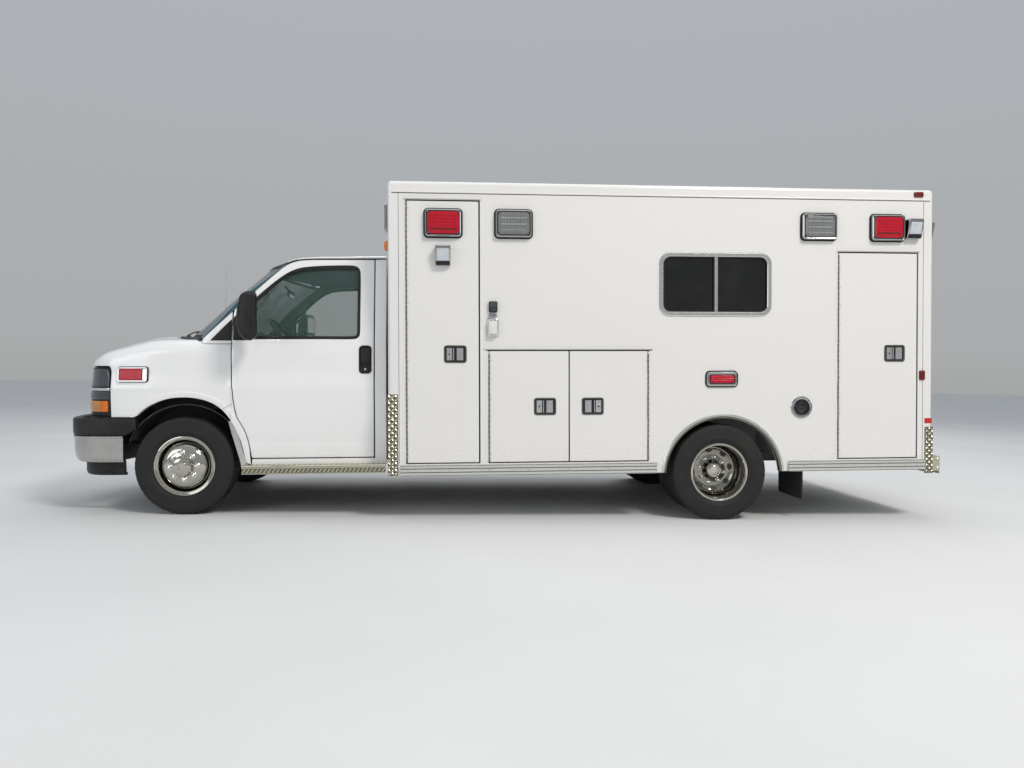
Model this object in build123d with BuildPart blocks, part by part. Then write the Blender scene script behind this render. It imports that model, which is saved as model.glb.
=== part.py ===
from build123d import *
import math
import os

os.makedirs("parts", exist_ok=True)

# ----------------------------------------------------------------------------
# A box ambulance on a cutaway van chassis. Millimetres.
# +X forward, +Y to the vehicle's left, +Z up, ground at Z = 0.
# Wheels and axles are drawn in the row frame. Body, cab and chassis frame are
# drawn level in a body frame and are then leaned nose down by RAKE.
# ----------------------------------------------------------------------------
RAKE = 0.9975                     # degrees, nose down
BODY_DX, BODY_DZ = 0.0, -8.5      # shift of the leaned body in the row frame
BODY_POSE = Location((BODY_DX, 0, BODY_DZ), (0, RAKE, 0))

AXLE_F, AXLE_R = 2413.0, -1626.0  # axle places, wheelbase 4039
TYRE_R, TYRE_W, RIM_R = 366.0, 225.0, 214.0
TRACK_F = 870.0                   # middle of a front tyre
DUAL_IN, DUAL_OUT = 828.0, 1090.0 # middles of the twin rear tyres
KING_Y = 800.0                    # kingpin

# box body
BX0, BX1 = -3328.0, 875.0         # rear and front faces
BY = 1206.5                       # half width
BZ0, BZF, BZ1 = 351.0, 2440.0, 2522.0  # skirt bottom, fascia line, roof top
WALL = 50.0
POST_F, POST_R = 807.0, -3268.0   # inner lines of the corner posts
FLOOR_Z0, FLOOR_Z1 = 660.0, 720.0
COMP_D = 480.0                    # depth of the side compartments
ARCH_X, ARCH_Z, ARCH_R = -1655.0, 313.0, 449.0

# hinged leaves: gap at hinge, latch side, top and bottom, meeting edges
G_H, G_L, G_T, G_M = 10.0, 8.0, 6.0, 10.0
HINGE_R, HINGE_OUT = 4.0, 4.0     # piano hinge barrel, its axis stands proud

# cab
CX0 = 899.0                       # cab back
CY = 1006.0                       # cab half width at the waist
BELT = 1370.0


def finish(builder, label, leaned=True):
    builder.part.label = label
    piece = builder.part.moved(BODY_POSE) if leaned else builder.part
    piece.label = label
    export_step(piece, f"parts/{label}.step")


def side(y):
    """Sketch plane at one y, drawn as (x, z); a positive extrusion goes to -y."""
    return Plane(origin=(0, y, 0), x_dir=(1, 0, 0), z_dir=(0, -1, 0))


def rect(u0, u1, v0, v1, mode=Mode.ADD):
    with Locations(((u0 + u1) / 2, (v0 + v1) / 2)):
        Rectangle(abs(u1 - u0), abs(v1 - v0), mode=mode)


def box(x0, x1, y0, y1, z0, z1, mode=Mode.ADD):
    with Locations(((x0 + x1) / 2, (y0 + y1) / 2, (z0 + z1) / 2)):
        Box(abs(x1 - x0), abs(y1 - y0), abs(z1 - z0), mode=mode)


def poly(points):
    with BuildLine() as outline:
        Polyline(*points, close=True)
    make_face(outline.edges())


def prism_y(points, y0, y1, mode=Mode.ADD):
    """A closed outline of (x, z) points from y0 to y1."""
    with BuildSketch(side(max(y0, y1))) as outline:
        poly(points)
    extrude(outline.sketch, amount=abs(y1 - y0), mode=mode)


def rod_y(x, z, r, y0, y1, mode=Mode.ADD):
    with BuildSketch(side(max(y0, y1))) as outline:
        with Locations((x, z)):
            Circle(r)
    extrude(outline.sketch, amount=abs(y1 - y0), mode=mode)


# warning lights on the box: columns: x rear, x front, z bottom, z top, stand-off
SIDE_LIGHTS = [
    (-196.0, 93.0, 2100.0, 2318.0, 42.0),
    (-2534.0, -2242.0, 2110.0, 2326.0, 42.0),
    (-3083.0, -2791.0, 2109.0, 2324.0, 42.0),
    (-3223.0, -3091.0, 2135.0, 2284.0, 75.0),
    (-1761.0, -1520.0, 1002.0, 1115.0, 25.0),
]
# on the right the front one sits behind the entry door
SIDE_LIGHTS_RIGHT = [(-951.0, -662.0, 2100.0, 2318.0, 42.0)] + SIDE_LIGHTS[1:]
DOOR_LIGHTS = [
    (350.0, 584.0, 2129.0, 2290.0, 21.0),
    (428.0, 510.0, 1916.0, 2024.0, 26.0),
]


def lamp_row(s, rows):
    for xa, xb, z0, z1, d in rows:
        with BuildSketch(side(BY + d if s > 0 else -BY)) as lamp:
            with Locations(((xa + xb) / 2, (z0 + z1) / 2)):
                RectangleRounded(xb - xa, z1 - z0, 22)
        extrude(lamp.sketch, amount=d)


# --- doors of the box body ---------------------------------------------------
# columns: name, wall side (+1 left, -1 right), x front, x rear, z bottom, z top,
#          hinge edge ("front" or "rear"), meeting edge on the free side, window
SIDE_DOORS = [
    ("left_front_compartment_door", 1, 743.0, 199.0, 441.0, 2380.0, "front", False, None),
    ("left_middle_door_front", 1, 135.0, -470.0, 441.0, 1277.0, "front", True, None),
    ("left_middle_door_rear", 1, -470.0, -1077.0, 441.0, 1277.0, "rear", True, None),
    ("left_rear_compartment_door", 1, -2558.0, -3201.0, 441.0, 2030.0, "front", False, None),
    ("right_front_compartment_door", -1, 743.0, 199.0, 441.0, 2380.0, "front", False, None),
    ("side_entry_door", -1, 130.0, -640.0, 500.0, 2380.0, "front", False, (-60.0, -450.0, 1537.0, 2016.0)),
    ("right_rear_compartment_door", -1, -2558.0, -3201.0, 441.0, 1600.0, "front", False, None),
]
KNUCKLE = 150.0                   # length of one hinge knuckle


def knuckles(z0, z1):
    """Equal lengths of a piano hinge, in turn on the wall and on the leaf."""
    n = max(3, int(round((z1 - z0) / KNUCKLE)) | 1)
    step = (z1 - z0) / n
    return [(z0 + i * step + 1, z0 + (i + 1) * step - 1, i % 2 == 0) for i in range(n)]


def side_hinge(s, x_axis, away, z0, z1, on_wall):
    """Knuckles of one hinge with their flat leaves on the outer face of a side wall.
    away is +1 where the wall lies to +x of the hinge line, -1 where it lies to -x."""
    for ka, kb, wall in knuckles(z0, z1):
        if wall != on_wall:
            continue
        d = away if wall else -away
        with Locations((x_axis, s * (BY + HINGE_OUT), (ka + kb) / 2)):
            Cylinder(HINGE_R, kb - ka)
        box(min(x_axis, x_axis + d * 22), max(x_axis, x_axis + d * 22),
            min(s * BY, s * (BY + 2)), max(s * BY, s * (BY + 2)), ka, kb)


def side_wall(builder_side, window):
    s = builder_side
    ya, yb = (BY - WALL, BY) if s > 0 else (-BY, -(BY - WALL))
    with BuildSketch(side(yb)) as wall:
        rect(POST_R, POST_F, BZ0, BZF)
        for name, ds, xf, xr, z0, z1, hinge, meet, win in SIDE_DOORS:
            if ds == s and name != "left_middle_door_rear":
                x_low = -1077.0 if name == "left_middle_door_front" else xr
                rect(x_low, xf, z0, z1, mode=Mode.SUBTRACT)
        with Locations((ARCH_X, ARCH_Z)):
            Circle(ARCH_R, mode=Mode.SUBTRACT)
        rect(ARCH_X - ARCH_R, ARCH_X + ARCH_R, 0, ARCH_Z, mode=Mode.SUBTRACT)
        if window:
            wx0, wx1, wz0, wz1 = window
            with Locations(((wx0 + wx1) / 2, (wz0 + wz1) / 2)):
                RectangleRounded(wx1 - wx0, wz1 - wz0, 70, mode=Mode.SUBTRACT)
    extrude(wall.sketch, amount=WALL)
    for name, ds, xf, xr, z0, z1, hinge, meet, win in SIDE_DOORS:
        if ds == s:
            ax, away = (xf - G_H / 2, 1) if hinge == "front" else (xr + G_H / 2, -1)
            side_hinge(s, ax, away, z0 + 10, z1 - 10, True)


LEFT_WINDOW = (-2027.0 + 20, -1159.0 - 20, 1537.0 + 20, 2016.0 - 20)
with BuildPart() as left_wall:
    side_wall(1, LEFT_WINDOW)
finish(left_wall, "left_wall")

with BuildPart() as right_wall:
    side_wall(-1, None)
finish(right_wall, "right_wall")

with BuildPart() as left_window:
    wx0, wx1, wz0, wz1 = LEFT_WINDOW
    with BuildSketch(side(BY - 14)):
        with Locations(((wx0 + wx1) / 2, (wz0 + wz1) / 2)):
            RectangleRounded(wx1 - wx0, wz1 - wz0, 70)
    extrude(amount=8)
finish(left_window, "left_window")

for name, s, xf, xr, z0, z1, hinge, meet, win in SIDE_DOORS:
    front_gap = G_H if hinge == "front" else (G_M / 2 if meet else G_L)
    rear_gap = G_H if hinge == "rear" else (G_M / 2 if meet else G_L)
    with BuildPart() as side_door:
        with BuildSketch(side(BY if s > 0 else -(BY - WALL))):
            rect(xr + rear_gap, xf - front_gap, z0 + G_T, z1 - G_T)
            if win:
                rect(win[0], win[1], win[2], win[3], mode=Mode.SUBTRACT)
        extrude(amount=WALL)
        ax, away = (xf - G_H / 2, 1) if hinge == "front" else (xr + G_H / 2, -1)
        side_hinge(s, ax, away, z0 + 10, z1 - 10, False)
        if name.endswith("front_compartment_door"):
            lamp_row(s, DOOR_LIGHTS)
    finish(side_door, name)
    if win:
        with BuildPart() as door_pane:
            ya, yb = sorted((s * (BY - 16), s * (BY - 24)))
            box(win[0], win[1], ya, yb, win[2], win[3])
        finish(door_pane, "entry_door_glass")

# --- compartments behind the side doors -------------------------------------
CW = 15.0                         # compartment sheet and frame thickness
for s, label in ((1, "left_compartments"), (-1, "right_compartments")):
    with BuildPart() as compartments:
        rows = [(n, xf, xr, z0, z1) for n, ds, xf, xr, z0, z1, h, m, w in SIDE_DOORS
                if ds == s and n not in ("side_entry_door", "left_middle_door_rear")]
        for n, xf, xr, z0, z1 in rows:
            xr = -1077.0 if n == "left_middle_door_front" else xr
            ya, yb = BY - WALL - COMP_D, BY - WALL
            y0, y1 = (ya, yb) if s > 0 else (-yb, -ya)
            box(xr - 5 - CW, xf + 5 + CW, y0, y1, z0 - 5 - CW, z1 + 5 + CW)
            iy0, iy1 = (ya + CW, yb) if s > 0 else (-yb, -ya - CW)
            box(xr - 5, xf + 5, iy0, iy1, z0 - 5, z1 + 5, mode=Mode.SUBTRACT)
        # one shelf in the tall front compartment
        y0, y1 = (BY - WALL - COMP_D + CW, BY - WALL - 60) if s > 0 else (-(BY - WALL - 60), -(BY - WALL - COMP_D + CW))
        box(199.0 - 5, 743.0 + 5, y0, y1, 1400, 1412)
    finish(compartments, label)

# --- floor with wheel housings and step well --------------------------------
HOUSE_X0, HOUSE_X1, HOUSE_Y, HOUSE_Z = -2125.0, -1185.0, 690.0, 800.0
WELL = (-640.0, 130.0, 520.0)     # step well: x rear, x front, floor height
YI = BY - WALL
with BuildPart() as box_floor:
    box(BX0 + WALL, BX1 - WALL, -YI, YI, FLOOR_Z0, FLOOR_Z1)
    for n, s, xf, xr, z0, z1, h, m, w in SIDE_DOORS:
        if n in ("side_entry_door", "left_middle_door_rear"):
            continue
        xr = -1077.0 if n == "left_middle_door_front" else xr
        y0, y1 = (YI - COMP_D, YI) if s > 0 else (-YI, -(YI - COMP_D))
        box(xr - 5 - CW, xf + 5 + CW, y0, y1, 600, 760, mode=Mode.SUBTRACT)
    for s in (1, -1):
        y0, y1 = (HOUSE_Y, YI) if s > 0 else (-YI, -HOUSE_Y)
        box(HOUSE_X0, HOUSE_X1, y0, y1, FLOOR_Z0 - 200, HOUSE_Z)
        yi0, yi1 = (HOUSE_Y + 15, YI) if s > 0 else (-YI, -HOUSE_Y - 15)
        box(HOUSE_X0 + 15, HOUSE_X1 - 15, yi0, yi1, FLOOR_Z0 - 200, HOUSE_Z - 18, mode=Mode.SUBTRACT)
    # step well inside the entry door
    box(WELL[0] - 15, WELL[1] + 15, -YI, -YI + 330, WELL[2] - 30, FLOOR_Z0)
    box(WELL[0], WELL[1], -YI, -YI + 315, WELL[2], FLOOR_Z1 + 5, mode=Mode.SUBTRACT)
    # raised plate for the cot
    box(-3100, -1100, -300, 300, FLOOR_Z1, FLOOR_Z1 + 6)
    # cross bearers under the floor
    for x in (700, 200, -500, -1050, -2350, -3100):
        box(x - 40, x + 40, -650, 650, 620, FLOOR_Z0)
finish(box_floor, "box_floor")

# --- roof --------------------------------------------------------------------
with BuildPart() as box_roof:
    box(BX0, BX1, -BY, BY, BZF, BZ1)
    fillet(box_roof.edges().filter_by(Axis.Z), 30)
    fillet(box_roof.faces().sort_by(Axis.Z)[-1].edges(), 28)
    box(BX0 + WALL, BX1 - WALL, -YI, YI, BZF, BZF + 30, mode=Mode.SUBTRACT)
finish(box_roof, "box_roof")

# --- end walls ----------------------------------------------------------------
PASS_Y, PASS_Z0, PASS_Z1 = 330.0, 720.0, 1900.0
with BuildPart() as front_wall:
    with BuildSketch(Plane.XY.offset(BZ0)):
        rect(BX1 - WALL, BX1, -BY, BY)
        rect(POST_F, BX1, YI, BY)
        rect(POST_F, BX1, -BY, -YI)
    extrude(amount=BZF - BZ0)
    fillet(front_wall.edges().filter_by(Axis.Z).filter_by(lambda e: e.center().X > BX1 - 1 and abs(e.center().Y) > BY - 1), 30)
    box(BX1 - WALL, BX1, -700, 700, BZ0, FLOOR_Z0, mode=Mode.SUBTRACT)
    box(BX1 - WALL, BX1, -PASS_Y, PASS_Y, PASS_Z0, PASS_Z1, mode=Mode.SUBTRACT)
finish(front_wall, "front_wall")

RD_Y, RD_Z0, RD_Z1 = 620.0, 700.0, 2290.0   # rear doorway
with BuildPart() as rear_wall:
    with BuildSketch(Plane.XY.offset(BZ0)):
        rect(BX0, BX0 + WALL, -BY, BY)
        rect(BX0, POST_R, YI, BY)
        rect(BX0, POST_R, -BY, -YI)
    extrude(amount=BZF - BZ0)
    fillet(rear_wall.edges().filter_by(Axis.Z).filter_by(lambda e: e.center().X < BX0 + 1 and abs(e.center().Y) > BY - 1), 30)
    box(BX0, BX0 + WALL, -RD_Y, RD_Y, RD_Z0, RD_Z1, mode=Mode.SUBTRACT)
    for s in (1, -1):
        for ka, kb, on_wall in knuckles(RD_Z0 + 10, RD_Z1 - 10):
            if on_wall:
                with Locations((BX0 - HINGE_OUT, s * (RD_Y - G_H / 2), (ka + kb) / 2)):
                    Cylinder(HINGE_R, kb - ka)
                ya = s * (RD_Y - G_H / 2)
                box(BX0 - 2, BX0, min(ya, ya + s * 22), max(ya, ya + s * 22), ka, kb)
finish(rear_wall, "rear_wall")

RW = (150.0, 500.0, 1500.0, 2080.0)         # rear door window: y near, y far, z
for s, label in ((1, "rear_door_left"), (-1, "rear_door_right")):
    with BuildPart() as rear_door:
        with BuildSketch(Plane.YZ.offset(BX0)):
            ya, yb = sorted((s * G_M / 2, s * (RD_Y - G_H)))
            rect(ya, yb, RD_Z0 + G_T, RD_Z1 - G_T)
            wa, wb = sorted((s * RW[0], s * RW[1]))
            rect(wa, wb, RW[2], RW[3], mode=Mode.SUBTRACT)
        extrude(amount=WALL)
        for ka, kb, on_wall in knuckles(RD_Z0 + 10, RD_Z1 - 10):
            if not on_wall:
                with Locations((BX0 - HINGE_OUT, s * (RD_Y - G_H / 2), (ka + kb) / 2)):
                    Cylinder(HINGE_R, kb - ka)
                ya = s * (RD_Y - G_H / 2)
                box(BX0 - 2, BX0, min(ya, ya - s * 22), max(ya, ya - s * 22), ka, kb)
    finish(rear_door, label)
    with BuildPart() as rear_pane:
        box(BX0 + 16, BX0 + 24, wa, wb, RW[2], RW[3])
    finish(rear_pane, label.replace("door", "glass"))

# --- outside trim of the box --------------------------------------------------
with BuildPart() as rub_rails:
    for s in (1, -1):
        y0, y1 = (BY, BY + 22) if s > 0 else (-BY - 22, -BY)
        for xa, xb in ((-1137.0, 786.0), (-3258.0, -2166.0)):
            box(xa, xb, y0, y1, 350, 430)
            with BuildSketch(Plane.YZ.offset(xa)) as grooves:
                for z in (376.5, 403.5):
                    with Locations((s * (BY + 22), z)):
                        Rectangle(12, 7)
            extrude(amount=xb - xa, mode=Mode.SUBTRACT)
    # diamond plate guards round the lower corners
    for s in (1, -1):
        for xa, xb, z0, z1 in ((801.0, 878.0, 351.0, 953.0), (-3331.0, -3263.0, 319.0, 682.0)):
            y0, y1 = (BY, BY + 3) if s > 0 else (-BY - 3, -BY)
            box(xa, xb, y0, y1, z0, z1)
            if xa > 0:
                y0, y1 = (BY - 100, BY) if s > 0 else (-BY, -BY + 100)
                box(BX1, BX1 + 3, y0, y1, z0, z1)
                y0, y1 = (BY - 30, BY + 3) if s > 0 else (-BY - 3, -BY + 30)
                box(BX1, BX1 + 3, y0, y1, z0, z1)
            else:
                y0, y1 = (BY - 60, BY + 3) if s > 0 else (-BY - 3, -BY + 60)
                box(BX0 - 3, BX0, y0, y1, z0, z1)
finish(rub_rails, "rub_rails")

with BuildPart() as box_lights:
    for s in (1, -1):
        lamp_row(s, SIDE_LIGHTS if s > 0 else SIDE_LIGHTS_RIGHT)
    # rear face: warning lights above the doors and tail lamps beside them
    for y0, y1, z0, z1, d in ((640.0, 930.0, 2110.0, 2326.0, 42.0), (980.0, 1140.0, 2135.0, 2284.0, 60.0),
                              (700.0, 1140.0, 900.0, 1050.0, 30.0)):
        for s in (1, -1):
            a, b = sorted((s * y0, s * y1))
            box(BX0 - d, BX0, a, b, z0, z1)
    # front face: warning lights near the roof edge
    for y0, y1 in ((690.0, 980.0), (200.0, 490.0)):
        for s in (1, -1):
            a, b = sorted((s * y0, s * y1))
            box(BX1, BX1 + 40, a, b, 2190, 2406)
finish(box_lights, "box_lights")

# --- chassis ------------------------------------------------------------------
RAIL_Y0, RAIL_Y1 = 355.0, 430.0
RAIL_SIDE = [(-3278, 470), (600, 470), (820, 380), (2140, 380), (2300, 430), (3080, 430),
             (3080, 540), (2300, 560), (2140, 530), (900, 530), (720, 620), (-3278, 620)]
CROSS = [(-3240, 490, 610), (-2250, 500, 610), (-1080, 500, 610), (-350, 500, 610), (420, 500, 610),
         (760, 560, 600), (3040, 440, 540)]
TIE_X, TIE_Z, TIE_R = -2990.0, 325.0, 13.0   # tie-down eyes under the rear frame
with BuildPart() as chassis_frame:
    for s in (1, -1):
        a, b = sorted((s * RAIL_Y0, s * RAIL_Y1))
        prism_y(RAIL_SIDE, a, b)
    for x, z0, z1 in CROSS:
        box(x - 35, x + 35, -RAIL_Y0, RAIL_Y0, z0, z1)
    # hangers of the front axle, and the radiator support between the front horns
    for s in (1, -1):
        a, b = sorted((s * RAIL_Y0, s * RAIL_Y1))
        box(2330, 2480, a, b, 415, 430)
    box(2960, 3010, -700, 700, 560, 600)
    for s in (1, -1):
        a, b = sorted((s * RAIL_Y0, s * RAIL_Y1))
        box(2960, 3010, a, b, 540, 560)
        a, b = sorted((s * 640, s * 700))
        box(2960, 3010, a, b, 600, 1150)
    box(2960, 3010, -640, 640, 1110, 1150)
    box(2965, 3005, -560, 560, 600, 1110)
    # outriggers to the rear step
    for s in (1, -1):
        a, b = sorted((s * 560, s * 620))
        box(-3278, -3120, a, b, 400, 470)
        a, b = sorted((s * 430, s * 620))
        box(-3180, -3120, a, b, 470, 540)
    # tie-down eyes under the rails
    for s in (1, -1):
        a, b = sorted((s * 378, s * 408))
        prism_y([(-3060, 471), (-3030, TIE_Z - 10), (-3012, TIE_Z - 33), (-2968, TIE_Z - 33), (-2950, TIE_Z - 10), (-2920, 471)], a, b)
        rod_y(TIE_X, TIE_Z, TIE_R, a - 5, b + 5, mode=Mode.SUBTRACT)
finish(chassis_frame, "chassis_frame")

with BuildPart() as engine_block:
    box(2230, 2860, -290, 290, 440, 1110)
    box(1500, 2230, -190, 190, 400, 550)
finish(engine_block, "engine_block")

with BuildPart() as fuel_tank:
    box(-3180, -2300, -340, 340, 330, 480)
    fillet(fuel_tank.edges().filter_by(Axis.Y), 40)
finish(fuel_tank, "fuel_tank")

with BuildPart() as exhaust:
    with BuildSketch(Plane.YZ.offset(-1010)):
        with Locations((-560, 345)):
            Circle(38)
    extrude(amount=3100)
    with BuildSketch(Plane.YZ.offset(-300)):
        with Locations((-560, 345)):
            Ellipse(110, 80)
    extrude(amount=650)
    rod_y(-1010, 345, 38, -1130, -560)
    with Locations((-1010, -560, 345)):
        Sphere(38)
finish(exhaust, "exhaust")

with BuildPart() as mud_flaps:
    for s in (1, -1):
        a, b = sorted((s * 720, s * 1150))
        box(-2310, -2300, a, b, 120, 470)
finish(mud_flaps, "mud_flaps")

with BuildPart() as rear_step:
    box(-3428, -3338, -1150, 1150, 400, 445)
    box(-3338, -3328, -1140, 1140, 319, 445)
    for s in (1, -1):
        a, b = sorted((s * 500, s * 1150))
        box(-3428, -3418, a, b, 309, 400)
        a, b = sorted((s * 1110, s * 1150))
        box(-3418, -3338, a, b, 330, 400)
finish(rear_step, "rear_step")

# --- cab volumes ---------------------------------------------------------------
# one set of outlines gives the outer face and, pulled in by t, the inner face
# plan outlines of the upper cab: columns: z, pillar x, half width at the pillar,
#                                          half width at the back, middle of the windscreen x
UPPER = [
    (BELT, 2279.0, 955.0, 985.0, 2587.0),
    (1705.0, 1974.0, 898.0, 923.0, 2219.0),
    (2100.0, 1468.0, 826.0, 851.0, 1785.0),
]


def cab_volume(t, tw):
    """t: thickness below the waist, tw: above it."""
    y = CY - t
    back = CX0 + (35 if t else 0)
    with BuildSketch(Plane.YZ.offset(back)) as lower:
        poly([(-985 + t, 425 + t), (985 - t, 425 + t), (1000 - t, 590), (y, 990), (y, 1091),
              (985 - t, BELT), (-985 + t, BELT), (-y, 1091), (-y, 990), (-1000 + t, 590)])
    extrude(lower.sketch, amount=2279 - back)
    sections = []
    for z, x_pillar, half_front, half_back, x_mid in UPPER:
        with BuildSketch(Plane.XY.offset(z)) as section:
            with BuildLine() as outline:
                Polyline((x_pillar - tw * 1.3, -half_front + tw), (back, -half_back + tw), (back, half_back - tw),
                         (x_pillar - tw * 1.3, half_front - tw))
                ThreePointArc((x_pillar - tw * 1.3, half_front - tw), (x_mid - tw * 1.45, 0),
                              (x_pillar - tw * 1.3, -half_front + tw))
            make_face(outline.edges())
        sections.append(section.sketch)
    loft(sections, ruled=True)
    # roof seen from the side, then its crown seen from the front
    with BuildSketch(side(1300)) as roof_side:
        with BuildLine() as outline:
            Polyline((800, 300), (800, 2064 - tw), (1400, 2058 - tw))
            ThreePointArc((1400, 2058 - tw), (1700, 2040 - tw), (1930, 1975 - tw))
            Polyline((1930, 1975 - tw), (2900, 1975 - tw - 970 * 0.8), (2900, 300), (800, 300))
        make_face(outline.edges())
    extrude(roof_side.sketch, amount=2600, mode=Mode.INTERSECT)
    with BuildSketch(Plane.YZ.offset(700)) as crown:
        with BuildLine() as outline:
            Polyline((-1100, 1960 - tw), (-1100, 300), (1100, 300), (1100, 1960 - tw))
            ThreePointArc((1100, 1960 - tw), (0, 2064 - tw), (-1100, 1960 - tw))
        make_face(outline.edges())
    extrude(crown.sketch, amount=2200, mode=Mode.INTERSECT)


with BuildPart() as cab_outer:
    cab_volume(0, 0)
with BuildPart() as cab_inner:
    cab_volume(60, 45)
with BuildPart() as door_inner:
    cab_volume(90, 45)

# door opening, door leaf and window seen from the side
DOOR_OUT = [(1000, 472), (1945, 472), (1951, 571), (1989, 751), (2035, 897), (2044, 1060), (2050, 1352),
            (2046, 1585), (1948, 1690), (1690, 1893), (1530, 1968), (1000, 1984)]
DOOR_LEAF = [(1012, 480), (1936, 480), (1943, 575), (1981, 755), (2027, 900), (2036, 1062), (2042, 1352),
             (2038, 1580), (1941, 1682), (1685, 1884), (1527, 1959), (1012, 1975)]
DOOR_WIN = [(1101, 1386), (1935, 1386), (1935, 1610), (1905, 1650), (1668, 1838), (1518, 1903), (1250, 1920), (1101, 1920)]

SCREEN = [(1415.0, 1950.0, 895.0), (1950.0, 1480.0, 800.0)]   # z, x behind, half width


def windscreen_space(mode=Mode.SUBTRACT):
    sections = []
    for z, x, half in SCREEN:
        with BuildSketch(Plane.XY.offset(z)) as section:
            rect(x, 2900, -half, half)
        sections.append(section.sketch)
    loft(sections, mode=mode)


with BuildPart() as cab_shell:
    add(cab_outer.part)
    add(cab_inner.part, mode=Mode.SUBTRACT)
    # door openings, and the space ahead of the hinge posts below the waist
    for s in (1, -1):
        prism_y(DOOR_OUT, *sorted((s * 600, s * 1100)), mode=Mode.SUBTRACT)
    box(2056, 2900, -1100, 1100, 300, BELT - 8, mode=Mode.SUBTRACT)
    prism_y([(1953, 300), (2400, 300), (2400, BELT - 8), (2060, BELT - 8), (2054, 1060), (2045, 897), (1999, 751), (1961, 571)],
            -1100, 1100, mode=Mode.SUBTRACT)
    # sill only at the sides, open floor
    box(CX0 + 60, 2100, -880, 880, 300, 640, mode=Mode.SUBTRACT)
    # back opening to the box body
    box(CX0 - 10, CX0 + 80, -PASS_Y, PASS_Y, PASS_Z0, PASS_Z1, mode=Mode.SUBTRACT)
    box(CX0 - 10, CX0 + 80, -860, 860, 300, 600, mode=Mode.SUBTRACT)
    # windscreen opening, narrower at the top
    windscreen_space()
    # cowl panel between the windscreen and the hood
    with BuildSketch(Plane.XY.offset(1352)):
        with BuildLine():
            Polyline((2432, 800), (2220, 800), (2220, -800), (2432, -800))
            ThreePointArc((2432, -800), (2640, 0), (2432, 800))
        make_face()
    extrude(amount=28)
    # collar round the opening between cab and box
    box(BX1, CX0, -PASS_Y - 60, PASS_Y + 60, PASS_Z0 - 60, PASS_Z1 + 60)
    box(BX1, CX0, -PASS_Y, PASS_Y, PASS_Z0, PASS_Z1, mode=Mode.SUBTRACT)
finish(cab_shell, "cab_shell")

with BuildPart() as ws_inner:
    cab_volume(12, 12)
with BuildPart() as windscreen:
    add(cab_outer.part)
    add(ws_inner.part, mode=Mode.SUBTRACT)
    windscreen_space(mode=Mode.INTERSECT)
finish(windscreen, "windscreen")

def mirror_body(s):
    """Mirror head, its arm and the foot on the front corner of the door frame."""
    with BuildSketch(Plane.XY.offset(1365)) as head:
        with Locations((1868, s * 1182)):
            RectangleRounded(120, 215, 45)
    extrude(head.sketch, amount=335)
    box(1880, 1970, *sorted((s * 900, s * 1090)), 1440, 1500)
    box(1942, 2030, *sorted((s * 900, s * 985)), 1392, 1520)


for s, label in ((1, "cab_door_left"), (-1, "cab_door_right")):
    with BuildPart() as mirror:
        mirror_body(s)
        add(cab_outer.part, mode=Mode.SUBTRACT)
    with BuildPart() as cab_door:
        add(cab_outer.part)
        add(door_inner.part, mode=Mode.SUBTRACT)
        prism_y(DOOR_LEAF, *sorted((s * 600, s * 1100)), mode=Mode.INTERSECT)
        prism_y(DOOR_WIN, *sorted((s * 600, s * 1100)), mode=Mode.SUBTRACT)
        # the leaf keeps to its side of the cab at the bottom and the top
        box(1000, 2100, *sorted((s * 590, s * 896)), 400, 520, mode=Mode.SUBTRACT)
        box(1000, 1720, *sorted((s * 590, s * 824)), 1900, 2000, mode=Mode.SUBTRACT)
        add(mirror.part)
    finish(cab_door, label)

with BuildPart() as g_out:
    cab_volume(20, 20)
with BuildPart() as g_in:
    cab_volume(26, 26)
for s, label in ((1, "door_glass_left"), (-1, "door_glass_right")):
    with BuildPart() as door_glass:
        add(g_out.part)
        add(g_in.part, mode=Mode.SUBTRACT)
        prism_y(DOOR_WIN, *sorted((s * 600, s * 1100)), mode=Mode.INTERSECT)
    finish(door_glass, label)

# --- floor and firewall of the cab ---------------------------------------------
with BuildPart() as cab_floor:
    box(CX0 + 60, 1950, -880, 880, 560, 590)
    box(1950, 2200, -540, 540, 560, 590)
    box(2160, 2200, -540, 540, 590, 1345)
    for s in (1, -1):
        a, b = sorted((s * 540, s * 900))
        box(2160, 2200, a, b, 850, 1300)
        box(1910, 2200, a, b, 850, 880)
        box(1910, 1950, a, b, 590, 850)
        a, b = sorted((s * 528, s * 550))
        box(1910, 2180, a, b, 575, 880)
        # hinge posts
        a, b = sorted((s * 850, s * 900))
        box(2064, 2160, a, b, 880, 1300)
finish(cab_floor, "cab_floor")

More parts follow.
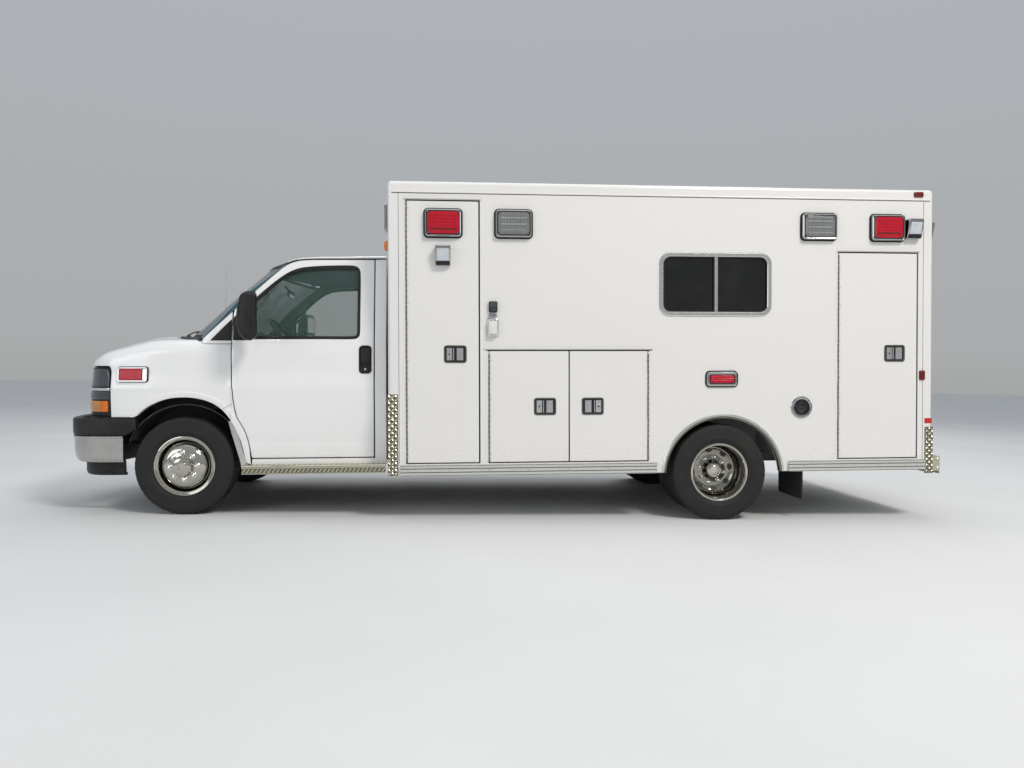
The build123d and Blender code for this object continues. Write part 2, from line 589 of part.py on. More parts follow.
# --- nose ------------------------------------------------------------------------
def nose_volume(t):
    with BuildSketch(side(1300)) as from_side:
        with BuildLine() as outline:
            Polyline((2440, 1408 - t), (2056, 1384 - t), (2056, 600), (3300, 600), (3300, 1100), (3262 - t, 1165), (3225 - t, 1232 - t))
            ThreePointArc((3225 - t, 1232 - t), (3060 - t * 0.5, 1333 - t), (2800, 1392 - t))
            ThreePointArc((2800, 1392 - t), (2600, 1410 - t), (2440, 1408 - t))
        make_face(outline.edges())
    extrude(from_side.sketch, amount=2600)
    with BuildSketch(Plane.XY.offset(500)) as plan:
        with BuildLine() as outline:
            Polyline((2918, -985 + t), (2500, -1006 + t), (2056, -1004 + t), (2056, 1004 - t), (2500, 1006 - t), (2918, 985 - t))
            ThreePointArc((2918, 985 - t), (3110 - t * 0.7, 880 - t * 0.7), (3200 - t, 690))
            ThreePointArc((3200 - t, 690), (3270 - t, 0), (3200 - t, -690))
            ThreePointArc((3200 - t, -690), (3110 - t * 0.7, -880 + t * 0.7), (2918, -985 + t))
        make_face(outline.edges())
    extrude(plan.sketch, amount=1200, mode=Mode.INTERSECT)
    with BuildSketch(Plane.YZ.offset(2000)) as from_front:
        with BuildLine() as outline:
            Polyline((-1010 + t, 1250), (-1010 + t, 500), (1010 - t, 500), (1010 - t, 1250))
            ThreePointArc((1010 - t, 1250), (975 - t, 1330 - t), (890 - t, 1372 - t))
            ThreePointArc((890 - t, 1372 - t), (0, 1412 - t), (-890 + t, 1372 - t))
            ThreePointArc((-890 + t, 1372 - t), (-975 + t, 1330 - t), (-1010 + t, 1250))
        make_face(outline.edges())
    extrude(from_front.sketch, amount=1400, mode=Mode.INTERSECT)


with BuildPart() as nose_outer:
    nose_volume(0)
with BuildPart() as nose_inner:
    nose_volume(35)

ARCH_LIP = [(1979, 354), (2001, 556), (2046, 728), (2110, 824), (2230, 901), (2414, 926), (2599, 874), (2737, 791), (2790, 700), (2800, 300)]

with BuildPart() as hood:
    add(nose_outer.part)
    add(nose_inner.part, mode=Mode.SUBTRACT)
    with BuildSketch(Plane.XY.offset(1168)):
        with BuildLine():
            Polyline((2440, 800), (3400, 600), (3400, -600), (2440, -800))
            ThreePointArc((2440, -800), (2648, 0), (2440, 800))
        make_face()
    extrude(amount=400, mode=Mode.INTERSECT)
finish(hood, "hood")

HEADLAMP_X = 2918.0
with BuildPart() as front_fenders:
    add(nose_outer.part)
    add(nose_inner.part, mode=Mode.SUBTRACT)
    with BuildSketch(Plane.XY.offset(400)):
        poly([(2000, -808), (2440, -808), (3400, -608), (3600, -566), (3600, 566), (3400, 608), (2440, 808), (2000, 808)])
    extrude(amount=1200, mode=Mode.SUBTRACT)
    prism_y(ARCH_LIP, -1100, 1100, mode=Mode.SUBTRACT)
    box(HEADLAMP_X, 3400, -1100, 1100, 500, 1162, mode=Mode.SUBTRACT)
    box(2700, 3400, -1100, 1100, 500, 782, mode=Mode.SUBTRACT)
    prism_y([(1900, 300), (2040, 300), (2060, 1350), (2060, 1500), (1900, 1500)], -1100, 1100, mode=Mode.SUBTRACT)
    # under the windscreen base the cab closes the top
    box(2000, 2300, -1100, 1100, BELT - 14, 1500, mode=Mode.SUBTRACT)
    with BuildSketch(Plane.XY.offset(BELT - 14)):
        with BuildLine():
            Polyline((2287, 962), (2000, 962), (2000, -962), (2287, -962))
            ThreePointArc((2287, -962), (2597, 0), (2287, 962))
        make_face()
    extrude(amount=200, mode=Mode.SUBTRACT)
finish(front_fenders, "front_fenders")

with BuildPart() as lamp_inner:
    nose_volume(60)
with BuildPart() as lamp_space:
    for s in (1, -1):
        a, b = sorted((s * 560, s * 1100))
        box(HEADLAMP_X + 3, 3400, a, b, 790, 1155)
with BuildPart() as headlamps:
    add(nose_outer.part)
    add(lamp_inner.part, mode=Mode.SUBTRACT)
    add(lamp_space.part, mode=Mode.INTERSECT)
finish(headlamps, "headlamps")

with BuildPart() as grille:
    add(nose_outer.part)
    add(nose_inner.part, mode=Mode.SUBTRACT)
    box(3000, 3400, -555, 555, 790, 1155, mode=Mode.INTERSECT)
    # open slots between the bars
    for z0, z1 in ((830, 880), (900, 950), (1020, 1060), (1080, 1120)):
        box(3000, 3400, -500, -20, z0, z1, mode=Mode.SUBTRACT)
        box(3000, 3400, 20, 500, z0, z1, mode=Mode.SUBTRACT)
finish(grille, "grille")

# --- bumper --------------------------------------------------------------------
def bumper_body(z0, z1, out):
    with BuildSketch(Plane.XY.offset(z0)) as plan:
        with BuildLine() as outline:
            ThreePointArc((3290 + out, 780), (3409.04 + out, 0), (3290 + out, -780))
            ThreePointArc((3290 + out, -780), (3180 + out * 0.8, -935 - out * 0.6), (2950, -1000 - out))
            Polyline((2950, -1000 - out), (2737, -1002 - out), (2737, -945), (2960, -940))
            ThreePointArc((2960, -940), (3120, -880), (3200, -740))
            ThreePointArc((3200, -740), (3290, 0), (3200, 740))
            ThreePointArc((3200, 740), (3120, 880), (2960, 940))
            Polyline((2960, 940), (2737, 945), (2737, 1002 + out), (2950, 1000 + out))
            ThreePointArc((2950, 1000 + out), (3180 + out * 0.8, 935 + out * 0.6), (3290 + out, 780))
        make_face(outline.edges())
    extrude(plan.sketch, amount=z1 - z0)


with BuildPart() as front_bumper:
    bumper_body(640, 780, 0)
    bumper_body(450, 640, -12)
    bumper_body(345, 450, -45)
    box(2600, 2835, -1100, 1100, 340, 640, mode=Mode.SUBTRACT)
    with BuildSketch(side(990)):
        with Locations((2406, 430)):
            Circle(458)
    extrude(amount=1980, mode=Mode.SUBTRACT)
    for s in (1, -1):
        a, b = sorted((s * 355, s * 430))
        box(3080, 3290, a, b, 440, 540)
finish(front_bumper, "front_bumper")

# --- wheel liners in the front arches -------------------------------------------
with BuildPart() as wheel_liners:
    for s in (1, -1):
        yo = s * 925 if s > 0 else s * 560
        with BuildSketch(side(yo)):
            with Locations((2406, 430)):
                Circle(450)
                Circle(442, mode=Mode.SUBTRACT)
            rect(1900, 2900, -100, 600, mode=Mode.SUBTRACT)
        extrude(amount=365)
finish(wheel_liners, "wheel_liners")

# --- cab fittings -----------------------------------------------------------------
SW_C = (1760.0, 430.0, 1400.0)    # middle of the steering wheel
SW_TILT = 38.0                    # column above the horizontal
SW_AXIS = (-math.cos(math.radians(SW_TILT)), 0, math.sin(math.radians(SW_TILT)))
SW_PLANE = Plane(origin=SW_C, x_dir=(0, 1, 0), z_dir=SW_AXIS)
with BuildPart() as dashboard:
    with BuildSketch(side(790)):
        poly([(2155, 890), (2155, 1345), (2120, 1440), (2010, 1450), (1950, 1400), (1930, 1250), (1985, 1130), (2000, 890)])
    extrude(amount=1580)
    # column shroud up to the steering wheel
    with BuildSketch(SW_PLANE.offset(-68)):
        Circle(42)
    extrude(amount=-230)
finish(dashboard, "dashboard")

with BuildPart() as steering_wheel:
    with BuildSketch(Plane(origin=SW_C, x_dir=(0, 1, 0), z_dir=(SW_AXIS[2], 0, -SW_AXIS[0]))):
        with Locations((188, 0)):
            Circle(14)
    revolve(axis=Axis(SW_C, SW_AXIS))
    with BuildSketch(SW_PLANE.offset(-28)):
        Circle(62)
        Rectangle(366, 40)
        with Locations((0, -92)):
            Rectangle(44, 184)
    extrude(amount=24)
    with BuildSketch(SW_PLANE.offset(-62)):
        Circle(20)
    extrude(amount=40)
finish(steering_wheel, "steering_wheel")

with BuildPart() as cab_seats:
    for s in (1, -1):
        a, b = sorted((s * 190, s * 700))
        prism_y([(965, 860), (965, 900), (1125, 900), (1127, 985), (1580, 1010), (1610, 960), (1600, 860)], a, b)
        prism_y([(1125, 900), (1035, 1480), (965, 1480), (965, 900)], a + 10, b - 10)
        a2, b2 = sorted((s * 320, s * 570))
        prism_y([(1030, 1480), (1022, 1660), (968, 1660), (970, 1480)], a2, b2)
        box(1050, 1540, a + 60, b - 60, 590, 860)
finish(cab_seats, "cab_seats")

with BuildPart() as running_boards:
    for s in (1, -1):
        a, b = sorted((s * 900, s * 1110))
        box(899, 1984, a, b, 395, 423)
        a, b = sorted((s * 1098, s * 1110))
        box(899, 1984, a, b, 349, 395)
        for x in (1050, 1850):
            a, b = sorted((s * 430, s * 900))
            box(x - 25, x + 25, a, b, 398, 420)
finish(running_boards, "running_boards")

# --- bench, cabinet and cot in the box ---------------------------------------------
with BuildPart() as bench:
    box(-2520, -2140, -YI, -700, 720, 1120)
    box(-2140, -1170, -YI, -700, 802, 1120)
finish(bench, "bench")

# --- axles and wheels, drawn in the row frame ---------------------------------------
ZC = TYRE_R
with BuildPart() as rear_axle:
    rod_y(AXLE_R, ZC, 55, -700, 700)
    with Locations((AXLE_R, 0, ZC)):
        Sphere(150)
    rod_y(AXLE_R, ZC, 42, -1000, 1000)
    for s in (1, -1):
        a, b = sorted((s * 450, s * 525))
        box(AXLE_R - 60, AXLE_R + 60, a, b, ZC, ZC + 75)
        prism_y([(AXLE_R - 620, ZC + 88), (AXLE_R, ZC + 55), (AXLE_R + 620, ZC + 68),
                 (AXLE_R + 620, ZC + 90), (AXLE_R, ZC + 100), (AXLE_R - 620, ZC + 110)], a, b)
    # propeller shaft to the gearbox
    tail, nose = Vector(AXLE_R + 100, 0, ZC), Vector(1486, 0, 440)
    with BuildSketch(Plane(origin=tail, z_dir=nose - tail)):
        Circle(42)
    extrude(amount=(nose - tail).length)
finish(rear_axle, "rear_axle", leaned=False)

SUSP_X = 2406.0                   # axle line in the body frame
with BuildPart() as front_suspension:
    box(SUSP_X - 90, SUSP_X + 90, -430, 430, 365, 415)
    for s in (1, -1):
        a, b = sorted((s * 380, s * 430))
        box(SUSP_X - 150, SUSP_X + 150, a, b, 286, 321)
        box(SUSP_X - 90, SUSP_X + 90, a, b, 321, 365)
        # lower and upper arms, wide at the frame and narrow at the kingpin
        for z0, z1, w, root, xc in ((286, 321, 150, 400, 2408.0), (516, 541, 120, 430, 2404.0)):
            with BuildSketch(Plane.XY.offset(z0)) as arm:
                poly([(SUSP_X - w, s * root), (SUSP_X + w, s * root), (xc + 32, s * (KING_Y + 28)), (xc - 32, s * (KING_Y + 28))])
                with Locations((xc, s * KING_Y)):
                    Circle(11.5, mode=Mode.SUBTRACT)
            extrude(arm.sketch, amount=z1 - z0)
finish(front_suspension, "front_suspension")

for s, label in ((1, "left_knuckle"), (-1, "right_knuckle")):
    with BuildPart() as knuckle:
        box(AXLE_F - 30, AXLE_F + 30, *sorted((s * (KING_Y - 28), s * (KING_Y + 28))), ZC - 85, ZC + 88)
        with Locations((AXLE_F, s * KING_Y, ZC)):
            Cylinder(10, 270)
        rod_y(AXLE_F, ZC, 30, *sorted((s * (KING_Y + 20), s * 915)))
    finish(knuckle, label, leaned=False)


def rim_solid(y_mid, s, face, rows):
    """A rim turned about the wheel axis. rows: profile as (radius, y from the middle, outward)."""
    with BuildSketch(Plane(origin=(AXLE, 0, ZC), x_dir=(0, 0, 1), z_dir=(1, 0, 0))) as half:
        # local axes: first up (radius), second along -y
        poly([(r, -(s * (y_mid + dy))) for r, dy in rows])
    revolve(half.sketch, axis=Axis((AXLE, 0, ZC), (0, 1, 0)))


def tyre_solid(y_mid, s):
    w = TYRE_W / 2
    with BuildSketch(Plane(origin=(AXLE, 0, ZC), x_dir=(0, 0, 1), z_dir=(1, 0, 0))) as half:
        with BuildLine() as outline:
            m = -s * y_mid
            Polyline((RIM_R + 0.4, m - 78), (RIM_R + 0.4, m + 78))
            ThreePointArc((RIM_R + 0.4, m + 78), (292, m + w), (352, m + w - 12))
            ThreePointArc((352, m + w - 12), (361, m + w - 18), (TYRE_R, m + w - 30))
            Polyline((TYRE_R, m + w - 30), (TYRE_R, m - w + 30))
            ThreePointArc((TYRE_R, m - w + 30), (361, m - w + 18), (352, m - w + 12))
            ThreePointArc((352, m - w + 12), (292, m - w), (RIM_R + 0.4, m - 78))
        make_face(outline.edges())
    revolve(half.sketch, axis=Axis((AXLE, 0, ZC), (0, 1, 0)))


# rim section: barrel with two flanges, disc and hub; dy outward from the middle
FRONT_RIM = [(30.3, -36), (75, -36), (75, -15), (110, 15), (190, 15), (192, -70), (205, -88), (RIM_R, -88), (RIM_R, 80),
             (205, 90), (196, 70), (190, 35), (130, 50), (95, 60), (80, 130), (60, 168), (0, 172), (0, 60), (30.3, 60)]
AXLE = AXLE_F
for s, tag in ((1, "left"), (-1, "right")):
    with BuildPart() as front_rim:
        rim_solid(TRACK_F, s, 1, FRONT_RIM)
    finish(front_rim, f"front_rim_{tag}", leaned=False)
    with BuildPart() as front_tyre:
        tyre_solid(TRACK_F, s)
    finish(front_tyre, f"front_tyre_{tag}", leaned=False)

# rear: outer rim is dished in, inner rim faces out, both bolted at y 953
DISC = 953.0
REAR_OUT = [(42.3, DISC + 6 - DUAL_OUT), (150, DISC + 6 - DUAL_OUT), (180, -100), (190, -80), (205, -80), (RIM_R, -80), (RIM_R, 80),
            (205, 88), (196, 70), (172, -60), (140, DISC + 22 - DUAL_OUT), (90, DISC + 22 - DUAL_OUT), (80, -40), (60, -20), (0, -18),
            (0, DISC + 60 - DUAL_OUT), (42.3, DISC + 60 - DUAL_OUT)]
REAR_IN = [(42.3, DISC - 14 - DUAL_IN), (150, DISC - 14 - DUAL_IN), (180, 60), (190, -70), (205, -80), (RIM_R, -80), (RIM_R, 80),
           (205, 88), (196, 96), (160, DISC + 6 - DUAL_IN), (42.3, DISC + 6 - DUAL_IN)]
AXLE = AXLE_R
for s, tag in ((1, "left"), (-1, "right")):
    with BuildPart() as rear_rims:
        rim_solid(DUAL_OUT, s, 1, REAR_OUT)
        rim_solid(DUAL_IN, s, 1, REAR_IN)
    finish(rear_rims, f"rear_rims_{tag}", leaned=False)
    with BuildPart() as rear_tyres:
        tyre_solid(DUAL_OUT, s)
        tyre_solid(DUAL_IN, s)
    finish(rear_tyres, f"rear_tyres_{tag}", leaned=False)
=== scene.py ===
import bpy, bmesh, math, random
import numpy as np
from mathutils import Vector, Matrix
from mathutils.geometry import delaunay_2d_cdt


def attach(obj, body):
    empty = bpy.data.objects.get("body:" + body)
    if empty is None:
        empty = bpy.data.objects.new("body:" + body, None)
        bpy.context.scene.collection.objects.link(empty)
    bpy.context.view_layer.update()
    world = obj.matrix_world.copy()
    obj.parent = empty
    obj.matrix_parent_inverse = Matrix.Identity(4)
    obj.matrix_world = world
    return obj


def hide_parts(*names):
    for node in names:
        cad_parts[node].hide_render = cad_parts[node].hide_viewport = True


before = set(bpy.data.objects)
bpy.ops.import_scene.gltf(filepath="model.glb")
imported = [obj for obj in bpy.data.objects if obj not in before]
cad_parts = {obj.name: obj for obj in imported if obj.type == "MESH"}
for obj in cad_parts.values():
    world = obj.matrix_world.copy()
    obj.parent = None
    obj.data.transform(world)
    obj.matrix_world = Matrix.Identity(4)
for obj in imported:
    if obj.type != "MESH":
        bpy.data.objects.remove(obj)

random.seed(7)
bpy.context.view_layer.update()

# ---------------------------------------------------------------- body frame
# body, cab and chassis are drawn level in millimetres and leaned nose down
RAKE = math.radians(0.9975)
CR, SR = math.cos(RAKE), math.sin(RAKE)


def T(x, y, z):
    return Vector(((CR * x + SR * z) / 1000, y / 1000, (-SR * x + CR * z - 8.5) / 1000))


def Tn(x, y, z):
    return Vector((CR * x + SR * z, y, -SR * x + CR * z))


# ---------------------------------------------------------------- camera
def camera():
    pos = Vector((0.4703, 7.0731, 1.10719))
    yaw, pitch, roll = -0.08377, -0.01508, -0.01506
    fwd, right, up = Vector((0, -1, 0)), Vector((-1, 0, 0)), Vector((0, 0, 1))
    rz = Matrix.Rotation(yaw, 3, Vector((0, 0, 1)))
    fwd, right, up = rz @ fwd, rz @ right, rz @ up
    rp = Matrix.Rotation(pitch, 3, right)
    fwd, up = rp @ fwd, rp @ up
    rr = Matrix.Rotation(roll, 3, fwd)
    right, up = rr @ right, rr @ up
    data = bpy.data.cameras.new("camera")
    data.sensor_fit, data.sensor_width = "HORIZONTAL", 36.0
    data.lens = 791.018 * 36.0 / 1024
    data.clip_start, data.clip_end = 0.05, 200
    cam = bpy.data.objects.new("camera", data)
    bpy.context.scene.collection.objects.link(cam)
    m = Matrix((right, up, -fwd)).transposed().to_4x4()
    m.translation = pos
    cam.matrix_world = m
    bpy.context.scene.camera = cam
    return cam


camera()

# ---------------------------------------------------------------- materials
MATS = {}


class Nodes:
    """A material's node tree with short calls."""

    def __init__(self, name):
        self.mat = bpy.data.materials.new(name)
        self.mat.use_nodes = True
        self.t = self.mat.node_tree
        self.t.nodes.clear()
        self.out = self.t.nodes.new("ShaderNodeOutputMaterial")
        self.b = self.t.nodes.new("ShaderNodeBsdfPrincipled")
        self.t.links.new(self.b.outputs[0], self.out.inputs[0])
        self.geo = None
        MATS[name] = self.mat

    def new(self, kind, **k):
        n = self.t.nodes.new(kind)
        for a, v in k.items():
            setattr(n, a, v)
        return n

    def link(self, a, b):
        self.t.links.new(a, b)

    def pos(self):
        if self.geo is None:
            self.geo = self.new("ShaderNodeTexCoord").outputs["Object"]
        return self.geo

    def noise(self, scale, detail=4.0, rough=0.55, vec=None, stretch=None):
        n = self.new("ShaderNodeTexNoise")
        n.inputs["Scale"].default_value = scale
        n.inputs["Detail"].default_value = detail
        n.inputs["Roughness"].default_value = rough
        v = vec or self.pos()
        if stretch:
            m = self.new("ShaderNodeMapping")
            m.inputs["Scale"].default_value = stretch
            self.link(v, m.inputs["Vector"])
            v = m.outputs[0]
        self.link(v, n.inputs["Vector"])
        return n.outputs["Fac"]

    def ramp(self, fac, stops, mode="LINEAR"):
        r = self.new("ShaderNodeValToRGB")
        r.color_ramp.interpolation = mode
        e = r.color_ramp.elements
        while len(e) < len(stops):
            e.new(0.5)
        for el, (p, c) in zip(e, stops):
            el.position = p
            el.color = c if len(c) == 4 else (*c, 1)
        self.link(fac, r.inputs[0])
        return r.outputs[0]

    def rng(self, fac, a0, a1, b0, b1):
        m = self.new("ShaderNodeMapRange")
        m.inputs[1].default_value, m.inputs[2].default_value = a0, a1
        m.inputs[3].default_value, m.inputs[4].default_value = b0, b1
        self.link(fac, m.inputs[0])
        return m.outputs[0]

    def mix(self, fac, a, b, kind="MIX"):
        m = self.new("ShaderNodeMix", data_type="RGBA", blend_type=kind)
        for sock, v in ((m.inputs[0], fac), (m.inputs[6], a), (m.inputs[7], b)):
            if hasattr(v, "is_linked") or hasattr(v, "links"):
                self.link(v, sock)
            elif isinstance(v, (int, float)):
                sock.default_value = v
            else:
                sock.default_value = v if len(v) == 4 else (*v, 1)
        return m.outputs[2]

    def math(self, op, a, b=None, clamp=False):
        m = self.new("ShaderNodeMath", operation=op, use_clamp=clamp)
        for sock, v in ((m.inputs[0], a), (m.inputs[1], b)):
            if v is None:
                continue
            if hasattr(v, "links"):
                self.link(v, sock)
            else:
                sock.default_value = v
        return m.outputs[0]

    def sep(self, vec=None):
        s = self.new("ShaderNodeSeparateXYZ")
        self.link(vec or self.pos(), s.inputs[0])
        return s.outputs

    def bump(self, height, strength=0.2, dist=0.001, into=None):
        n = self.new("ShaderNodeBump")
        n.inputs["Strength"].default_value = strength
        n.inputs["Distance"].default_value = dist
        self.link(height, n.inputs["Height"])
        if into is not None:
            self.link(into, n.inputs["Normal"])
        self.link(n.outputs[0], self.b.inputs["Normal"])
        return n.outputs[0]

    def set(self, **k):
        names = {"rough": "Roughness", "metal": "Metallic", "coat": "Coat Weight", "coat_rough": "Coat Roughness",
                 "ior": "IOR", "spec": "Specular IOR Level", "alpha": "Alpha", "trans": "Transmission Weight",
                 "sheen": "Sheen Weight", "color": "Base Color", "sub": "Subsurface Weight",
                 "emit": "Emission Color", "emit_s": "Emission Strength"}
        for a, v in k.items():
            s = self.b.inputs[names[a]]
            if hasattr(v, "links"):
                self.link(v, s)
            elif isinstance(v, (int, float)):
                s.default_value = v
            else:
                s.default_value = v if len(v) == 4 else (*v, 1)
        return self


def paint(name, base, warm=(0.62, 0.58, 0.50), dirt=0.35, rough=0.22):
    """Gloss coachwork paint: orange peel, faint clouding, road film low down."""
    m = Nodes(name)
    x, y, z = m.sep()
    cloud = m.noise(1.7, 5, 0.6)
    col = m.mix(m.rng(cloud, 0.35, 0.7, 0.0, 0.30), base, tuple(c * 0.955 for c in base))
    streak = m.noise(9.0, 6, 0.65, stretch=(1, 1, 0.25))
    low = m.rng(z, 0.95, 0.28, 0.0, 1.0)
    film = m.math("MULTIPLY", m.math("POWER", low, 1.6), m.rng(streak, 0.35, 0.75, 0.25, 1.0), True)
    film = m.math("MULTIPLY", film, dirt, True)
    col = m.mix(film, col, warm)
    fine = m.noise(60.0, 3, 0.5)
    r = m.math("ADD", m.rng(fine, 0.3, 0.7, rough - 0.04, rough + 0.05), m.math("MULTIPLY", film, 0.5))
    m.set(color=col, rough=r, spec=0.5, coat=0.8, coat_rough=0.06)
    peel = m.noise(260.0, 2, 0.5)
    wave = m.noise(3.0, 2, 0.4)
    m.bump(m.math("ADD", m.math("MULTIPLY", peel, 0.25), m.math("MULTIPLY", wave, 4.0)), 0.10, 0.0006)
    return m.mat


def metal(name, base, rough=0.10, metallic=1.0, scratch=0.35, grime=0.0, brushed=None, bump=0.05):
    m = Nodes(name)
    n = m.noise(35.0, 5, 0.6)
    s = m.noise(140.0, 3, 0.6, stretch=brushed or (1, 1, 1))
    col = m.mix(m.rng(n, 0.3, 0.75, 0.0, 0.4), base, tuple(c * 0.88 for c in base))
    if grime:
        x, y, z = m.sep()
        g = m.noise(14.0, 6, 0.7)
        f = m.rng(g, 0.42, 0.72, 0.0, grime)
        col = m.mix(f, col, (0.16, 0.13, 0.10))
        rr = m.math("ADD", m.rng(s, 0.3, 0.7, rough, rough + scratch * 0.3), m.math("MULTIPLY", f, 0.5))
    else:
        rr = m.rng(s, 0.3, 0.7, rough, rough + scratch * 0.3)
    m.set(color=col, rough=rr, metal=metallic)
    m.bump(m.math("ADD", m.math("MULTIPLY", s, 0.5), n), bump, 0.0008)
    return m.mat


def plastic(name, base, rough=0.5, grain=450.0, strength=0.18, dust=0.15, coat=0.0, spec=0.28):
    m = Nodes(name)
    g = m.noise(grain, 3, 0.6)
    n = m.noise(7.0, 5, 0.6)
    col = m.mix(m.rng(n, 0.35, 0.75, 0.0, dust), base, (0.30, 0.28, 0.25))
    m.set(color=col, rough=m.rng(n, 0.3, 0.7, rough - 0.06, rough + 0.08), spec=spec, coat=coat, coat_rough=0.1)
    m.bump(g, strength, 0.0006)
    return m.mat


def lens(name, base, dark=None, rough=0.08, coat=0.30, emit=0.0):
    """Moulded lens: bright and deep patches from the optics behind the ribs."""
    m = Nodes(name)
    n = m.noise(22.0, 4, 0.6)
    fine = m.noise(160.0, 2, 0.5)
    col = m.mix(m.rng(n, 0.35, 0.65, 0.0, 0.38), base, dark or tuple(c * 0.45 for c in base))
    m.set(color=col, rough=m.rng(fine, 0.3, 0.7, rough, rough + 0.06), spec=0.35, coat=coat, coat_rough=0.03)
    if emit:
        m.set(emit=base, emit_s=emit)
    m.bump(fine, 0.08, 0.0005)
    return m.mat


def glass(name, base, alpha, rough=0.02, spec=1.0, coat=1.0):
    m = Nodes(name)
    n = m.noise(5.0, 4, 0.6)
    f = m.noise(90.0, 3, 0.6)
    col = m.mix(m.rng(n, 0.4, 0.7, 0.0, 0.35), base, tuple(min(1, c * 1.5 + 0.02) for c in base))
    m.set(color=col, rough=m.rng(f, 0.3, 0.7, rough, rough + 0.03), spec=spec, alpha=alpha, coat=coat, coat_rough=0.01)
    m.bump(n, 0.02, 0.0006)
    m.mat.surface_render_method = "BLENDED"
    return m.mat


def rubber(name, base=(0.022, 0.022, 0.023), dust=(0.16, 0.14, 0.12), amount=0.35, rough=0.72, grain=220.0):
    m = Nodes(name)
    n = m.noise(6.0, 6, 0.65)
    g = m.noise(grain, 4, 0.6)
    f = m.math("MULTIPLY", m.rng(n, 0.35, 0.75, 0.0, 1.0), m.rng(g, 0.35, 0.7, 0.4, 1.0), True)
    col = m.mix(m.math("MULTIPLY", f, amount), base, dust)
    m.set(color=col, rough=m.rng(n, 0.3, 0.7, rough - 0.08, rough + 0.12), spec=0.35)
    m.bump(g, 0.25, 0.0008)
    return m.mat


BOXW = paint("paint_box", (0.800, 0.782, 0.756), dirt=0.30)
CABW = paint("paint_cab", (0.855, 0.848, 0.838), dirt=0.28, rough=0.18)
CHROME = metal("chrome", (0.86, 0.86, 0.87), 0.05, scratch=0.25, bump=0.03)
CHROME_MID = metal("chrome_mid", (0.46, 0.46, 0.455), 0.07, scratch=0.22, bump=0.03)
CHROME_DARK = metal("chrome_dark", (0.20, 0.195, 0.17), 0.10, scratch=0.25, bump=0.03)
CHROME_SOFT = metal("chrome_soft", (0.70, 0.70, 0.70), 0.16, scratch=0.4)
ALU = metal("aluminium", (0.72, 0.72, 0.69), 0.20, scratch=0.30, brushed=(0.15, 1, 1))
TREAD = metal("tread_plate", (0.62, 0.59, 0.46), 0.13, scratch=0.5, grime=0.12)
# dark tread plate behind the raised diamonds and bars: painted shade between the raised parts, with grime
TREAD_SHADE_AND_GRIME = metal("tread_plate_shade_and_grime", (0.22, 0.205, 0.145), 0.32, scratch=0.6, grime=0.45)
# dark steel for hinge knuckles and catches, also used as painted shade: strips in the rub rail grooves, under the
# fascia bead and on the arch trims' inner face
DARK_STEEL_AND_SHADE = metal("dark_steel_and_painted_shade", (0.22, 0.205, 0.18), 0.30, scratch=0.5, grime=0.25)
SHEET = metal("compartment_sheet", (0.66, 0.67, 0.68), 0.35, scratch=0.6, brushed=(1, 1, 0.1))
STEEL = metal("exhaust_steel", (0.32, 0.29, 0.26), 0.42, scratch=0.8, grime=0.5)
IRON = metal("iron", (0.085, 0.078, 0.072), 0.6, metallic=0.35, scratch=0.6, grime=0.5, bump=0.3)
BLACK_FRAME = plastic("frame_black", (0.028, 0.028, 0.030), 0.5, 120.0, 0.2, 0.35)
BLACK = plastic("black_plastic", (0.010, 0.010, 0.011), 0.42, 420.0, 0.2, 0.06)
BLACK_GLOSS = plastic("black_gloss", (0.012, 0.012, 0.013), 0.16, 200.0, 0.04, 0.03, coat=0.6)
BLACK_ROUGH = plastic("black_rough", (0.030, 0.030, 0.031), 0.62, 160.0, 0.35, 0.22)
# dark rubber for gaskets and seals, also used as painted shade: thin dark strips under drip rails, round door gaps, by
# corner posts and along a fender seam
RUBBER_AND_SHADE = rubber("seal_rubber_and_painted_shade", (0.014, 0.014, 0.015), amount=0.10, rough=0.6)
FLAP = rubber("flap_rubber", (0.020, 0.020, 0.021), amount=0.30, rough=0.65)
TYRE = rubber("tyre_rubber", (0.012, 0.012, 0.0125), (0.075, 0.068, 0.056), amount=0.34, rough=0.68)
RED = lens("lens_red", (0.50, 0.004, 0.022), (0.30, 0.002, 0.010))
RED_DARK = lens("lens_red_dark", (0.16, 0.012, 0.010), (0.08, 0.01, 0.01))
CLEAR = lens("lens_clear", (0.200, 0.205, 0.205), (0.11, 0.115, 0.12), coat=0.5)
OPTIC = lens("lens_optic", (0.36, 0.37, 0.36), (0.22, 0.23, 0.23), coat=0.6)
# pale blue-white lens; on the scene lights the blue-white is a painted reflection of the sky
PALE = lens("lens_pale", (0.62, 0.66, 0.70), (0.46, 0.50, 0.54), coat=0.6)
AMBER = lens("lens_amber", (0.85, 0.20, 0.008), (0.62, 0.11, 0.004))
SMOKE = lens("lens_smoke", (0.060, 0.072, 0.085), (0.018, 0.022, 0.028), coat=0.45)
WHITE_LENS = lens("lens_white", (0.78, 0.78, 0.76), (0.60, 0.60, 0.58))
GLASS_SIDE = glass("glass_side", (0.105, 0.190, 0.160), 0.185, spec=0.7, coat=0.5)
GLASS_DARK = glass("glass_dark", (0.006, 0.007, 0.006), 0.93, spec=0.35, coat=0.25)
GLASS_SCREEN = glass("glass_screen", (0.045, 0.112, 0.145), 0.60, spec=0.35, coat=0.22)
SCREEN_EDGE = plastic("screen_edge", (0.045, 0.105, 0.135), 0.12, 60.0, 0.02, 0.04, coat=0.8)
GREY_PAINT = paint("floor_grey", (0.30, 0.30, 0.31), dirt=0.2, rough=0.4)
DASH = plastic("dash_plastic", (0.060, 0.060, 0.062), 0.6, 300.0, 0.4, 0.1)
TRIM_IN = plastic("cab_trim", (0.11, 0.11, 0.113), 0.7, 300.0, 0.3, 0.1)
LAMINATE = plastic("laminate", (0.62, 0.62, 0.59), 0.35, 200.0, 0.05, 0.1)
STRIPE = plastic("stripe_red", (0.55, 0.02, 0.02), 0.3, 200.0, 0.05, 0.1)


